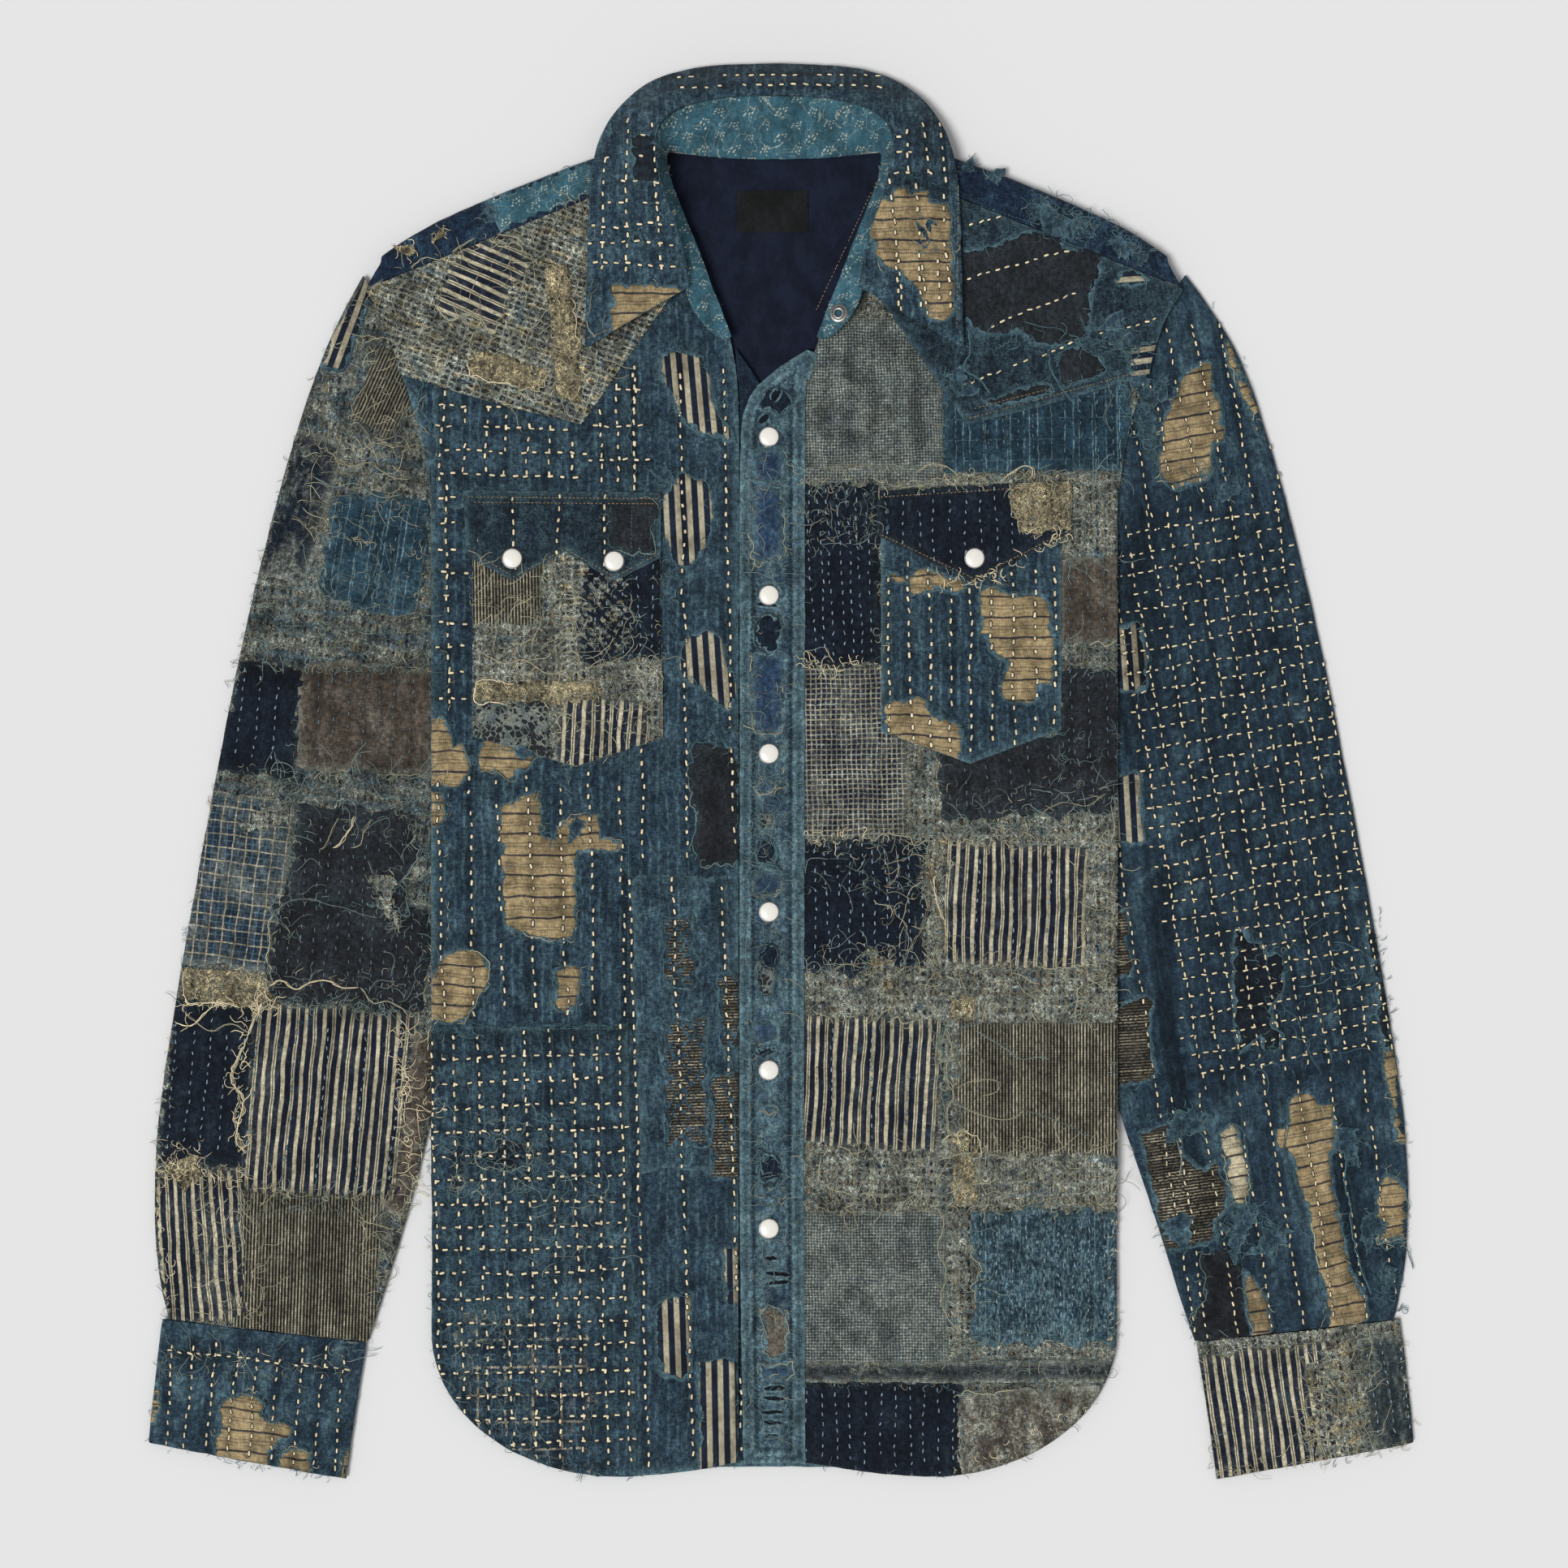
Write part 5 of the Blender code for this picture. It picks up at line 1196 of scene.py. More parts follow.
def checked(name, ground, line, other, pitch, width, share=0.7, wear=0.2):
    """Pale lines both ways, every second one in another shade."""
    cloth = Fabric(name)
    sway = cloth.times(cloth.noise(20.0, 20.0, 2.0, seed=6.0), 3.0)
    ways = cloth.plus(cloth.u, sway), cloth.plus(cloth.v, sway)
    odd, even = (
        cloth.most(*[cloth.lines(way, 2 * pitch, width, at, 0.18) for way in ways]) for at in (0.0, pitch)
    )
    broken = cloth.step(cloth.noise(1.1, 1.1, 2.0, 0.5, 4.0), 0.3, 0.56, 0.3, 1.0)
    faded = cloth.step(cloth.noise(14.0, 17.0, 4.0, 0.7, 14.0), 0.36, 0.68, share, share * 0.45)
    worn = cloth.times(broken, faded)
    shade = cloth.mix(cloth.times(even, worn), tint(ground), tint(other))
    shade = cloth.mix(cloth.times(odd, worn), shade, tint(line))
    both = cloth.most(odd, even)
    options = {"wear": wear, "yarn": 0.9, "contrast": 0.35, "mottle": 0.25}
    return woven(cloth, shade, tint("gauze_light"), extra=both, **options)


def ribbed(name):
    """Fine dark and ecru ribs across the grain."""
    cloth = Fabric(name)
    rib = cloth.lines(cloth.v, 1.75, 0.85, 0.0, 0.25)
    broken = cloth.step(cloth.noise(1.6, 0.8, 1.0, 0.5, 4.0), 0.36, 0.54)
    heavy = cloth.step(cloth.noise(60.0, 4.5, 1.0, 0.5, 8.0), 0.45, 0.6, 0.3, 1.0)
    mask = cloth.times(rib, broken, heavy)
    shade = cloth.mix(mask, tint("black"), tint("ecru"))
    return woven(cloth, shade, tint("brown"), wear=0.45, yarn=0.8, contrast=0.2, extra=rib, mottle=0.2)


def pinned(name, down=0.35):
    """Teal-blue cloth with uneven fuzzy pale warp lines and a few thin weft ones."""
    cloth = Fabric(name)
    swayed = cloth.plus(cloth.u, cloth.times(cloth.noise(5.0, 9.0, 3.0, 0.6, 2.0), 2.6))
    warp = cloth.most(cloth.lines(swayed, 7.9, 0.55, 0.0, 0.3), cloth.lines(swayed, 12.7, 0.5, 3.4, 0.3))
    weft = cloth.times(cloth.lines(cloth.v, 12.0, 0.4, 0.0, 0.2), 0.5)
    broken = cloth.step(cloth.noise(1.4, 4.6, 2.0, 0.6, 8.5), 0.4, 0.56)
    fuzz = cloth.step(cloth.noise(1.0, 2.6, 3.0, 0.65, 18.5), 0.62 - 0.3 * (down - 0.35), 0.76, 0.0, down)
    mask = cloth.times(cloth.most(warp, weft), cloth.times(broken, 0.8))
    mask = cloth.most(mask, fuzz)
    shade = cloth.mix(mask, tint("indigo_teal"), tint("pin"))
    return woven(cloth, shade, tint("indigo_pale"), wear=0.25, yarn=1.0, contrast=0.4)


# The dots of one flower head, from the middle of its cell
FLOWER = ((0.0, 0.4), (1.9, 0.9), (-1.8, 1.2), (0.9, 2.4), (-0.8, 2.6), (2.6, 2.5), (-2.7, -0.2), (1.2, -1.3))


def sprays(cloth, shift_u, shift_v):
    """A loose head of small dots on a bent stem, one to each cell of a wide repeat."""
    wobble = cloth.times(cloth.minus(cloth.noise(9.0, 9.0, 1.0, 0.5, 3.0), 0.5), 7.0)
    u = cloth.calc("WRAP", cloth.plus(cloth.plus(cloth.u, wobble), shift_u), 9.0, -9.0)
    v = cloth.calc("WRAP", cloth.plus(cloth.plus(cloth.v, wobble), shift_v), 6.5, -6.5)
    mark = 0.0
    for x, y in FLOWER:
        du, dv = cloth.minus(u, x), cloth.minus(v, y)
        away = cloth.calc("SQRT", cloth.plus(cloth.times(du, du), cloth.times(dv, dv)))
        mark = cloth.most(mark, cloth.step(away, 0.32, 0.62, 1.0, 0.0))
    return mark


def sprigged(name):
    """Teal cotton with a generic print of dotted flower heads on thin winding stems."""
    cloth = Fabric(name, sheen=0.04)
    mark = cloth.most(sprays(cloth, 0.0, 0.0), sprays(cloth, 9.0, 6.5))
    stem = cloth.curls(13.0, 51.0, 0.012)
    mark = cloth.most(mark, cloth.times(stem, 0.55))
    mark = cloth.times(mark, cloth.step(cloth.noise(3.0, 3.0, 2.0, 0.5, 6.0), 0.25, 0.45, 0.45, 1.0))
    shade = cloth.mix(mark, tint("teal"), tint("gauze_light"))
    return woven(cloth, shade, tint("indigo_pale"), wear=0.3, yarn=1.0, contrast=0.22, mottle=0.15)


def twilled(name, ground, line):
    """Fine diagonal twill."""
    cloth = Fabric(name)
    slant = cloth.plus(cloth.u, cloth.times(cloth.v, 1.6))
    rib = cloth.lines(slant, 2.2, 0.9, 0.0, 0.3)
    shade = cloth.mix(cloth.times(rib, 0.55), tint(ground), tint(line))
    return woven(cloth, shade, tint(line), wear=0.3, yarn=1.0, contrast=0.4, extra=rib)


def gauze_slots(cloth, u, v, pitch, slot, gape, mesh):
    """The open slots of a gauze, one in each cell of its weave, where the gauze is worn apart."""
    bitten = cloth.minus(cloth.noise(1.6, 1.6, 2.0, 0.6, 29.0), 0.5)
    bitten = cloth.times(bitten, 2.4 - 1.2 * mesh)
    out = []
    for along, reach, width in ((u, pitch[0], slot[0]), (v, pitch[1], slot[1])):
        away = cloth.calc("PINGPONG", cloth.plus(along, WHOLE_PITCHES * reach), reach / 2.0)
        out.append(cloth.calc("DIVIDE", cloth.plus(away, bitten), width))
    away = cloth.calc("SQRT", cloth.plus(*[cloth.times(a, a) for a in out]))
    parted = cloth.noise(17.0, 10.0, 3.0, 0.65, 21.0)
    parted = cloth.step(parted, 0.56 - 0.34 * gape, 0.68 - 0.24 * gape)
    column, row = cloth.plus(u, 0.5 * pitch[0]), cloth.plus(v, 0.5 * pitch[1])
    own = cloth.chance(column, pitch[0], row, pitch[1])
    size = cloth.times(parted, cloth.plus(cloth.times(own, 0.9), 0.6))
    return cloth.step(cloth.minus(away, size), -0.12, 0.14, 1.0, 0.0)


def gauze_fibres(cloth, u, v, pitch, knots, curl, mesh):
    """The fibres of a gauze: matted both ways, knotted, curling, and drawn along the sides of its cells."""
    down = cloth.step(cloth.noise(1.3, 6.0, 3.0, 0.7, 3.0, 1.2), 0.45, 0.55)
    across = cloth.step(cloth.noise(6.0, 1.3, 3.0, 0.7, 9.0, 1.2), 0.45, 0.55)
    fibre = cloth.most(cloth.times(down, across), cloth.times(knots, 0.7))
    fine = cloth.step(cloth.noise(1.2, 1.2, 3.0, 0.75, 41.0, 0.8), 0.4, 0.58)
    sides = [cloth.lines(along, reach, 0.9, reach / 2, 0.3) for along, reach in zip((u, v), pitch)]
    rung = cloth.times(cloth.most(*sides), cloth.step(knots, 0.0, 1.0, 0.35 * mesh, mesh))
    return cloth.most(cloth.times(fibre, cloth.step(fine, 0.0, 1.0, 0.45, 1.0)), curl, rung)


def gauzy(
    name,
    cream=0.35,
    blue=0.4,
    gape=0.5,
    pitch=(3.7, 6.6),
    slot=(0.85, 1.7),
    below="stripes",
    shine=1.0,
    mesh=0.4,
):
    """Worn gauze: matted fibres with an open slot in each cell of the weave, and the cloth below in it."""
    cloth = Fabric(name, roughness=0.95)
    sway_u = cloth.times(cloth.noise(9.0, 16.0, 2.0, 0.6, 2.0), 5.0)
    sway_v = cloth.times(cloth.noise(16.0, 9.0, 2.0, 0.6, 5.0), 6.0)
    u, v = cloth.plus(cloth.u, sway_u), cloth.plus(cloth.v, sway_v)
    opened = gauze_slots(cloth, u, v, pitch, slot, gape, mesh)
    knots = cloth.step(cloth.noise(2.6, 3.2, 3.0, 0.7, 83.0, 1.0), 0.4, 0.62)
    curl = two_sizes_of_curls(cloth, 3.4, 2.3)
    lit = gauze_fibres(cloth, u, v, pitch, knots, curl, mesh)
    ground = tint("hole")
    if below == "stripes":
        ground = cloth.mix(cloth.lines(cloth.u, 5.3, 1.8, 0.0, 0.2), ground, tint("tan"))
    elif below == "ribs":
        ground = cloth.mix(cloth.lines(cloth.u, 1.87, 0.85, 0.0, 0.16), ground, tint("ecru"))
    blotch = cloth.noise(22.0, 10.0, 4.0, 0.65, 27.0)
    blotch = cloth.step(blotch, 0.66 - 0.3 * blue, 0.76 - 0.2 * blue, 0.0, 0.8)
    light = cloth.mix(blotch, tint("gauze_light"), tint("gauze_blue"))
    pale = cloth.step(cloth.noise(13.0, 6.0, 4.0, 0.7, 33.0), 0.72 - 0.35 * cream, 0.8 - 0.3 * cream)
    light = cloth.mix(cloth.times(pale, 0.85), light, tint("cream"))
    shade = cloth.mix(lit, tint("gauze_dark"), light)
    shown = cloth.times(opened, cloth.minus(1.0, cloth.times(curl, 0.6)))
    shade = cloth.mix(shown, shade, ground)
    grime = cloth.step(cloth.noise(21.0, 26.0, 4.0, 0.7, 37.0), 0.36, 0.62, 0.5 * shine, 1.3 * shine)
    # Painted shade and highlight of clumped fibre, spread at random over the gauze
    clump_shading = cloth.step(cloth.noise(4.2, 5.2, 3.0, 0.65, 87.0), 0.36, 0.62, 0.62, 1.28)
    # Painted shade: darker where the relief is low
    gauze_relief_shade = cloth.step(cloth.attribute(RELIEF), -1.5, 0.5, 0.55, 1.12)
    shade = cloth.darken(shade, cloth.times(grime, clump_shading, gauze_relief_shade))
    height = cloth.plus(cloth.times(lit, 1.4), cloth.times(opened, -1.6))
    return cloth.finish(shade, height, 0.8)


def netted(name, size, ground):
    """Dark cloth under a loose, matted net."""
    cloth = Fabric(name, roughness=0.95)
    sway = cloth.times(cloth.noise(5.0, 5.0, 2.0, 0.6, 2.0), 0.5)
    away = cloth.plus(cloth.cells(size, 4.0), cloth.minus(sway, 0.25))
    thick = cloth.step(cloth.noise(14.0, 12.0, 3.0, 0.6, 15.0), 0.35, 0.65, 0.05, 0.24)
    cover = cloth.step(cloth.minus(away, thick), -0.05, 0.03, 1.0, 0.0)
    fine = cloth.noise(0.9, 0.9, 3.0, 0.65, 41.0)
    curl = two_sizes_of_curls(cloth, 2.4, 1.7)
    blotch = cloth.step(cloth.noise(9.0, 9.0, 3.0, 0.6, 27.0), 0.42, 0.7, 0.0, 0.7)
    light = cloth.mix(blotch, tint("gauze_light"), tint("gauze_blue"))
    shade = cloth.mix(cloth.step(fine, 0.3, 0.7, 0.0, 0.5), tint("gauze_dark"), light)
    shade = cloth.mix(cloth.times(curl, 0.6), shade, light)
    shade = cloth.mix(cover, tint(ground), shade)
    height = cloth.plus(cloth.times(cover, 1.8), cloth.times(fine, 0.9))
    return cloth.finish(shade, height, 0.8)


PLY = 900.0  # how fine the twist of a thread is


def yarn(name, red, green, blue, spread):
    """Thread for stitches and frays, each strand a little lighter or darker."""
    cloth = Fabric(name, roughness=0.85, sheen=0.2)
    own = cloth.attribute(TONE)
    ply = cloth.add("ShaderNodeTexNoise")
    cloth.link(cloth.place, ply.inputs["Vector"])
    ply.inputs["Scale"].default_value = PLY
    light = cloth.plus(cloth.times(own, 2.0 * spread), cloth.times(ply.outputs["Fac"], 0.3))
    light = cloth.plus(light, 0.85 - spread)
    return cloth.finish(cloth.darken((*srgb(red, green, blue), 1.0), light), ply.outputs["Fac"], 0.1)


PLAIN = {  # fabric: ground, wear's shade, how it is woven and worn
    "indigo": ("indigo", "indigo_pale", {"wear": 0.62, "contrast": 0.4, "pleats": 0.95, "fuzz": 0.3}),
    "indigo_worn": (
        "indigo",
        "indigo_pale",
        {"wear": 0.68, "worn_size": 12.0, "contrast": 0.4, "pleats": 0.75, "fuzz": 0.45},
    ),
    "indigo_soft": (
        "indigo",
        "indigo_pale",
        {"wear": 0.58, "worn_size": 26.0, "contrast": 0.3, "mottle": 0.2, "pleats": 0.35, "fuzz": 0.15},
    ),
    "indigo_deep": (
        "deep_indigo",
        "indigo_pale",
        {"wear": 0.28, "contrast": 0.4, "pleats": 0.35, "fuzz": 0.3},
    ),
    "torn_indigo": (
        "indigo",
        "indigo_pale",
        {"wear": 0.7, "worn_size": 9.0, "contrast": 0.35, "mottle": 0.2, "fuzz": 0.4},
    ),
    "shoulder_blue": ("shoulder_blue", "gauze_blue", {"wear": 0.42, "worn_size": 12.0}),
    "smoke": ("gauze_dark", "gauze_light", {"wear": 0.42, "contrast": 0.5, "pleats": 0.4}),
    "placket_blue": (
        "placket_blue",
        "placket_pale",
        {"wear": 0.8, "worn_size": 9.0, "contrast": 0.35, "fuzz": 0.85},
    ),
    "deep_blue": ("deep_blue", "placket_pale", {"wear": 0.55, "worn_size": 14.0, "contrast": 0.25}),
    "denim": ("deep_indigo", "gauze_light", {"wear": 0.42, "worn_size": 10.0, "contrast": 0.6}),
    "navy": ("navy", "gauze_dark", {"wear": 0.5, "contrast": 0.5}),
    "navy_worn": ("navy", "indigo", {"wear": 0.7, "worn_size": 8.0}),
    "charcoal": ("charcoal", "gauze_dark", {"wear": 0.5, "contrast": 0.45}),
    "brown": ("brown", "gauze_light", {"wear": 0.2, "contrast": 0.45}),
    "brown_pale": ("brown", "gauze_light", {"wear": 0.6, "contrast": 0.45, "fuzz": 0.8}),
    "lining": ("lining", "lining", {"wear": 0.1, "contrast": 0.12, "mottle": 0.06}),
    "bare_label": ("black", "black", {"wear": 0.0, "yarn": 0.6, "contrast": 0.3, "mottle": 0.1}),
}


def make_fabrics():
    """Every fabric that the cloth and the patches are cut from."""
    for name, (ground, pale, options) in PLAIN.items():
        woven(Fabric(name), tint(ground), tint(pale), **options)
    barred("tan", "tan")
    barred("pale_tan", "ecru")
    striped("stripe")
    ticked("ticking")
    hairlined("hairline")
    hairlined("hairline_dim", 0.6)
    checked("check", "stripe_navy", "ecru", "gauze_light", 2.9, 0.9, share=0.82, wear=0.25)
    checked("check_wide", "indigo", "ecru", "gauze_blue", 3.9, 0.9, share=0.9, wear=0.3)
    checked("plaid", "indigo", "ecru", "gauze_blue", 8.0, 1.5, share=0.8, wear=0.3)
    checked("micro", "gauze_shade", "gauze_light", "gauze_light", 1.75, 0.8, share=0.53, wear=0.2)
    ribbed("ribs")
    pinned("pins")
    pinned("pins_pale", 1.0)
    sprigged("sprig")
    twilled("denim_dark", "charcoal", "gauze_dark")
    twilled("twill", "navy", "gauze_dark")
    gauzy("grey_gauze", gape=0.85, pitch=(3.7, 5.2), slot=(0.95, 1.5))
    gauzy("blue_gauze", cream=0.2, blue=0.8, gape=0.8, shine=0.84)
    coarse = {"pitch": (5.0, 3.4), "slot": (1.75, 0.85), "mesh": 1.0}
    gauzy("open_gauze", cream=0.6, blue=0.45, gape=1.1, below="none", **coarse)
    gauzy("ribbed_gauze", cream=0.3, blue=0.5, gape=0.95, pitch=(3.74, 6.9), below="ribs")
    gauzy("ecru_gauze", cream=0.65, blue=0.4, gape=0.7)
    gauzy("cream_gauze", cream=1.3, blue=0.1, gape=0.3, below="none")
    netted("net", 3.6, "charcoal")
    for name, (red, green, blue, spread) in THREADS.items():
        yarn("thread_" + name, red, green, blue, spread)


class Skin:
    """A finished cloth surface that later pieces are laid on, in millimetres."""

    def __init__(self, points, faces, outline, floor=-10.0):
        self.tree = BVHTree.FromPolygons([Vector(p) for p in points], faces)
        self.outline = outline
        self.floor = floor

    def drop(self, x, y, side=1):
        """The height of the cloth at a place, seen from above, or from below where side is -1."""
        hit = self.tree.ray_cast(Vector((x, y, ABOVE * side)), Vector((0, 0, -side)))[0]
        return None if hit is None or hit.z < self.floor else hit.z


WELD = 0.00002  # metres between points of a node that are taken as one
SHOWN_SLOPE = 0.3  # least upward share of the normal of a face that shows
SHOWN_DEPTH = 0.2  # how far under the top surface the middle of a face that shows may lie


def welded(node):
    """A CAD node's points and faces as one bmesh, in millimetres."""
    work = bmesh.new()
    work.from_mesh(frame["nodes"][node].data)
    bmesh.ops.remove_doubles(work, verts=work.verts, dist=WELD)
    bmesh.ops.scale(work, vec=(1 / MM, 1 / MM, 1 / MM), verts=work.verts)
    work.normal_update()
    return work


def outline_of(node, side=1):
    """The plan of what shows of a CAD node from above, or from below, as a list of points."""
    work = welded(node)
    tree = BVHTree.FromBMesh(work)
    shown = set()
    for face in work.faces:
        middle = face.calc_center_median()
        if face.normal.z * side > SHOWN_SLOPE:
            hit = tree.ray_cast(Vector((middle.x, middle.y, ABOVE * side)), Vector((0, 0, -side)))[0]
            if hit is not None and abs(hit.z - middle.z) < SHOWN_DEPTH:
                shown.add(face.index)
    ahead = {}
    for edge in work.edges:
        inner = [face for face in edge.link_faces if face.index in shown]
        if len(inner) == 1:
            for loop in inner[0].loops:
                if loop.edge == edge:
                    ahead[loop.vert.index] = loop.link_loop_next.vert.index
    work.verts.ensure_lookup_table()
    rings = []
    while ahead:
        first = next(iter(ahead))
        ring = [first]
        while ring[-1] in ahead:
            ring.append(ahead.pop(ring[-1]))
        rings.append(ring[:-1])
    best = max(rings, key=len)
    outline = [(work.verts[k].co.x, work.verts[k].co.y) for k in best]
    work.free()
    return outline


def rounded(outline, step, corner=26.0):
    """A smooth line through an outline's soft points, at most step apart; its corners stay sharp."""
    count = len(outline)
    points = [Vector(p) for p in outline]
    sharp = []
    for k in range(count):
        before, after = points[k] - points[k - 1], points[(k + 1) % count] - points[k]
        turn = before.angle(after) if before.length > 1e-6 and after.length > 1e-6 else 0.0
        sharp.append(math.degrees(turn) > corner)
    smooth = []
    for k in range(count):
        a, b = points[k], points[(k + 1) % count]
        lead = 2 * a - b if sharp[k] else points[k - 1]
        tail = 2 * b - a if sharp[(k + 1) % count] else points[(k + 2) % count]
        parts = max(1, math.ceil((b - a).length / step))
        for part in range(parts):
            t = part / parts
            out = (b - lead) * 0.5 * t + (2 * lead - 5 * a + 4 * b - tail) * 0.5 * t * t
            out += (3 * a - 3 * b + tail - lead) * 0.5 * t * t * t
            smooth.append(tuple(a + out))
    return smooth


def within(xs, ys, outline):
    """For arrays of places, whether each lies in an outline."""
    inside = np.zeros(len(xs), dtype=bool)
    for (x0, y0), (x1, y1) in neighbours(outline):
        if y0 != y1:
            crosses = (y0 > ys) != (y1 > ys)
            inside ^= crosses & (xs < x0 + (x1 - x0) * (ys - y0) / (y1 - y0))
    return inside


def lattice(outline, grid, gap=0.5):
    """Staggered points inside an outline, kept a share of the grid off its edge."""
    low_x, high_x = min(p[0] for p in outline), max(p[0] for p in outline)
    low_y, high_y = min(p[1] for p in outline), max(p[1] for p in outline)
    rows = np.arange(low_y, high_y, grid * ROW_SHARE)
    columns = np.arange(low_x, high_x, grid)
    shifted = [columns + (grid / 2 if k % 2 else 0.0) for k in range(len(rows))]
    xs = np.concatenate(shifted) if shifted else np.zeros(0)
    ys = np.repeat(rows, len(columns))
    keep = within(xs, ys, outline)
    xs, ys = xs[keep], ys[keep]
    edge = edge_tree(outline)
    return [(x, y) for x, y in zip(xs.tolist(), ys.tolist()) if edge.find((x, y, 0.0))[2] > gap * grid]


def edge_tree(outline):
    tree = KDTree(len(outline))
    for k, (x, y) in enumerate(outline):
        tree.insert((x, y, 0.0), k)
    tree.balance()
    return tree


def filled(outline, grid, clip=None):
    """Points and triangles of a flat cut, or of the part of it that lies in clip too."""
    edge = [tuple(p) for p in outline]
    inner = lattice(edge, grid)
    if clip is None:
        flat = [Vector(p) for p in edge + inner]
        sides = [(k, (k + 1) % len(edge)) for k in range(len(edge))]
        points, _, triangles, *_ = delaunay_2d_cdt(flat, sides, [], 1, CUT_TOLERANCE)
        return [tuple(p) for p in points], [tuple(t) for t in triangles]
    flat = [Vector(p) for p in edge + list(clip) + inner]
    first = list(range(len(edge)))
    second = list(range(len(edge), len(edge) + len(clip)))
    points, _, triangles, _, _, origins = delaunay_2d_cdt(flat, [], [first, second], 0, CUT_TOLERANCE, True)
    kept = [tuple(t) for t, origin in zip(triangles, origins) if 0 in origin and 1 in origin]
    used = sorted({k for t in kept for k in t})
    place = {old: new for new, old in enumerate(used)}
    return [tuple(points[k]) for k in used], [tuple(place[k] for k in t) for t in kept]


def smoothed(values, triangles, rounds):
    """Values at the points of a mesh, evened out over their neighbours."""
    corners = np.array(triangles)
    starts = np.concatenate([corners[:, 0], corners[:, 1], corners[:, 2]])
    ends = np.concatenate([corners[:, 1], corners[:, 2], corners[:, 0]])
    counts = np.bincount(starts, minlength=len(values)) + np.bincount(ends, minlength=len(values))
    counts = np.maximum(counts, 1)
    for _ in range(rounds):
        total = np.bincount(starts, weights=values[ends], minlength=len(values))
        total += np.bincount(ends, weights=values[starts], minlength=len(values))
        values = 0.5 * values + 0.5 * total / counts
    return values


def boundary(triangles):
    """The directed outer sides of a set of triangles."""
    sides = {}
    for a, b, c in triangles:
        for pair in ((a, b), (b, c), (c, a)):
            sides[pair] = True
    return [(a, b) for a, b in sides if (b, a) not in sides]


def folds_at(cloth, xs, ys):
    """How deep the folds of a cloth are at arrays of places."""
    depth_sum = np.zeros(len(xs))
    for x0, y0, x1, y1, half, depth in FOLDS.get(cloth, ()):
        dx, dy = x1 - x0, y1 - y0
        share = ((xs - x0) * dx + (ys - y0) * dy) / (dx * dx + dy * dy)
        bow = 0.06 * math.hypot(dx, dy) * np.sin(np.pi * np.clip(share, 0, 1))
        aside = ((xs - x0) * dy - (ys - y0) * dx) / math.hypot(dx, dy) - bow
        ends = np.clip((share + 0.12) / 0.25, 0, 1) * np.clip((1.12 - share) / 0.25, 0, 1)
        depth_sum += depth * ends * np.exp(-((aside / half) ** 2))
    return depth_sum


DRAWN_WIDTH = 2.4  # how far to each side a row of stitches draws the cloth in
MOST_DRAWN = 1.3


def quilting_at(cloth, xs, ys, tables):
    """How far the running stitches draw the cloth in."""
    drawn = np.zeros(len(xs))
    for x0, x1, y0, y1, turn, row, column, _, only in tables:
        if only not in ("", cloth):
            continue
        middle_x, middle_y, half_x, half_y = middle_and_half(x0, x1, y0, y1)
        cosine, sine = leaning(turn)
        across = (xs - middle_x) * cosine + (ys - middle_y) * sine
        along = (ys - middle_y) * cosine - (xs - middle_x) * sine
        inside = (np.abs(across) < half_x + 2) & (np.abs(along) < half_y + 2)
        for value, pitch in ((along, row), (across, column)):
            if pitch:
                away = np.abs((value + pitch / 2) % pitch - pitch / 2)
                drawn += inside * np.exp(-((away / DRAWN_WIDTH) ** 2))
    return np.minimum(drawn, MOST_DRAWN)


def relief_at(cloth, xs, ys, seed, ripple, side):
    """How far a cloth stands above its even form."""
    drawn = quilting_at(cloth, xs, ys, GRIDS if side > 0 else BACK_GRIDS)
    return crumple_at(xs, ys, seed) * ripple - folds_at(cloth, xs, ys) - 0.8 * ripple * drawn


def crumple_at(xs, ys, seed):
    """Fine uneven puckering of hand-quilted cloth."""
    values = [
        0.55 * noise.noise((x / 17.0, y / 21.0, seed)) + 0.55 * noise.noise((x / 7.0, y / 8.5, seed + 5.0))
        for x, y in zip(xs.tolist(), ys.tolist())
    ]
    return np.array(values)


def grain_of(points, turn):
    """Each point's place across and along a grain that leans by turn degrees, in millimetres."""
    cosine, sine = leaning(turn)
    place = np.array(points)
    across = place[:, 0] * cosine + place[:, 1] * sine
    along = place[:, 1] * cosine - place[:, 0] * sine
    return np.stack([across, along], axis=1)


def piece(name, points, faces, fabric, values=None, turn=0.0, uv=None, sharp=50.0):
    """Makes an object from points in millimetres, riding on the root body."""
    mesh = bpy.data.meshes.new(name)
    mesh.from_pydata([(x * MM, y * MM, z * MM) for x, y, z in points], [], faces)
    for label, numbers in (values or {}).items():
        layer = mesh.attributes.new(label, "FLOAT", "POINT")
        layer.data.foreach_set("value", np.asarray(numbers, dtype=np.float32))
    grain = grain_of(points, turn) if uv is None else np.array(uv)
    corners = np.zeros(len(mesh.loops), dtype=np.int32)
    mesh.loops.foreach_get("vertex_index", corners)
    layer = mesh.uv_layers.new(name=UV_CLOTH)
    layer.data.foreach_set("uv", grain[corners].astype(np.float32).ravel())
    mesh.materials.append(bpy.data.materials[OWN + fabric])
    mesh.shade_smooth()
    if sharp:
        mesh.set_sharp_from_angle(angle=math.radians(sharp))
    made = bpy.data.objects.new(name, mesh)
    bpy.context.scene.collection.objects.link(made)
    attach(made, "root")
    return made


def declare(made, node):
    """Hides the CAD node that a cut of cloth stands for; the cut, made, is not used."""
    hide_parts(node)


# The doubled edges of the placket: distance in from its edge, rise
WELTS = ((1.0, 0.35), (3.2, -0.45), (6.1, 0.75), (7.9, -1.1))
HIDDEN_GRID = 16.0  # spacing of the points in a hidden face
HIDDEN_GAP = 0.4  # how much deeper a hidden face lies than its rim
LOWEST = 0.05  # nothing of the underside goes below this height


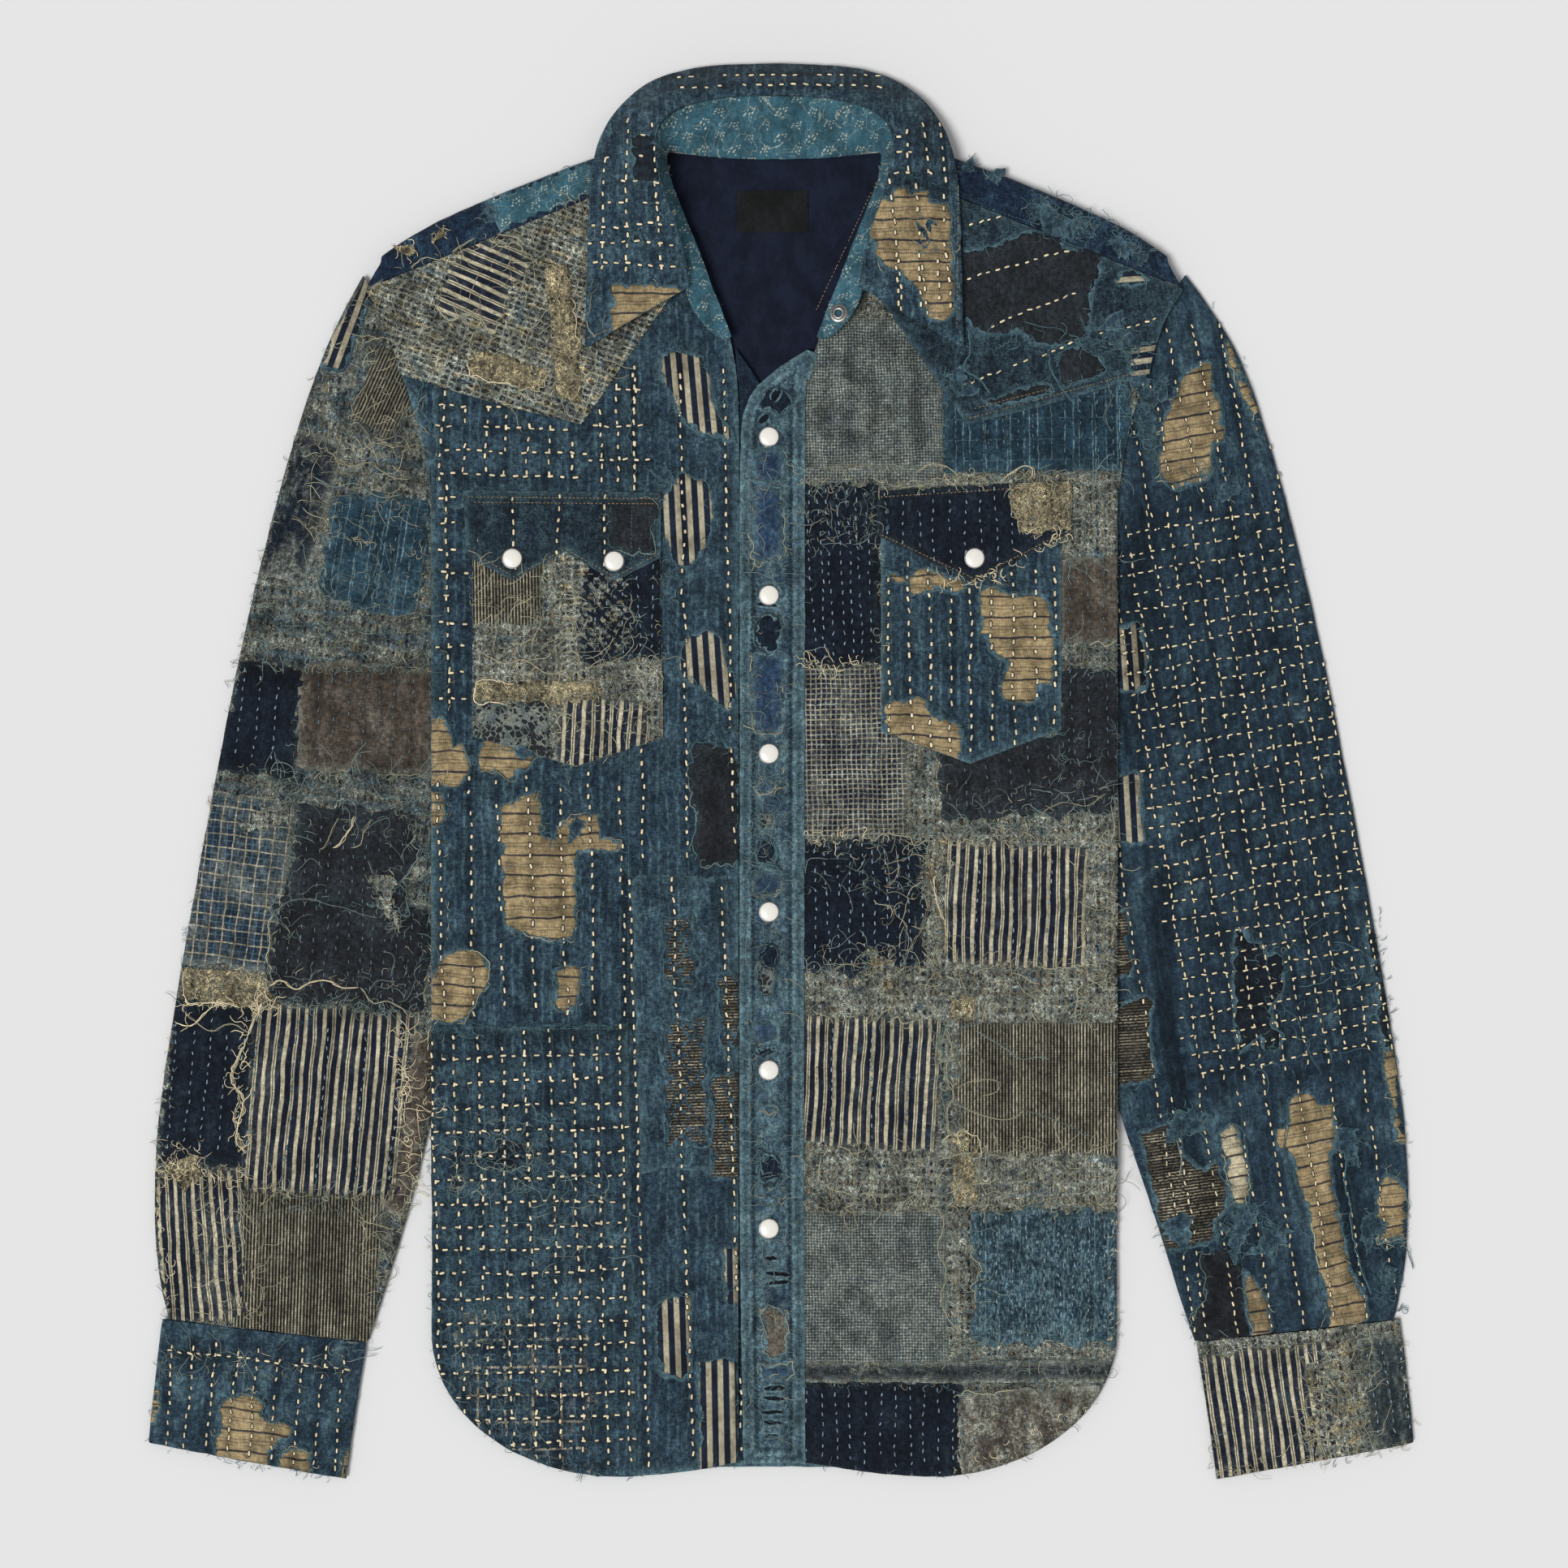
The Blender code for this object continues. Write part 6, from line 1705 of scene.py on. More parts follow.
def cut_outline(node, side, seed):
    """The edge of a flat cut, a little uneven, anticlockwise in plan."""
    outline = rounded(outline_of(node, side), OUTLINE_STEP)
    if side < 0:
        outline.reverse()
    return [(x + 0.35 * wave(x, y, 9.0, seed), y + 0.35 * wave(x, y, 9.0, seed + 9.0)) for x, y in outline]


def heights_of(node, outline, points, height, side):
    """The middle height of a flat cut, and the even height of each of its points."""
    if height is None:
        own = Skin(*faces_of(node), outline)
        heights = [own.drop(x, y, side) for x, y in points]
    else:
        heights = [height(x, y) for x, y in points]
    middle = float(np.median(np.array([h for h in heights if h is not None], dtype=float)))
    return middle, fill_gaps(points, heights)


def worked(node, points, away, seed, ripple, side):
    """The relief of a flat cut, its rise over its even form, and how rubbed it is; away is from its edge."""
    xs, ys = np.array([p[0] for p in points]), np.array([p[1] for p in points])
    relief = relief_at(node, xs, ys, seed, ripple, side)
    rise = relief * np.clip(away / 6.0, 0.15, 1.0) * (1.0 if side > 0 else 0.5)
    rubbed = np.exp(-(away / 3.0))
    if node == "placket":
        welts = sum(high * np.exp(-(((away - place) / 0.9) ** 2)) for place, high in WELTS)
        rise += welts
        # The welts are made deeper in the relief values alone, which paints shade in their grooves and
        # highlight on their ridges
        relief += 1.8 * welts
        rubbed = np.maximum(rubbed, 0.9 * np.exp(-(((away - WELTS[2][0]) / 0.8) ** 2)))
    hem = 0.45 * np.exp(-(((away - 3.0) / 2.0) ** 2)) - 0.5 * np.exp(-((away / 1.3) ** 2))
    return relief, rise + hem * 0.7, rubbed


def hidden_face(rim, inner, sides, skin, middle, depth, side):
    """The coarse hidden face of a flat cut: its inner points, and triangles over its rim and those."""
    flat = [Vector(p) for p in rim + inner]
    found, _, triangles, *_ = delaunay_2d_cdt(flat, sides, [], 1, CUT_TOLERANCE)
    hidden = []
    for p in found[len(rim):]:
        z = skin.drop(p.x, p.y, side)
        hidden.append((p.x, p.y, (middle if z is None else z) - side * depth))
    return hidden, triangles


def flat_cloth(
    node,
    fabric,
    thickness,
    height=None,
    side=1,
    lift=0.0,
    grid=None,
    turn=0.0,
    seed=1.0,
    soften=14,
    ripple=1.0,
):
    """A cut that lies nearly flat: fine on the face that shows, coarse on its hidden face."""
    outline = cut_outline(node, side, seed)
    points, triangles = filled(outline, grid or sizes("cloth_grid"))
    middle, heights = heights_of(node, outline, points, height, side)
    heights = smoothed(heights, triangles, soften) + lift * side
    edge = edge_tree(outline)
    away = np.array([edge.find((x, y, 0.0))[2] for x, y in points])
    relief, rise, rubbed = worked(node, points, away, seed, ripple, side)
    top = heights + side * rise
    if side < 0:
        top = np.maximum(top, LOWEST)

    count = len(points)
    upper = [(x, y, z) for (x, y), z in zip(points, top.tolist())]
    sides = boundary(triangles)
    ring = sorted({k for pair in sides for k in pair})
    order = {k: n for n, k in enumerate(ring)}
    lower = [(points[k][0], points[k][1], float(top[k]) - side * thickness) for k in ring]
    skin = Skin(upper, triangles, outline)
    hidden, back = hidden_face(
        [points[k] for k in ring],
        lattice(points[: len(outline)], HIDDEN_GRID, 0.6),
        [(order[a], order[b]) for a, b in sides],
        skin,
        middle,
        thickness + HIDDEN_GAP,
        side,
    )
    faces = [facing(t, side) for t in triangles]
    faces += [facing([count + n for n in t], -side) for t in back]
    faces += [facing((b, a, count + order[a], count + order[b]), side) for a, b in sides]
    rubbed = rubbed.tolist() + [1.0] * len(ring) + [0.0] * len(hidden)
    drawn = relief.tolist() + [0.0] * (len(ring) + len(hidden))
    values = {EDGE: rubbed, RELIEF: drawn}
    made = piece(node + "_cloth", upper + lower + hidden, faces, fabric, values, turn)
    skin.manner = (node, seed, ripple)
    SKINS[node] = skin
    return made


def fill_gaps(points, heights):
    """Heights with those missing taken from the nearest known point."""
    known = [k for k, h in enumerate(heights) if h is not None]
    tree = KDTree(len(known))
    for k in known:
        tree.insert((*points[k], 0.0), k)
    tree.balance()
    whole = []
    for (x, y), h in zip(points, heights):
        whole.append(float(heights[tree.find((x, y, 0.0))[1]] if h is None else h))
    return np.array(whole)


def faces_of(node):
    work = welded(node)
    points = [tuple(v.co) for v in work.verts]
    faces = [tuple(v.index for v in face.verts) for face in work.faces]
    work.free()
    return points, faces


SOFT_LEVELS = 3  # how often the faces of a shaped cloth are halved
EVEN_ANGLE = math.radians(35.0)  # two triangles that meet flatter than this become one face
EVEN_SHAPE = math.radians(75.0)
CREASE_ANGLE = math.radians(55.0)  # an edge that turns more than this stays a crease
CORNER_HOLD = 0.9  # how firmly the corner of three creases is held


def shaped_cloth(node, fabric, turn=0.0, seed=1.0, ripple=1.0, floor=-10.0, low=2.2, keep=0.55):
    """A cut whose solid folds over or closes on itself: its form made fine and soft, then puckered."""
    work = welded(node)
    bmesh.ops.join_triangles(
        work,
        faces=work.faces,
        cmp_seam=False,
        cmp_sharp=False,
        cmp_uvs=False,
        cmp_vcols=False,
        cmp_materials=False,
        angle_face_threshold=EVEN_ANGLE,
        angle_shape_threshold=EVEN_SHAPE,
    )
    crease = work.edges.layers.float.new("crease_edge")
    pin = work.verts.layers.float.new("crease_vert")
    for edge in work.edges:
        if len(edge.link_faces) == 2 and edge.calc_face_angle(0.0) > CREASE_ANGLE:
            edge[crease] = keep
    for vert in work.verts:
        if sum(edge[crease] > 0.0 for edge in vert.link_edges) >= 3:
            vert[pin] = CORNER_HOLD
    coarse = bpy.data.meshes.new(node + "_coarse")
    work.to_mesh(coarse)
    work.free()
    guide = bpy.data.objects.new(node + "_coarse", coarse)
    bpy.context.scene.collection.objects.link(guide)
    finer = guide.modifiers.new("Soft", "SUBSURF")
    finer.levels = SOFT_LEVELS
    finer.render_levels = SOFT_LEVELS
    graph = bpy.context.evaluated_depsgraph_get()
    fine = bpy.data.meshes.new_from_object(guide.evaluated_get(graph))
    bpy.data.objects.remove(guide)
    bpy.data.meshes.remove(coarse)
    count = len(fine.vertices)
    places = np.zeros(count * 3)
    fine.vertices.foreach_get("co", places)
    places = places.reshape(-1, 3)
    xs, ys = places[:, 0].copy(), places[:, 1].copy()
    relief = relief_at(node, xs, ys, seed, ripple * 1.15, 1)
    raised = np.clip((places[:, 2] - low) / 2.4, 0.0, 1.0)
    places[:, 2] += relief * raised
    places[:, 0] += 0.5 * crumple_at(xs, ys, seed + 20.0)
    places[:, 1] += 0.5 * crumple_at(xs, ys, seed + 40.0)
    points = [tuple(p) for p in places.tolist()]
    faces = [tuple(face.vertices) for face in fine.polygons]
    bpy.data.meshes.remove(fine)
    made = piece(node + "_cloth", points, faces, fabric, {RELIEF: relief * raised}, turn)
    plan = outline_of(node, -1)[::-1] if node == "back_yoke" else outline_of(node)
    SKINS[node] = Skin(points, faces, rounded(plan, OUTLINE_STEP), floor)
    SKINS[node].manner = (node, seed, ripple)
    return made


class Pile:
    """Many small things gathered into one mesh. Each thing gives the same named values."""

    def __init__(self):
        self.points, self.faces, self.uv, self.values = [], [], [], {}

    def add(self, points, faces, values, uv=None):
        base = len(self.points)
        self.points += points
        self.faces += [tuple(k + base for k in face) for face in faces]
        for name, given in values.items():
            each = given if isinstance(given, list) else [given] * len(points)
            self.values.setdefault(name, []).extend(each)
        self.uv += uv or [(p[0], p[1]) for p in points]

    def make(self, name, fabric, sharp=0.0):
        return piece(name, self.points, self.faces, fabric, self.values, uv=self.uv, sharp=sharp)


def ragged(x0, x1, y0, y1, turn, rag, seed):
    """The worn outline of a patch: a turned rectangle, eaten at its edges."""
    middle_x, middle_y, half_x, half_y = middle_and_half(x0, x1, y0, y1)
    cosine, sine = leaning(turn)
    bend = min(half_x, half_y, 0.8 + 0.9 * rag)
    corners = [(half_x - bend, half_y - bend, 0), (-half_x + bend, half_y - bend, 90)]
    corners += [(-half_x + bend, -half_y + bend, 180), (half_x - bend, -half_y + bend, 270)]
    soft = []
    for cx, cy, start in corners:
        parts = max(2, math.ceil(bend * 1.57 / WORN_STEP))
        for k in range(parts + 1):
            angle = math.radians(start + 90.0 * k / parts)
            soft.append((cx + bend * math.cos(angle), cy + bend * math.sin(angle)))
    outline = []
    for (ax, ay), (bx, by) in neighbours(soft):
        parts = max(1, math.ceil(math.hypot(bx - ax, by - ay) / WORN_STEP))
        outline += [(ax + (bx - ax) * k / parts, ay + (by - ay) * k / parts) for k in range(parts)]
    worn = []
    for x, y in outline:
        reach = math.hypot(x, y) or 1.0
        bite = 1.3 * wave(x, y, 13.0, seed) + 0.7 * wave(x, y, 5.0, seed + 3.0)
        bite = rag * bite + (0.3 + 0.16 * rag) * wave(x, y, 1.9, seed + 8.0)
        x, y = x * (1 + bite / reach), y * (1 + bite / reach)
        worn.append((middle_x + x * cosine - y * sine, middle_y + x * sine + y * cosine))
    return worn


def torn(corners, seed):
    """The uneven outline of a torn window: soft through its corners, with a fine ragged edge."""
    outline = []
    for x, y in rounded(corners, 1.7, 62.0):
        bite = [
            0.9 * wave(x, y, 6.0, seed + shift) + 0.8 * wave(x, y, 1.9, seed + shift)
            for shift in (0.0, 20.0)
        ]
        outline.append((x + bite[0], y + bite[1]))
    return outline if turns_left(outline) else outline[::-1]


def turns_left(outline):
    """Whether an outline runs anticlockwise."""
    return sum(a[0] * b[1] - b[0] * a[1] for a, b in neighbours(outline)) > 0.0


TEAR = "torn_"  # leads the name of the pile of lips round tears in a fabric
TORN = ("tan", "pale_tan", "ticking", "ribs", "twill", "denim_dark")  # seen through tears in the cloth above


GRAIN_SHIFT = 37.0  # moves the grain of each patch on, so that no two show the same part of a fabric
BACK_LIFT = 0.25  # how far a patch of the hidden side stands off the cloth
SKIRT = 0.35  # how far the edge of a patch goes down into the cloth below it


def boxed(table):
    """The patches of a grouped table, each as its cloth, fabric, turn, fray, and its box with its rag."""
    rows = [(cloth, *row) for cloth, patches in table.items() for row in patches]
    return [(cloth, fabric, turn, fray, (*box, rag)) for cloth, fabric, *box, turn, rag, fray in rows]


def laid_patch(skin, outline, points, triangles, heights, own_lift, turn, offset, seed, side):
    """One patch as points, faces, values and grain: its face, and a skirt down to the cloth below."""
    sides = boundary(triangles)
    rim = {k for pair in sides for k in pair}
    edge = edge_tree(outline)
    xs, ys = np.array([p[0] for p in points]), np.array([p[1] for p in points])
    relief = relief_at(*skin.manner[:1], xs, ys, *skin.manner[1:], side).tolist()
    top, wear = [], []
    for k, (x, y) in enumerate(points):
        wear.append(math.exp(-edge.find((x, y, 0.0))[2] / 2.2))
        curl = 0.5 * wave(x, y, 6.0, seed + 2.0) if k in rim and side > 0 else 0.0
        rise = own_lift * (0.55 if k in rim else 1.0) + max(0.0, curl)
        top.append((x, y, (heights[k] or 0.0) + side * rise))
    order = {k: len(top) + n for n, k in enumerate(sorted(rim))}
    skirt = [(*points[k], (heights[k] or 0.0) - side * SKIRT) for k in sorted(rim)]
    faces = [facing(t, side) for t in triangles]
    faces += [facing((b, a, order[a], order[b]), side) for a, b in sides]
    cosine, sine = leaning(turn)
    uv = [(x * cosine + y * sine + offset, y * cosine - x * sine + offset) for x, y, _ in top + skirt]
    values = {EDGE: wear + [1.0] * len(skirt), RELIEF: relief + [0.0] * len(skirt)}
    return top + skirt, faces, values, uv


def lay_patches(table, side, suffix):
    """Cuts each patch to the cloth that it lies on and gathers the patches of one fabric in one piece."""
    piles, borders, laid = {}, [], {}
    lift, grid = sizes("patch_lift"), sizes("patch_grid")
    for number, (cloth, fabric, turn, fray, shape) in enumerate(table):
        seed = 3.7 * number + (50.0 if side < 0 else 0.0)
        if isinstance(shape, list):
            outline = torn(shape, seed)
        else:
            *box, rag = shape
            outline = ragged(*box, turn, rag, seed)
        skin = SKINS[cloth]
        points, triangles = filled(outline, grid, inset(skin.outline, 0.3))
        heights = [skin.drop(x, y, side) for x, y in points]
        triangles = [t for t in triangles if all(heights[k] is not None for k in t)]
        if not triangles:
            continue
        laid[cloth] = laid.get(cloth, 0) + 1
        own_lift = lift * (0.8 + 0.01 * laid[cloth]) if side > 0 else BACK_LIFT
        cut = outline, points, triangles, heights
        patch = laid_patch(skin, *cut, own_lift, turn, GRAIN_SHIFT * number, seed, side)
        piles.setdefault(fabric, Pile()).add(*patch)
        if side > 0 and (fabric in TORN or cloth == "placket"):
            lip = TEAR + ("placket_blue" if cloth == "placket" else "indigo_worn")
            tear(piles.setdefault(lip, Pile()), skin, cloth, outline, own_lift, seed)
        edges = [(points[a], points[b]) for a, b in boundary(triangles)]
        borders.append((cloth, fabric, edges, outline, fray))
    for fabric, pile in sorted(piles.items()):
        pile.make(f"patches_{fabric}{suffix}", fabric.removeprefix(TEAR))
    return borders


def tear(pile, skin, cloth, outline, lift, seed):
    """The raised, tattered lip of the cloth above, all round a tear."""
    count = len(outline)
    stations = []
    for k in range(count):
        (ax, ay), (x, y), (bx, by) = outline[k - 1], outline[k], outline[(k + 1) % count]
        run = math.hypot(bx - ax, by - ay) or 1.0
        nx, ny = (by - ay) / run, -(bx - ax) / run
        rough = wave(x, y, 7.0, seed) + 0.8 * wave(x, y, 2.4, seed + 4.0)
        reach = max(0.1, 0.9 + 2.6 * rough)
        spread = 1.5 + 0.9 * wave(x, y, 9.0, seed + 6.0)
        places = [(x + nx * spread, y + ny * spread), (x, y), (x - nx * reach, y - ny * reach)]
        heights = [skin.drop(px, py) for px, py in places]
        if None in heights or not on_cloth(cloth, *places):
            stations.append(None)
            continue
        curl = 0.35 + 0.5 * max(0.0, wave(x, y, 5.0, seed + 9.0))
        lifts = (0.05, lift + 0.35 + 0.4 * curl, lift + curl)
        stations.append([(px, py, h + up) for (px, py), h, up in zip(places, heights, lifts)])
    for one, other in neighbours(stations):
        if one and other:
            # These relief values paint shade at the foot of the lip and highlight on its crest
            wear = {EDGE: [0.1, 0.5, 1.0] * 2, RELIEF: [-0.2, 0.5, 0.7] * 2}
            pile.add(one + other, [(0, 3, 4, 1), (1, 4, 5, 2)], wear)


def inset(outline, distance):
    """An outline moved inwards. It runs anticlockwise or clockwise."""
    count = len(outline)
    way = 1.0 if turns_left(outline) else -1.0
    moved = []
    for k, (x, y) in enumerate(outline):
        (ax, ay), (bx, by) = outline[k - 1], outline[(k + 1) % count]
        reach = math.hypot(bx - ax, by - ay) or 1.0
        moved.append((x - way * distance * (by - ay) / reach, y + way * distance * (bx - ax) / reach))
    return moved


def whole_surface():
    """Everything laid so far as one surface."""
    points, faces = [], []
    for made in bpy.data.objects:
        if not (made.name.endswith("_cloth") or made.name.startswith("patches_")):
            continue
        count = len(made.data.vertices)
        places = np.zeros(count * 3)
        made.data.vertices.foreach_get("co", places)
        base = len(points)
        points += [tuple(p) for p in (places.reshape(-1, 3) / MM).tolist()]
        faces += [tuple(k + base for k in face.vertices) for face in made.data.polygons]
    return Skin(points, faces, [])


class Threads:
    """Gathers the threads laid on one side of a surface, by shade."""

    def __init__(self, surface, side, dice):
        self.surface, self.side = surface, side
        self.piles = {}
        self.dice = random.Random(DICE[dice])

    def add(self, thread, points, faces):
        self.piles.setdefault(thread, Pile()).add(points, faces, {TONE: self.dice.random()})

    def make(self, name, suffix=""):
        for thread, pile in sorted(self.piles.items()):
            pile.make(f"{name}_{thread}{suffix}", "thread_" + thread)


# One stitch, station by station: share of its length, of its width and of its height
STITCH_ROWS = ((0.0, 0.3, -0.1), (0.22, 1.0, 0.5), (0.78, 1.0, 0.5), (1.0, 0.3, -0.1))
# Across one stitch: share of half its width, share of its height
STITCH_ARCH = ((-1.0, -0.15), (-0.55, 0.75), (0.55, 0.75), (1.0, -0.15))
# Round the painted shadow of a stitch, which also stands for the dark needle holes at its ends: share of its
# length, share of half its width
SHADOW_RING = ((-0.16, 0.0), (0.12, 1.5), (0.88, 1.5), (1.16, 0.0), (0.88, -1.5), (0.12, -1.5))
SHADOW_RING_FACES = [(0, 5, 1), (1, 5, 4), (1, 4, 2), (2, 4, 3)]
STEEPEST_STITCH = 1.6  # a stitch that would climb more than this is left out


class Stitcher(Threads):
    """Lays running stitches on a surface."""

    def __init__(self, surface, side, dice):
        super().__init__(surface, side, dice)
        self.hand = sizes("stitch_pitch"), sizes("stitch"), sizes("stitch_width")

    def stitch(self, a, b, width, thread):
        """One stitch, a low arch of thread from a to b."""
        za, zb = self.surface.drop(*a, self.side), self.surface.drop(*b, self.side)
        if za is None or zb is None or abs(za - zb) > STEEPEST_STITCH:
            return
        dx, dy = b[0] - a[0], b[1] - a[1]
        reach = math.hypot(dx, dy) or 1.0
        nx, ny = -dy / reach * width / 2, dx / reach * width / 2
        points = []
        for t, wide, high in STITCH_ROWS:
            x, y, z = a[0] + dx * t, a[1] + dy * t, za + (zb - za) * t
            for across, up in STITCH_ARCH:
                lift = high * max(up, 0.0) * 1.25 if up > 0 else -0.12
                points.append((x + nx * across * wide, y + ny * across * wide, z + self.side * lift))
        faces = []
        for first in (row * 4 + k for row in range(3) for k in range(3)):
            faces.append(facing((first, first + 1, first + 5, first + 4), -self.side))
        self.add(thread, points, faces)
        # A stitch on the face wider than 0.7 mm gets a painted shadow under it
        if self.side > 0 and width > 0.7:
            self.stitch_shadow(a, b, (nx, ny), za, zb)

    def stitch_shadow(self, a, b, across, za, zb):
        """A painted shadow round a stitch, with the dark needle holes at its ends: a flat dark lozenge just
        under it.
        """
        ring = []
        for t, wide in SHADOW_RING:
            x = a[0] + (b[0] - a[0]) * t + across[0] * wide
            y = a[1] + (b[1] - a[1]) * t + across[1] * wide
            ring.append((x, y, za + (zb - za) * t + 0.14))
        self.add("dark", ring, SHADOW_RING_FACES)

    def run(self, a, b, thread, only=None):
        """A row of stitches from a to b, in the hand of whoever sewed it."""
        pitch, stitch, width = (size * share for size, share in zip(self.hand, HANDS[thread]))
        dice = self.dice
        whole = math.dist(a, b)
        ux, uy = (b[0] - a[0]) / whole, (b[1] - a[1]) / whole
        phase = dice.uniform(0, 30)
        sway, loose = (0.0, 0.0) if pitch < 3.0 else (1.7, 0.32)
        t = dice.uniform(0, pitch)
        while t < whole:
            size = stitch * dice.uniform(0.72, 1.2)
            drift = []
            for at in (t, t + size):
                drift.append(sway * noise.noise((at / 30.0, phase, 1.0)) + dice.gauss(0, loose))
            start = (a[0] + ux * t - uy * drift[0], a[1] + uy * t + ux * drift[0])
            end = (a[0] + ux * (t + size) - uy * drift[1], a[1] + uy * (t + size) + ux * drift[1])
            if dice.random() > 0.05 and (only is None or on_cloth(only, start, end)):
                self.stitch(start, end, width * dice.uniform(0.8, 1.2), thread)
            t += pitch * dice.uniform(0.86, 1.14)


STACK = (  # the cloths that show from above, lowest first
    "back_yoke",
    "sleeve_right",
    "sleeve_left",
    "cuff_right",
    "cuff_left",
    "front_right",
    "front_left",
    "under_placket",
    "front_yoke_right",
    "front_yoke_left",
    "pocket_right",
    "pocket_left",
    "flap_right",
    "flap_left",
    "placket",
    "collar_stand",
    "collar_leaf",
)
PLAN_HALF = 430  # half the side of the plan map, which has one cell to each square millimetre


def painted(outline):
    """The cells of the plan map that lie in an outline, as a mask."""
    mask = np.zeros((2 * PLAN_HALF, 2 * PLAN_HALF), dtype=bool)
    ends = np.array(outline)
    starts = np.roll(ends, 1, axis=0)
    for row in range(2 * PLAN_HALF):
        y = row - PLAN_HALF + 0.5
        cross = (starts[:, 1] > y) != (ends[:, 1] > y)
        if cross.any():
            a, b = starts[cross], ends[cross]
            xs = np.sort(a[:, 0] + (b[:, 0] - a[:, 0]) * (y - a[:, 1]) / (b[:, 1] - a[:, 1])) + PLAN_HALF
            for low, high in zip(xs[::2], xs[1::2]):
                mask[row, max(0, math.ceil(low - 0.5)): max(0, math.floor(high + 0.5))] = True
    return mask


def make_plan():
    """The number in the stack of the cloth that shows at each place, or -1."""
    plan = np.full((2 * PLAN_HALF, 2 * PLAN_HALF), -1, dtype=np.int8)
    for number, cloth in enumerate(STACK):
        plan[painted(SKINS[cloth].outline)] = number
    return plan


def on_cloth(cloth, *places):
    """Whether a cloth is what shows at each of some places."""
    plan, number = SKINS["plan"], STACK.index(cloth)
    return all(plan[int(y + PLAN_HALF), int(x + PLAN_HALF)] == number for x, y in places)


def sew_grids(stitcher, table):
    for x0, x1, y0, y1, turn, row, column, thread, only in table:
        middle_x, middle_y, half_x, half_y = middle_and_half(x0, x1, y0, y1)
        cosine, sine = leaning(turn)

        def place(u, v):
            return middle_x + u * cosine - v * sine, middle_y + u * sine + v * cosine

        for pitch, far, reach, upright in ((row, half_y, half_x, False), (column, half_x, half_y, True)):
            if not pitch:
                continue
            for k in range(math.ceil(-far / pitch), math.floor(far / pitch) + 1):
                near, away = (k * pitch + stitcher.dice.gauss(0, 0.045 * pitch) for _ in range(2))
                first, last = (reach - stitcher.dice.uniform(-1.5, 3.5) for _ in range(2))
                ends = ((near, -first), (away, last)) if upright else ((-first, near), (last, away))
                stitcher.run(place(*ends[0]), place(*ends[1]), thread, only or None)


class Frayer(Threads):
    """Lays loose threads on a surface and off its edges."""

    def __init__(self, surface, side, dice):
        super().__init__(surface, side, dice)
        self.thickness = sizes("strand")

    def strand(self, x, y, heading, reach, thread, curl=0.7, width=1.0, lift=0.5, step=1.6):
        """One loose thread that wanders over the cloth, or out past its edge."""
        dice = self.dice
        path = []
        bend = dice.gauss(0, curl)
        for _ in range(max(3, int(reach / step))):
            path.append((x, y))
            bend = 0.6 * bend + dice.gauss(0, curl)
            heading += bend * step / 3.0
            x += math.cos(heading) * step
            y += math.sin(heading) * step
        self.lay(path, thread, width, lift)

    def rest(self, x, y, last):
        """The height that a thread rests at, which eases down steps in the cloth and off its edge."""
        z = self.surface.drop(x, y, self.side)
        if z is None or (self.side > 0 and z < 0.3):
            return max(0.4, (last or 1.0) - 0.5) if self.side > 0 else (last or 0.0)
        if last is not None and abs(z - last) > 2.5:
            return last + 0.8 * (z - last)
        return z

    def lay(self, path, thread, width=1.0, lift=0.5):
        """A thread along a path, arched a little off what lies below."""
        dice, side = self.dice, self.side
        radius = self.thickness * width / 2 * dice.uniform(0.8, 1.25)
        arch = lift * dice.uniform(0.3, 1.6)
        points, faces = [], []
        last = None
        count = len(path)
        for k, (x, y) in enumerate(path):
            last = self.rest(x, y, last)
            ax, ay = path[max(k - 1, 0)]
            bx, by = path[min(k + 1, count - 1)]
            run = math.hypot(bx - ax, by - ay) or 1.0
            slim = radius * (0.4 if k in (0, count - 1) else 1.0)
            nx, ny = -(by - ay) / run * slim, (bx - ax) / run * slim
            z = last + side * (0.15 + arch * math.sin(math.pi * k / (count - 1)))
            points += [(x + nx, y + ny, z), (x, y, z + side * 1.3 * slim), (x - nx, y - ny, z)]
        for k in range(0, 3 * count - 3, 3):
            faces += [facing((k + a, k + a + 1, k + a + 4, k + a + 3), -side) for a in (0, 1)]
        self.add(thread, points, faces)


PLAIN_FRAY = "grey ecru"  # what the edge of any other fabric sheds
FRAY_THREADS = {  # fabric: threads that its edge sheds, the commoner ones more than once
    "brown_pale": "grey ecru",
    "charcoal": "teal grey grey",
    "check": "grey ecru",
    "cream_gauze": "cream ecru",
    "deep_blue": "teal ecru",
    "denim": "teal grey",
    "denim_dark": "teal",
    "hairline": "grey ecru",
    "indigo_worn": "teal",
    "micro": "ecru grey",
    "navy": "grey ecru grey",
    "navy_worn": "teal dark",
    "net": "grey teal",
    "open_gauze": "ecru grey",
    "pale_tan": "teal ecru",
    "pins": "ecru grey teal",
    "pins_pale": "ecru grey teal",
    "plaid": "teal grey",
    "ribs": "teal",
    "sprig": "teal",
    "stripe": "ecru grey ecru",
    "tan": "teal teal teal ecru",
    "ticking": "teal",
    "torn_indigo": "teal teal grey",
    "twill": "teal",
}
EITHER_WAY = (0.0, math.pi)
FOUR_WAYS = (0.0, math.pi, math.pi / 2, -math.pi / 2)
ANY_WAY = 6.28


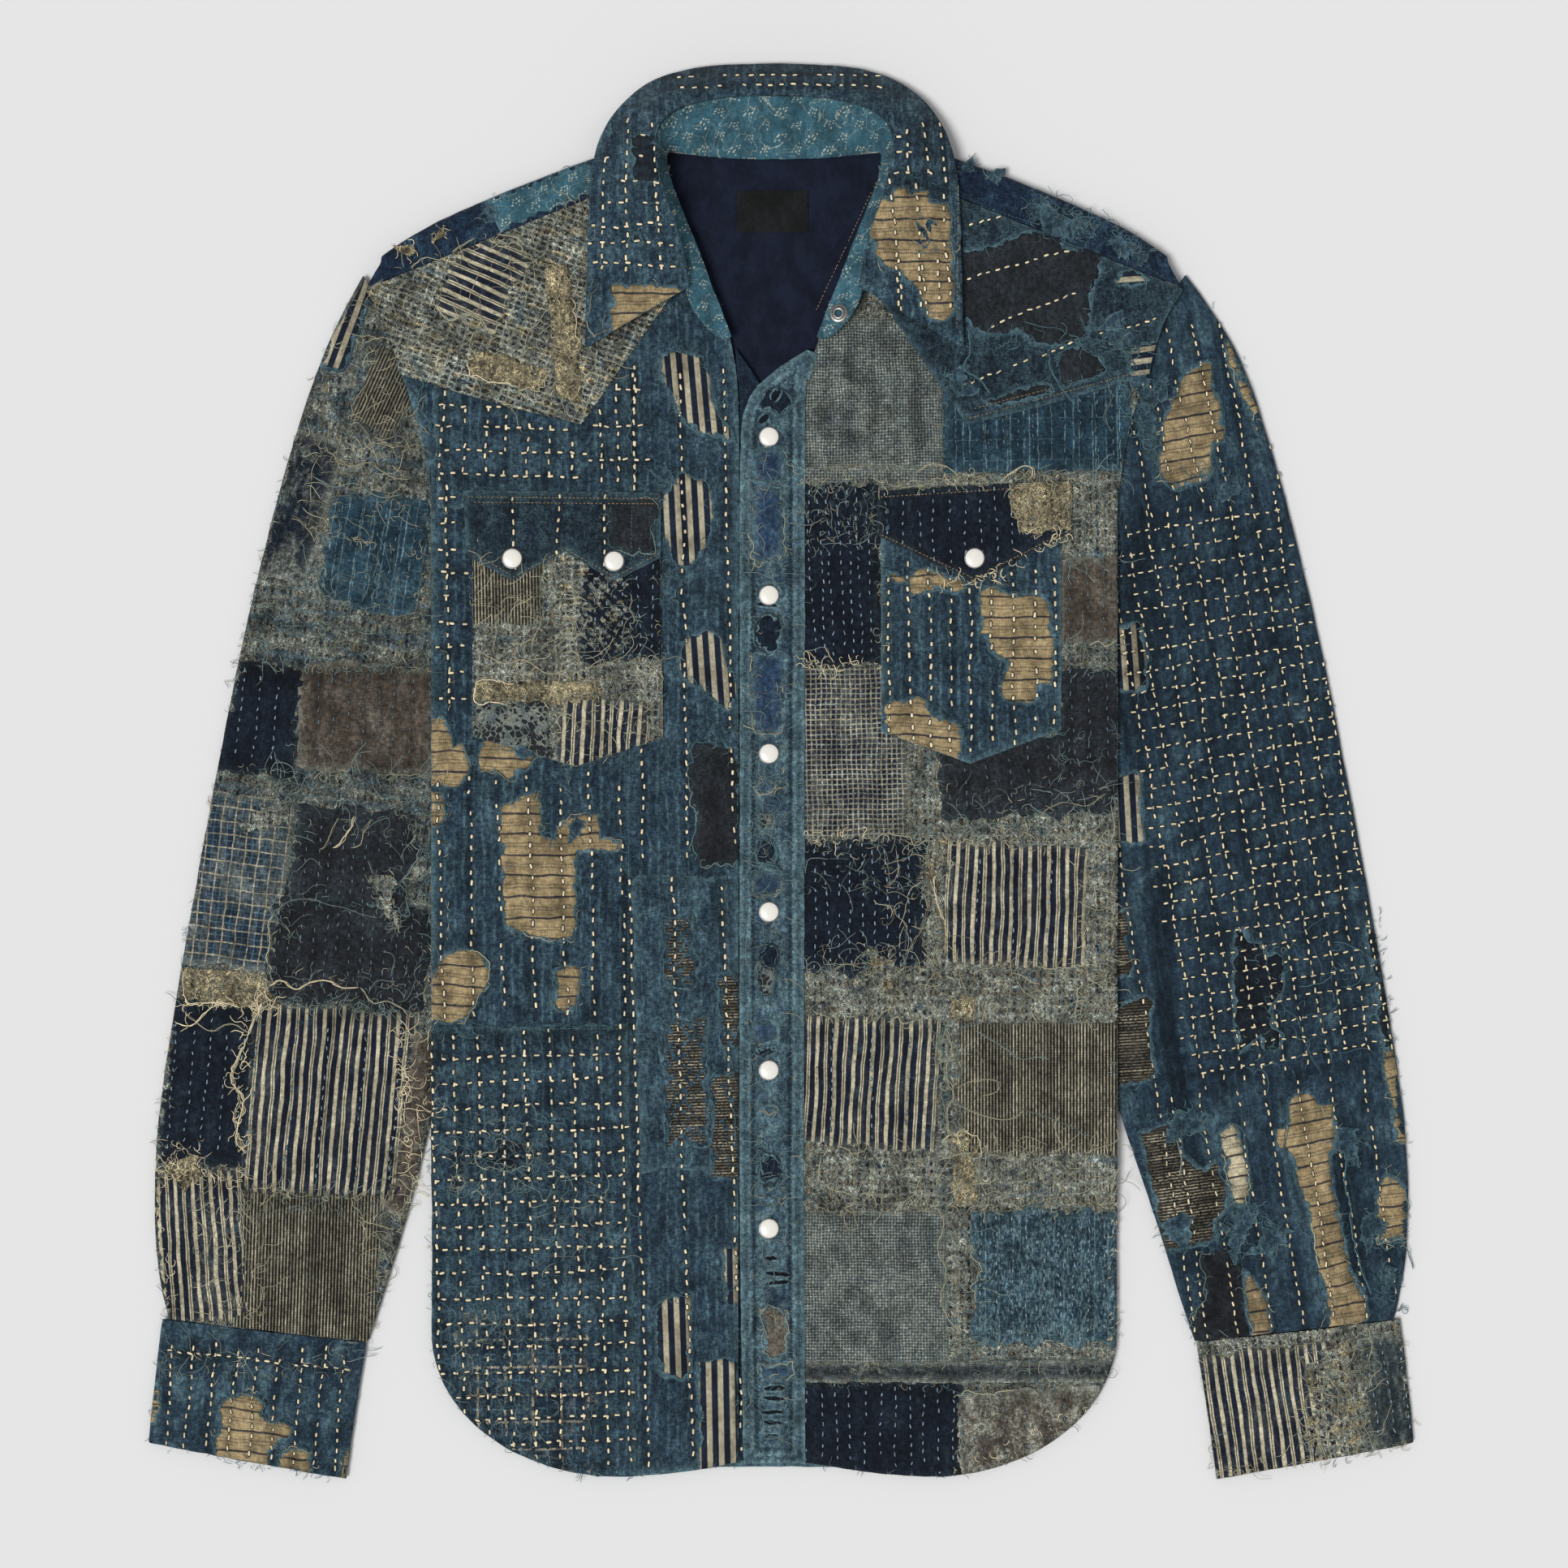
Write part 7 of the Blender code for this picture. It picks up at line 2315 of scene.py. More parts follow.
def fray_borders(frayer, borders):
    """Threads shed in tufts along the worn edge of each patch, and long ones that run beside it."""
    dice = frayer.dice
    for cloth, fabric, sides, outline, fray in borders:
        threads = FRAY_THREADS.get(fabric, PLAIN_FRAY).split()
        seed = dice.uniform(0, 90)
        for (ax, ay), (bx, by) in sides:
            if frayer.side > 0 and not on_cloth(cloth, (ax, ay)):
                continue
            tuft = max(0.0, 0.35 + 1.7 * wave(ax, ay, 11.0, seed))
            along = math.atan2(by - ay, bx - ax)
            count = 0.75 * fray * tuft * math.dist((ax, ay), (bx, by)) / WORN_STEP
            for _ in range(int(count + dice.random())):
                heading = along + dice.choice(EITHER_WAY) + dice.gauss(0, 0.7)
                start = ax + dice.gauss(0, 0.9), ay + dice.gauss(0, 0.9)
                reach, thread = dice.uniform(3, 10), dice.choice(threads)
                frayer.strand(*start, heading, reach, thread, curl=1.25, width=0.8, step=1.3)
        for _ in range(int(3.4 * fray)):
            first = dice.randrange(len(outline))
            path = []
            phase = dice.uniform(0, 90)
            for k in range(dice.randrange(8, 22)):
                x, y = outline[(first + k) % len(outline)]
                if frayer.side > 0 and not on_cloth(cloth, (x, y)):
                    break
                path.append((x + 2.4 * wave(x, y, 4.0, phase), y + 2.4 * wave(y, x, 4.0, phase)))
            if len(path) > 4:
                frayer.lay(path, dice.choice(threads), width=1.15, lift=0.6)


TANGLED_WITH = {"ecru": "grey", "grey": "ecru", "cream": "ecru", "teal": "grey"}
LONG_FIBRE = {"curl": 0.32, "width": 0.8, "lift": 0.2, "step": 2.0}


def weave_nets(frayer):
    """Loose cells of thread with a tangle of fibre over them."""
    dice = frayer.dice
    for x0, x1, y0, y1, pitch, density, thread, only in NETS:
        area = (x1 - x0) * (y1 - y0) / 100.0
        other = TANGLED_WITH[thread]
        for way in (0, 1):
            low, high = (y0, y1) if way else (x0, x1)
            span = (x1 - x0) if way else (y1 - y0)
            at = low + dice.uniform(0, pitch)
            while at < high:
                t = 0.0
                while t < span:
                    reach = dice.uniform(9, 26)
                    if dice.random() < 0.5:
                        x, y = (x0 + t, at) if way else (at, y0 + t)
                        if on_cloth(only, (x, y)):
                            heading = (0.0 if way else math.pi / 2) + dice.gauss(0, 0.12)
                            frayer.strand(x, y, heading, reach, thread, **LONG_FIBRE)
                    t += reach * dice.uniform(0.7, 1.2)
                at += pitch * dice.uniform(0.7, 1.3)
        for _ in range(int(0.6 * area * density)):
            x, y = dice.uniform(x0, x1), dice.uniform(y0, y1)
            if on_cloth(only, (x, y)):
                kind = thread if dice.random() < 0.7 else other
                heading, reach = dice.uniform(0, ANY_WAY), dice.uniform(3, 10)
                frayer.strand(x, y, heading, reach, kind, curl=1.1, width=0.7, lift=0.35)


def lay_strands(frayer):
    """The long loose threads, each a soft curve through its places with a thin ply beside it."""
    for thread, thickness, places in STRANDS:
        ends = [2 * places[0][k] - places[1][k] for k in (0, 1)]
        tail = [2 * places[-1][k] - places[-2][k] for k in (0, 1)]
        knots = [Vector(p) for p in (ends, *places, tail)]
        for ply, share in ((0.0, 1.0), (0.8, 0.5)):
            path = []
            for a, b, c, d in zip(knots, knots[1:], knots[2:], knots[3:]):
                parts = max(2, round((c - b).length / 1.6))
                for part in range(parts):
                    t = part / parts
                    out = b + (c - a) * 0.5 * t + (2 * a - 5 * b + 4 * c - d) * 0.5 * t * t
                    out += (3 * b - 3 * c + d - a) * 0.5 * t ** 3
                    wave = 1.2 * noise.noise((out.x / 3.4, out.y / 3.4, ply + 1.0)) + ply
                    path.append((out.x + wave, out.y + ply * noise.noise((out.x / 4.0, out.y / 4.0, 7.0))))
            frayer.lay(path, thread, width=thickness * share, lift=0.7)


def hang_fringes(frayer):
    """Short threads along each fringe, that lie along it or across it."""
    dice = frayer.dice
    for x0, y0, x1, y1, count, reach, thread in FRINGES:
        along = math.atan2(y1 - y0, x1 - x0)
        for _ in range(count):
            t = dice.random()
            x, y = x0 + (x1 - x0) * t + dice.gauss(0, 1.2), y0 + (y1 - y0) * t + dice.gauss(0, 1.2)
            turn = along + dice.choice(FOUR_WAYS) + dice.gauss(0, 0.5)
            own = reach * dice.uniform(0.4, 1.4)
            frayer.strand(x, y, turn, own, thread, curl=1.2, width=0.85, lift=0.8, step=1.4)


TATTER_ACROSS = (-1.0, -0.5, 0.05, 0.55, 1.0)  # points across a torn tongue, as shares of half its width


def tatter(pile, surface, x, y, heading, reach, width, seed):
    """A torn tongue of cloth, jagged and curled, that tapers to a wisp. Gives the places along its edges."""
    heading = math.radians(heading)
    rows = max(5, round(reach / 1.5))
    last = surface.drop(x, y) or 1.0
    points, wear, relief, rim = [], [], [], []
    for row in range(rows + 1):
        t = row / rows
        lobes = 1.0 + 0.6 * noise.noise((t * 4.0, seed, 1.0)) + 0.3 * noise.noise((t * 11.0, seed, 2.0))
        half = width / 2 * (1.0 - t ** 1.8) * lobes + 0.25
        nx, ny = -math.sin(heading), math.cos(heading)
        arch = math.sin(math.pi * min(1.0, t + 0.15))
        for across in TATTER_ACROSS:
            jag = 1.0 + 0.7 * noise.noise((t * 15.0, across * 2.0, seed + 4.0)) * abs(across)
            px, py = x + nx * half * across * jag, y + ny * half * across * jag
            z = surface.drop(px, py)
            z = max(0.5, last - 0.8) if z is None or z < 0.3 else z
            rise = max(0.0, 0.4 + noise.noise((t * 2.5, across, seed + 7.0))) * arch
            points.append((px, py, z + 0.45 + 1.2 * abs(across) * rise + 0.6 * t))
            wear.append(min(1.0, 0.04 + 0.85 * abs(across) ** 4 + 0.25 * t * t))
            # A made-up relief, which only paints shade and highlight over the tongue
            relief.append(1.1 * wave(px, py, 3.0, seed) + 0.5 * wave(px, py, 1.6, seed))
            if abs(across) == 1.0:
                rim.append((px, py))
        last = z
        heading += 0.5 * noise.noise((t * 2.5, seed, 3.0))
        x += math.cos(heading) * reach / rows
        y += math.sin(heading) * reach / rows
    pile.add(points, strip_faces(rows, len(TATTER_ACROSS)), {EDGE: wear, RELIEF: relief})
    return rim


def strip_faces(rows, wide):
    """The faces between rows of points, each row a number of points wide."""
    corners = [(row * wide + k, wide) for row in range(rows) for k in range(wide - 1)]
    return [(first, first + wide, first + wide + 1, first + 1) for first, wide in corners]


SLIT_ROWS = 10


def slit_rows(surface, number, x, y, length, width, lean):
    """Rows of five places down a slit: outside, at its edge, in its middle, and the same again."""
    cosine, sine = leaning(lean)
    rows = []
    for k in range(SLIT_ROWS + 1):
        t = 2 * k / SLIT_ROWS - 1.0
        bulge = 1.0 + 0.3 * noise.noise((t * 2.0, number, 1.0))
        half = width / 2 * math.sqrt(max(0.0, 1.0 - t * t)) * bulge
        row = []
        for away in (-half - 1.5, -half - 0.3, 0.0, half + 0.3, half + 1.5):
            u, v = t * length / 2, away + 0.5 * noise.noise((t * 1.7, number, 5.0))
            px, py = x + u * cosine - v * sine, y + u * sine + v * cosine
            row.append((px, py, surface.drop(px, py) or 1.0))
        rows.append(row)
    return rows


def lay_slits(surface):
    """Dark lens-shaped openings, their cloth darkened with painted shade, each with a pair of pale raised
    lips that are rubbed and carry painted highlight.
    """
    dark, lips = Pile(), Pile()
    faces = strip_faces(SLIT_ROWS, 3)
    turned_over = [face[::-1] for face in faces]
    for number, slit in enumerate(SLITS):
        rows = slit_rows(surface, number, *slit)
        middle = [(px, py, z + 0.12) for row in rows for px, py, z in row[1:4]]
        # A relief of -1 paints shade into the opening
        dark.add(middle, turned_over, {EDGE: 0.0, RELIEF: -1.0})
        for a, b in ((0, 1), (4, 3)):
            points = []
            for row in rows:
                (ax, ay, az), (bx, by, bz) = row[a], row[b]
                crest = ((ax + bx) / 2, (ay + by) / 2, (az + bz) / 2 + 0.75)
                points += [(ax, ay, az + 0.02), crest, (bx, by, bz + 0.1)]
            # A relief of 0.8 adds painted highlight to the lips' rubbed paleness
            lips.add(points, faces if a else turned_over, {EDGE: 0.8, RELIEF: 0.8})
    dark.make("slits_dark", "navy_worn")
    lips.make("slits_lips", "placket_blue")


def lay_tatters(surface, frayer):
    """The torn tongues, each with threads that curl off its edges."""
    piles = {}
    dice = frayer.dice
    for number, (x, y, heading, reach, width, fabric) in enumerate(TATTERS):
        pile = piles.setdefault(fabric, Pile())
        rim = tatter(pile, surface, x, y, heading, reach, width, 7.3 * number)
        threads = FRAY_THREADS.get(fabric, PLAIN_FRAY).split()
        for _ in range(int(1.2 * reach)):
            place, heading = dice.choice(rim), dice.uniform(0, ANY_WAY)
            long, thread = dice.uniform(3, 9), dice.choice(threads)
            frayer.strand(*place, heading, long, thread, curl=1.3, width=0.8, lift=1.6, step=1.3)
    for fabric, pile in sorted(piles.items()):
        pile.make("tatters_" + fabric, fabric)


HAIRS = {  # cloth: shade and share of its edge's points that bear a hair
    "sleeve_right": ("ecru", 0.24),
    "sleeve_left": ("teal", 0.1),
    "cuff_right": ("teal", 0.1),
    "cuff_left": ("ecru", 0.1),
    "front_right": ("teal", 0.1),
    "front_left": ("teal", 0.1),
}
HAIR_LEAN = 0.4
SHORT_HAIR = {"curl": 0.8, "width": 0.75, "lift": 0.3, "step": 1.3}


def edge_hairs(frayer):
    """Stray hairs round the silhouette."""
    dice = frayer.dice
    for cloth, (shade, share) in HAIRS.items():
        for (ax, ay), (bx, by) in neighbours(SKINS[cloth].outline):
            if dice.random() < share:
                way = dice.choice((HAIR_LEAN, math.pi - HAIR_LEAN, -HAIR_LEAN, math.pi + HAIR_LEAN))
                heading = math.atan2(by - ay, bx - ax) + way + dice.gauss(0, 0.3)
                frayer.strand(ax, ay, heading, dice.uniform(3, 7), shade, **SHORT_HAIR)


class OVERSHIRT_OT_fabrics(bpy.types.Operator):
    """Makes the fabrics and threads"""

    bl_idname = "overshirt.fabrics"
    bl_label = "Fabrics and threads"

    def execute(self, context):
        make_fabrics()
        return {"FINISHED"}


class OVERSHIRT_OT_back(bpy.types.Operator):
    """Lays the back and its yoke"""

    bl_idname = "overshirt.back"
    bl_label = "Back and back yoke"

    def execute(self, context):
        declare(flat_cloth("back", "indigo", 1.0, side=-1, lift=-0.45, grid=5.5, seed=2.0), "back")
        yoke = shaped_cloth("back_yoke", "shoulder_blue", seed=4.0, ripple=0.8, floor=5.0, low=4.0)
        declare(yoke, "back_yoke")
        return {"FINISHED"}


class OVERSHIRT_OT_lining(bpy.types.Operator):
    """Lays the plain lining and the bare label"""

    bl_idname = "overshirt.lining"
    bl_label = "Lining and label"

    def execute(self, context):
        lining = flat_cloth("yoke_lining", "lining", 0.8, grid=6.0, seed=6.0, ripple=0.5)
        declare(lining, "yoke_lining")
        label = flat_cloth("neck_label", "bare_label", 0.5, grid=2.0, seed=7.0, ripple=0.2)
        declare(label, "neck_label")
        return {"FINISHED"}


class OVERSHIRT_OT_sleeves(bpy.types.Operator):
    """Lays the sleeves and their cuffs"""

    bl_idname = "overshirt.sleeves"
    bl_label = "Sleeves and cuffs"

    def execute(self, context):
        for node, fabric, turn, seed in (
            ("sleeve_right", "blue_gauze", -8.0, 31.0),
            ("sleeve_left", "indigo_soft", 9.0, 33.0),
            ("cuff_right", "torn_indigo", -6.0, 35.0),
            ("cuff_left", "grey_gauze", 7.0, 37.0),
        ):
            declare(shaped_cloth(node, fabric, turn=turn, seed=seed), node)
        return {"FINISHED"}


def over(base, rise, *others):
    """A height function that lies a rise above a skin, and above others where they are."""

    def height(x, y):
        found = [z for z in (skin.drop(x, y) for skin in (base, *others)) if z is not None]
        return max(found) + rise if found else None

    return height


ON_FRONT = 1.55  # how far the face of a piece sewn on a front stands over that front


class OVERSHIRT_OT_fronts(bpy.types.Operator):
    """Lays the two fronts and the western yokes on them"""

    bl_idname = "overshirt.fronts"
    bl_label = "Fronts and front yokes"

    def execute(self, context):
        for side, fabric, yoke, lean in (
            ("right", "indigo", "open_gauze", -21.0),
            ("left", "grey_gauze", "indigo_deep", 0.0),
        ):
            front = "front_" + side
            declare(flat_cloth(front, fabric, 1.5, seed=8.0), front)
            height = over(SKINS[front], ON_FRONT)
            top = flat_cloth("front_yoke_" + side, yoke, 1.1, height, turn=lean, seed=9.0, soften=6)
            declare(top, "front_yoke_" + side)
        return {"FINISHED"}


class OVERSHIRT_OT_placket(bpy.types.Operator):
    """Lays the snap placket over the button stand"""

    bl_idname = "overshirt.placket"
    bl_label = "Placket"

    def execute(self, context):
        declare(flat_cloth("under_placket", "navy_worn", 1.1, grid=6.0, seed=12.0), "under_placket")
        height = over(SKINS["front_right"], 1.75, SKINS["front_left"], SKINS["under_placket"])
        band = flat_cloth("placket", "placket_blue", 1.6, height, grid=1.7, seed=13.0, soften=40)
        declare(band, "placket")
        return {"FINISHED"}


class OVERSHIRT_OT_pockets(bpy.types.Operator):
    """Lays the patch pockets and their pointed flaps"""

    bl_idname = "overshirt.pockets"
    bl_label = "Pockets and flaps"

    def execute(self, context):
        for side, fabric, flap_fabric in (("right", "grey_gauze", "indigo_deep"), ("left", "indigo", "navy")):
            front, under = SKINS["front_" + side], "pocket_" + side
            pocket = flat_cloth(under, fabric, 1.1, over(front, ON_FRONT), seed=14.0, soften=4)
            declare(pocket, under)
            height = over(front, ON_FRONT, SKINS[under])
            flap = flat_cloth("flap_" + side, flap_fabric, 1.1, height, seed=15.0, soften=10)
            declare(flap, "flap_" + side)
        return {"FINISHED"}


class OVERSHIRT_OT_collar(bpy.types.Operator):
    """Shapes the collar stand and the leaf that falls over it"""

    bl_idname = "overshirt.collar"
    bl_label = "Collar"

    def execute(self, context):
        stand = shaped_cloth("collar_stand", "sprig", seed=16.0, ripple=0.4, low=2.0, keep=0.7)
        declare(stand, "collar_stand")
        leaf = shaped_cloth("collar_leaf", "indigo_worn", seed=17.0, ripple=0.6, low=2.0, keep=0.7)
        declare(leaf, "collar_leaf")
        return {"FINISHED"}


class OVERSHIRT_OT_patches(bpy.types.Operator):
    """Cuts and lays the patches on both sides"""

    bl_idname = "overshirt.patches"
    bl_label = "Patches"

    def execute(self, context):
        SKINS["plan"] = make_plan()
        windows = [(cloth, *row) for cloth, rows in WINDOWS.items() for row in rows]
        front = lay_patches(boxed(PATCHES) + windows, 1, "")
        SKINS["borders"] = front, lay_patches(boxed(BACK_PATCHES), -1, "_back")
        return {"FINISHED"}


class OVERSHIRT_OT_stitches(bpy.types.Operator):
    """Sews the running stitches and the seams"""

    bl_idname = "overshirt.stitches"
    bl_label = "Running stitches"

    def execute(self, context):
        surface = whole_surface()
        SKINS["whole"] = surface
        front = Stitcher(surface, 1, "front stitches")
        sew_grids(front, GRIDS)
        for x0, y0, x1, y1, thread, only in SEAMS:
            front.run((x0, y0), (x1, y1), thread, only or None)
        front.make("stitches")
        back = Stitcher(surface, -1, "back stitches")
        sew_grids(back, BACK_GRIDS)
        back.make("stitches", "_back")
        return {"FINISHED"}


class OVERSHIRT_OT_frays(bpy.types.Operator):
    """Frays the worn edges and weaves the loose nets"""

    bl_idname = "overshirt.frays"
    bl_label = "Frays and nets"

    def execute(self, context):
        surface = SKINS["whole"]
        lay_slits(surface)
        front_borders, back_borders = SKINS["borders"]
        edges = Frayer(surface, 1, "front edges")
        lay_tatters(surface, edges)
        fray_borders(edges, front_borders)
        hang_fringes(edges)
        lay_strands(edges)
        edge_hairs(edges)
        edges.make("frays")
        nets = Frayer(surface, 1, "nets")
        weave_nets(nets)
        nets.make("nets")
        hidden = Frayer(surface, -1, "back edges")
        fray_borders(hidden, back_borders)
        hidden.make("frays", "_back")
        return {"FINISHED"}


def turned(name, profile, centre, axis, fabric, steps=40):
    """A turned piece: a profile of (radius, height) spun about an axis through a centre."""
    points, faces, rings = [], [], []
    for radius, height in profile:
        if radius < 1e-6:
            rings.append([len(points)])
            points.append(Vector((0, 0, height)))
        else:
            rings.append(list(range(len(points), len(points) + steps)))
            for k in range(steps):
                angle = 2 * math.pi * k / steps
                points.append(Vector((radius * math.cos(angle), radius * math.sin(angle), height)))
    for low, high in zip(rings, rings[1:]):
        for k in range(steps):
            n = (k + 1) % steps
            if len(low) == 1:
                faces.append((low[0], high[n], high[k]))
            elif len(high) == 1:
                faces.append((low[k], low[n], high[0]))
            else:
                faces.append((low[k], low[n], high[n], high[k]))
    tilt = Vector((0, 0, 1)).rotation_difference(Vector(axis)).to_matrix()
    placed = [tuple(tilt @ p + Vector(centre)) for p in points]
    return piece(name, placed, faces, fabric, sharp=40.0)


class OVERSHIRT_OT_snaps(bpy.types.Operator):
    """Seats the pearl snaps and the open socket"""

    bl_idname = "overshirt.snaps"
    bl_label = "Snaps"

    def execute(self, context):
        make_pearl()
        make_metal()
        surface = SKINS["whole"]
        for node in sorted(frame["nodes"]):
            if node.startswith("snap_cap_"):
                low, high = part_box(node)
                x, y = (low[0] + high[0]) / 2 / MM, (low[1] + high[1]) / 2 / MM
                radius = (high[0] - low[0]) / 2 / MM
                ring = [(x, y), *[(x + radius * math.cos(a), y + radius * math.sin(a)) for a in range(7)]]
                found = [z for z in (surface.drop(px, py) for px, py in ring) if z is not None]
                seat = sum(found) / len(found) + 0.25
                seat_snap(node, x, y, seat, radius)
            elif node == "collar_snap_socket":
                seat_socket(node, surface)
        return {"FINISHED"}


def scaled(profile, radius):
    """A profile whose radii are shares of a radius, in millimetres."""
    return [(share * radius, height) for share, height in profile]


def stand_for(node):
    """Hides the CAD node that a piece stands for."""
    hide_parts(node)


def seat_snap(node, x, y, seat, radius):
    """A domed cap with a soft shoulder, in a thin dark rim."""
    arc = np.linspace(0.25, math.pi / 2, 9)
    dome = [(0.94 * radius * math.cos(a), 0.75 + 0.95 * math.sin(a)) for a in arc]
    cap = [(0.0, -0.3), (radius * 0.95, -0.3), (radius, 0.1), (radius, 0.6), (radius * 0.985, 0.8)]
    cap += [*dome[:-1], (0.0, dome[-1][1])]
    made = turned(node + "_pearl", cap, (x, y, seat), (0, 0, 1), "pearl")
    stand_for(node)
    rim_node = node.replace("snap_cap_", "snap_rim_")
    inner, outer = radius * 1.03, radius * 1.12
    rim = [(inner, 0.1), (inner, -0.4), (outer, -0.4), (outer, 0.15)]
    rim += [(outer - 0.15, 0.42), (inner + 0.1, 0.45), (inner, 0.1)]
    ring = turned(rim_node + "_metal", rim, (x, y, seat), (0, 0, 1), "snap_metal")
    stand_for(rim_node)


SOCKET = (  # share of its radius, height
    (0.35, 0.2),
    (0.35, -0.5),
    (1.0, -0.5),
    (1.0, 0.0),
    (0.93, 0.3),
    (0.74, 0.35),
    (0.66, 0.9),
    (0.52, 1.15),
    (0.4, 0.9),
    (0.35, 0.2),
)


def seat_socket(node, surface):
    """The open half of the collar's snap: a ring with a raised, rolled lip."""
    low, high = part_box(node)
    x, y, z = ((low[k] + high[k]) / 2 / MM for k in range(3))
    radius = (high[1] - low[1]) / 2 / MM
    around = [surface.drop(x + dx, y + dy) for dx, dy in ((2.0, 0.0), (-2.0, 0.0), (0.0, 2.0), (0.0, -2.0))]
    east, west, north, south = [z if a is None else a for a in around]
    axis = Vector((-(east - west) / 4.0, -(north - south) / 4.0, 1.0)).normalized()
    seat = (east + west + north + south) / 4.0
    made = turned(node + "_ring", scaled(SOCKET, radius), (x, y, seat + 0.35), axis, "snap_metal")
    stand_for(node)


COOL_PEARL = (0.70, 0.74, 0.76, 1.0)
DULL_METAL = (0.10, 0.095, 0.09, 1.0)
RUBBED_METAL = (0.42, 0.41, 0.39, 1.0)


def make_pearl():
    """Off-white caps with a soft milky swirl and a glossy coat."""
    cloth = Fabric("pearl", roughness=0.28, sheen=0.0)
    swirl = cloth.noise(5.0, 5.0, 2.0, 0.5, 2.0, 1.5)
    shade = cloth.mix(cloth.step(swirl, 0.4, 0.65, 0.0, 0.35), tint("pearl"), COOL_PEARL)
    cloth.shader.inputs["Coat Weight"].default_value = 0.5
    cloth.shader.inputs["Coat Roughness"].default_value = 0.15
    cloth.shader.inputs["Specular IOR Level"].default_value = 0.5
    cloth.finish(shade, swirl, 0.03)


def make_metal():
    """Dull dark metal with fine wear."""
    cloth = Fabric("snap_metal", roughness=0.38, sheen=0.0)
    cloth.shader.inputs["Metallic"].default_value = 1.0
    wear = cloth.noise(1.2, 1.2, 3.0, 0.6, 5.0)
    shade = cloth.mix(wear, DULL_METAL, RUBBED_METAL)
    cloth.finish(shade, wear, 0.05)


TABLE_HALF = 3.0
TABLE_DROP = 0.0012  # how far the table lies under the cloth
TABLE_TONE = 226
ROOM_STRENGTH = 0.42
LIGHT_ENERGY = 2.2
LIGHT_SPREAD = 24.0  # degrees
LIGHT_WAY = (0.42, 0.30, -1.0)
SENSOR = 36.0
CAMERA_SHIFT = (0.0016, -0.0075)


class OVERSHIRT_OT_stage(bpy.types.Operator):
    """Sets the pale table, the soft lights and the camera straight above"""

    bl_idname = "overshirt.stage"
    bl_label = "Table, lights and camera"

    def execute(self, context):
        make_table()
        make_lights()
        make_camera()
        context.scene.view_settings.view_transform = "Standard"
        return {"FINISHED"}


def make_table():
    """A plain pale table that takes the garment's faint shadow."""
    mesh = bpy.data.meshes.new("table")
    corners = [(x * TABLE_HALF, y * TABLE_HALF, -TABLE_DROP) for x, y in ((-1, -1), (1, -1), (1, 1), (-1, 1))]
    mesh.from_pydata(corners, [], [(0, 1, 2, 3)])
    table = bpy.data.objects.new("table", mesh)
    bpy.context.scene.collection.objects.link(table)
    surface = bpy.data.materials.new("table")
    surface.use_nodes = True
    shader = surface.node_tree.nodes["Principled BSDF"]
    shader.inputs["Base Color"].default_value = (*srgb(TABLE_TONE, TABLE_TONE, TABLE_TONE), 1.0)
    shader.inputs["Roughness"].default_value = 1.0
    shader.inputs["Specular IOR Level"].default_value = 0.0
    mesh.materials.append(surface)


def make_lights():
    """An even pale room and one broad soft light, high and a little to the lower left."""
    world = bpy.data.worlds.new("room")
    bpy.context.scene.world = world
    world.use_nodes = True
    air = world.node_tree.nodes["Background"]
    air.inputs["Color"].default_value = (1.0, 1.0, 1.0, 1.0)
    air.inputs["Strength"].default_value = ROOM_STRENGTH
    lamp = bpy.data.lights.new("soft_light", "SUN")
    lamp.angle = math.radians(LIGHT_SPREAD)
    lamp.energy = LIGHT_ENERGY
    holder = bpy.data.objects.new("soft_light", lamp)
    holder.rotation_euler = Vector(LIGHT_WAY).to_track_quat("-Z", "Y").to_euler()
    bpy.context.scene.collection.objects.link(holder)


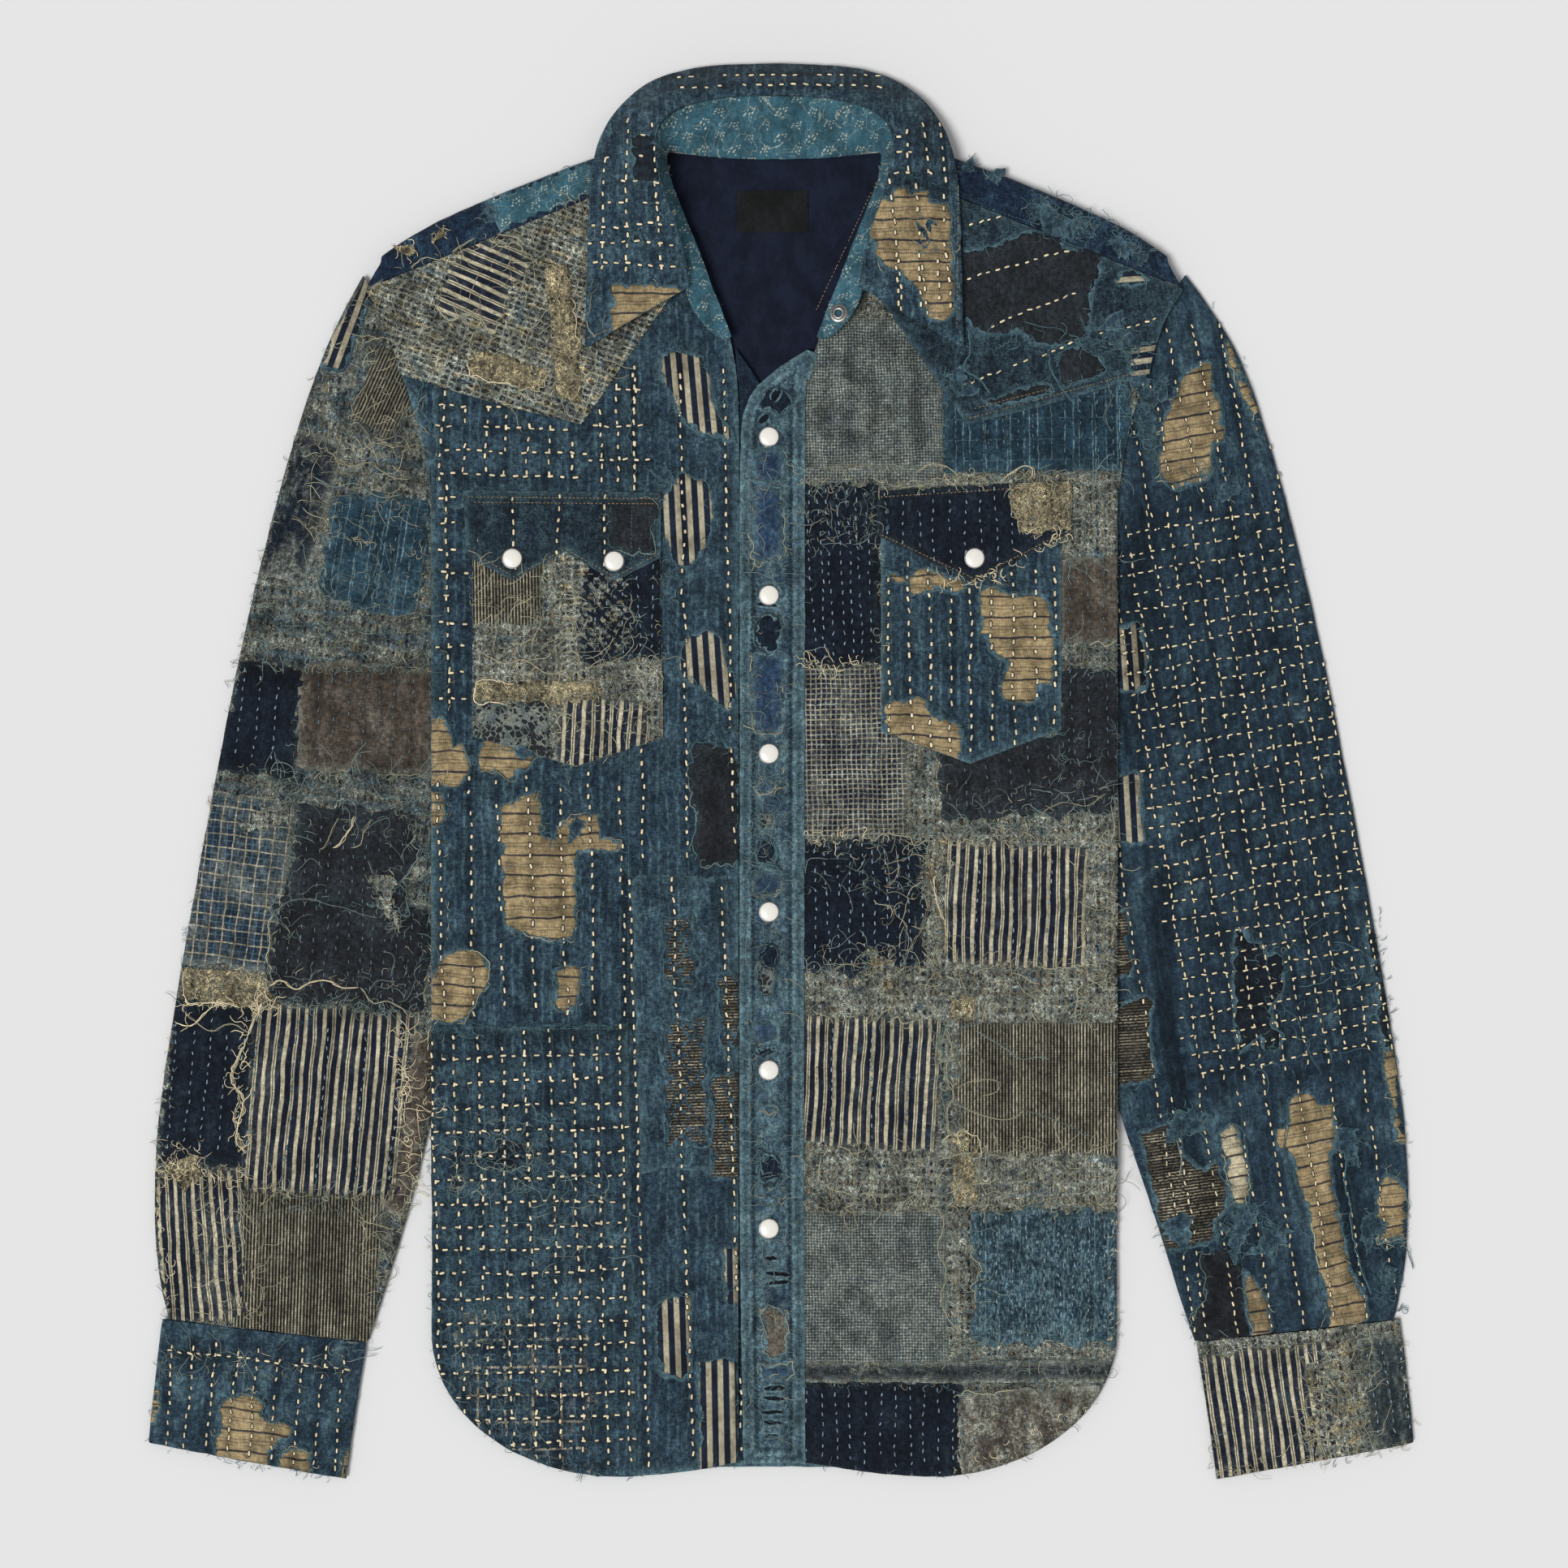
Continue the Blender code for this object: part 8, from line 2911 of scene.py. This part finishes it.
def make_camera():
    """Straight down over the middle of the garment."""
    data = bpy.data.cameras.new("above")
    data.lens = bpy.context.scene.overshirt_sizes.lens
    data.sensor_width = SENSOR
    camera = bpy.data.objects.new("above", data)
    camera.location = (*CAMERA_SHIFT, sizes("camera_height") * MM)
    bpy.context.scene.collection.objects.link(camera)
    bpy.context.scene.camera = camera


STEPS = (
    "fabrics",
    "back",
    "lining",
    "sleeves",
    "fronts",
    "placket",
    "pockets",
    "collar",
    "patches",
    "stitches",
    "frays",
    "snaps",
    "stage",
)


class OVERSHIRT_PT_panel(bpy.types.Panel):
    """Lists the overshirt's pieces in the order in which they are made"""

    bl_label = "Boro overshirt"
    bl_idname = "OVERSHIRT_PT_panel"
    bl_space_type = "VIEW_3D"
    bl_region_type = "UI"
    bl_category = "Overshirt"

    def draw(self, context):
        for step in STEPS:
            self.layout.operator("overshirt." + step)
        for group in (context.scene.overshirt_sizes, context.scene.overshirt_colours):
            for name in group.bl_rna.properties.keys():
                if name not in ("rna_type", "name"):
                    self.layout.prop(group, name)


CLASSES = (
    OvershirtSizes,
    OvershirtColours,
    OVERSHIRT_OT_fabrics,
    OVERSHIRT_OT_back,
    OVERSHIRT_OT_lining,
    OVERSHIRT_OT_sleeves,
    OVERSHIRT_OT_fronts,
    OVERSHIRT_OT_placket,
    OVERSHIRT_OT_pockets,
    OVERSHIRT_OT_collar,
    OVERSHIRT_OT_patches,
    OVERSHIRT_OT_stitches,
    OVERSHIRT_OT_frays,
    OVERSHIRT_OT_snaps,
    OVERSHIRT_OT_stage,
    OVERSHIRT_PT_panel,
)


def register():
    for each in CLASSES:
        bpy.utils.register_class(each)
    bpy.types.Scene.overshirt_sizes = bpy.props.PointerProperty(type=OvershirtSizes)
    bpy.types.Scene.overshirt_colours = bpy.props.PointerProperty(type=OvershirtColours)


def unregister():
    del bpy.types.Scene.overshirt_colours
    del bpy.types.Scene.overshirt_sizes
    for each in reversed(CLASSES):
        bpy.utils.unregister_class(each)


def main():
    """Builds the whole garment in a new file."""
    for name in ("Cube", "Camera", "Light"):
        if name in bpy.data.objects:
            bpy.data.objects.remove(bpy.data.objects[name])
    register()
    for step in STEPS:
        getattr(bpy.ops.overshirt, step)()


if __name__ == "__main__":
    main()
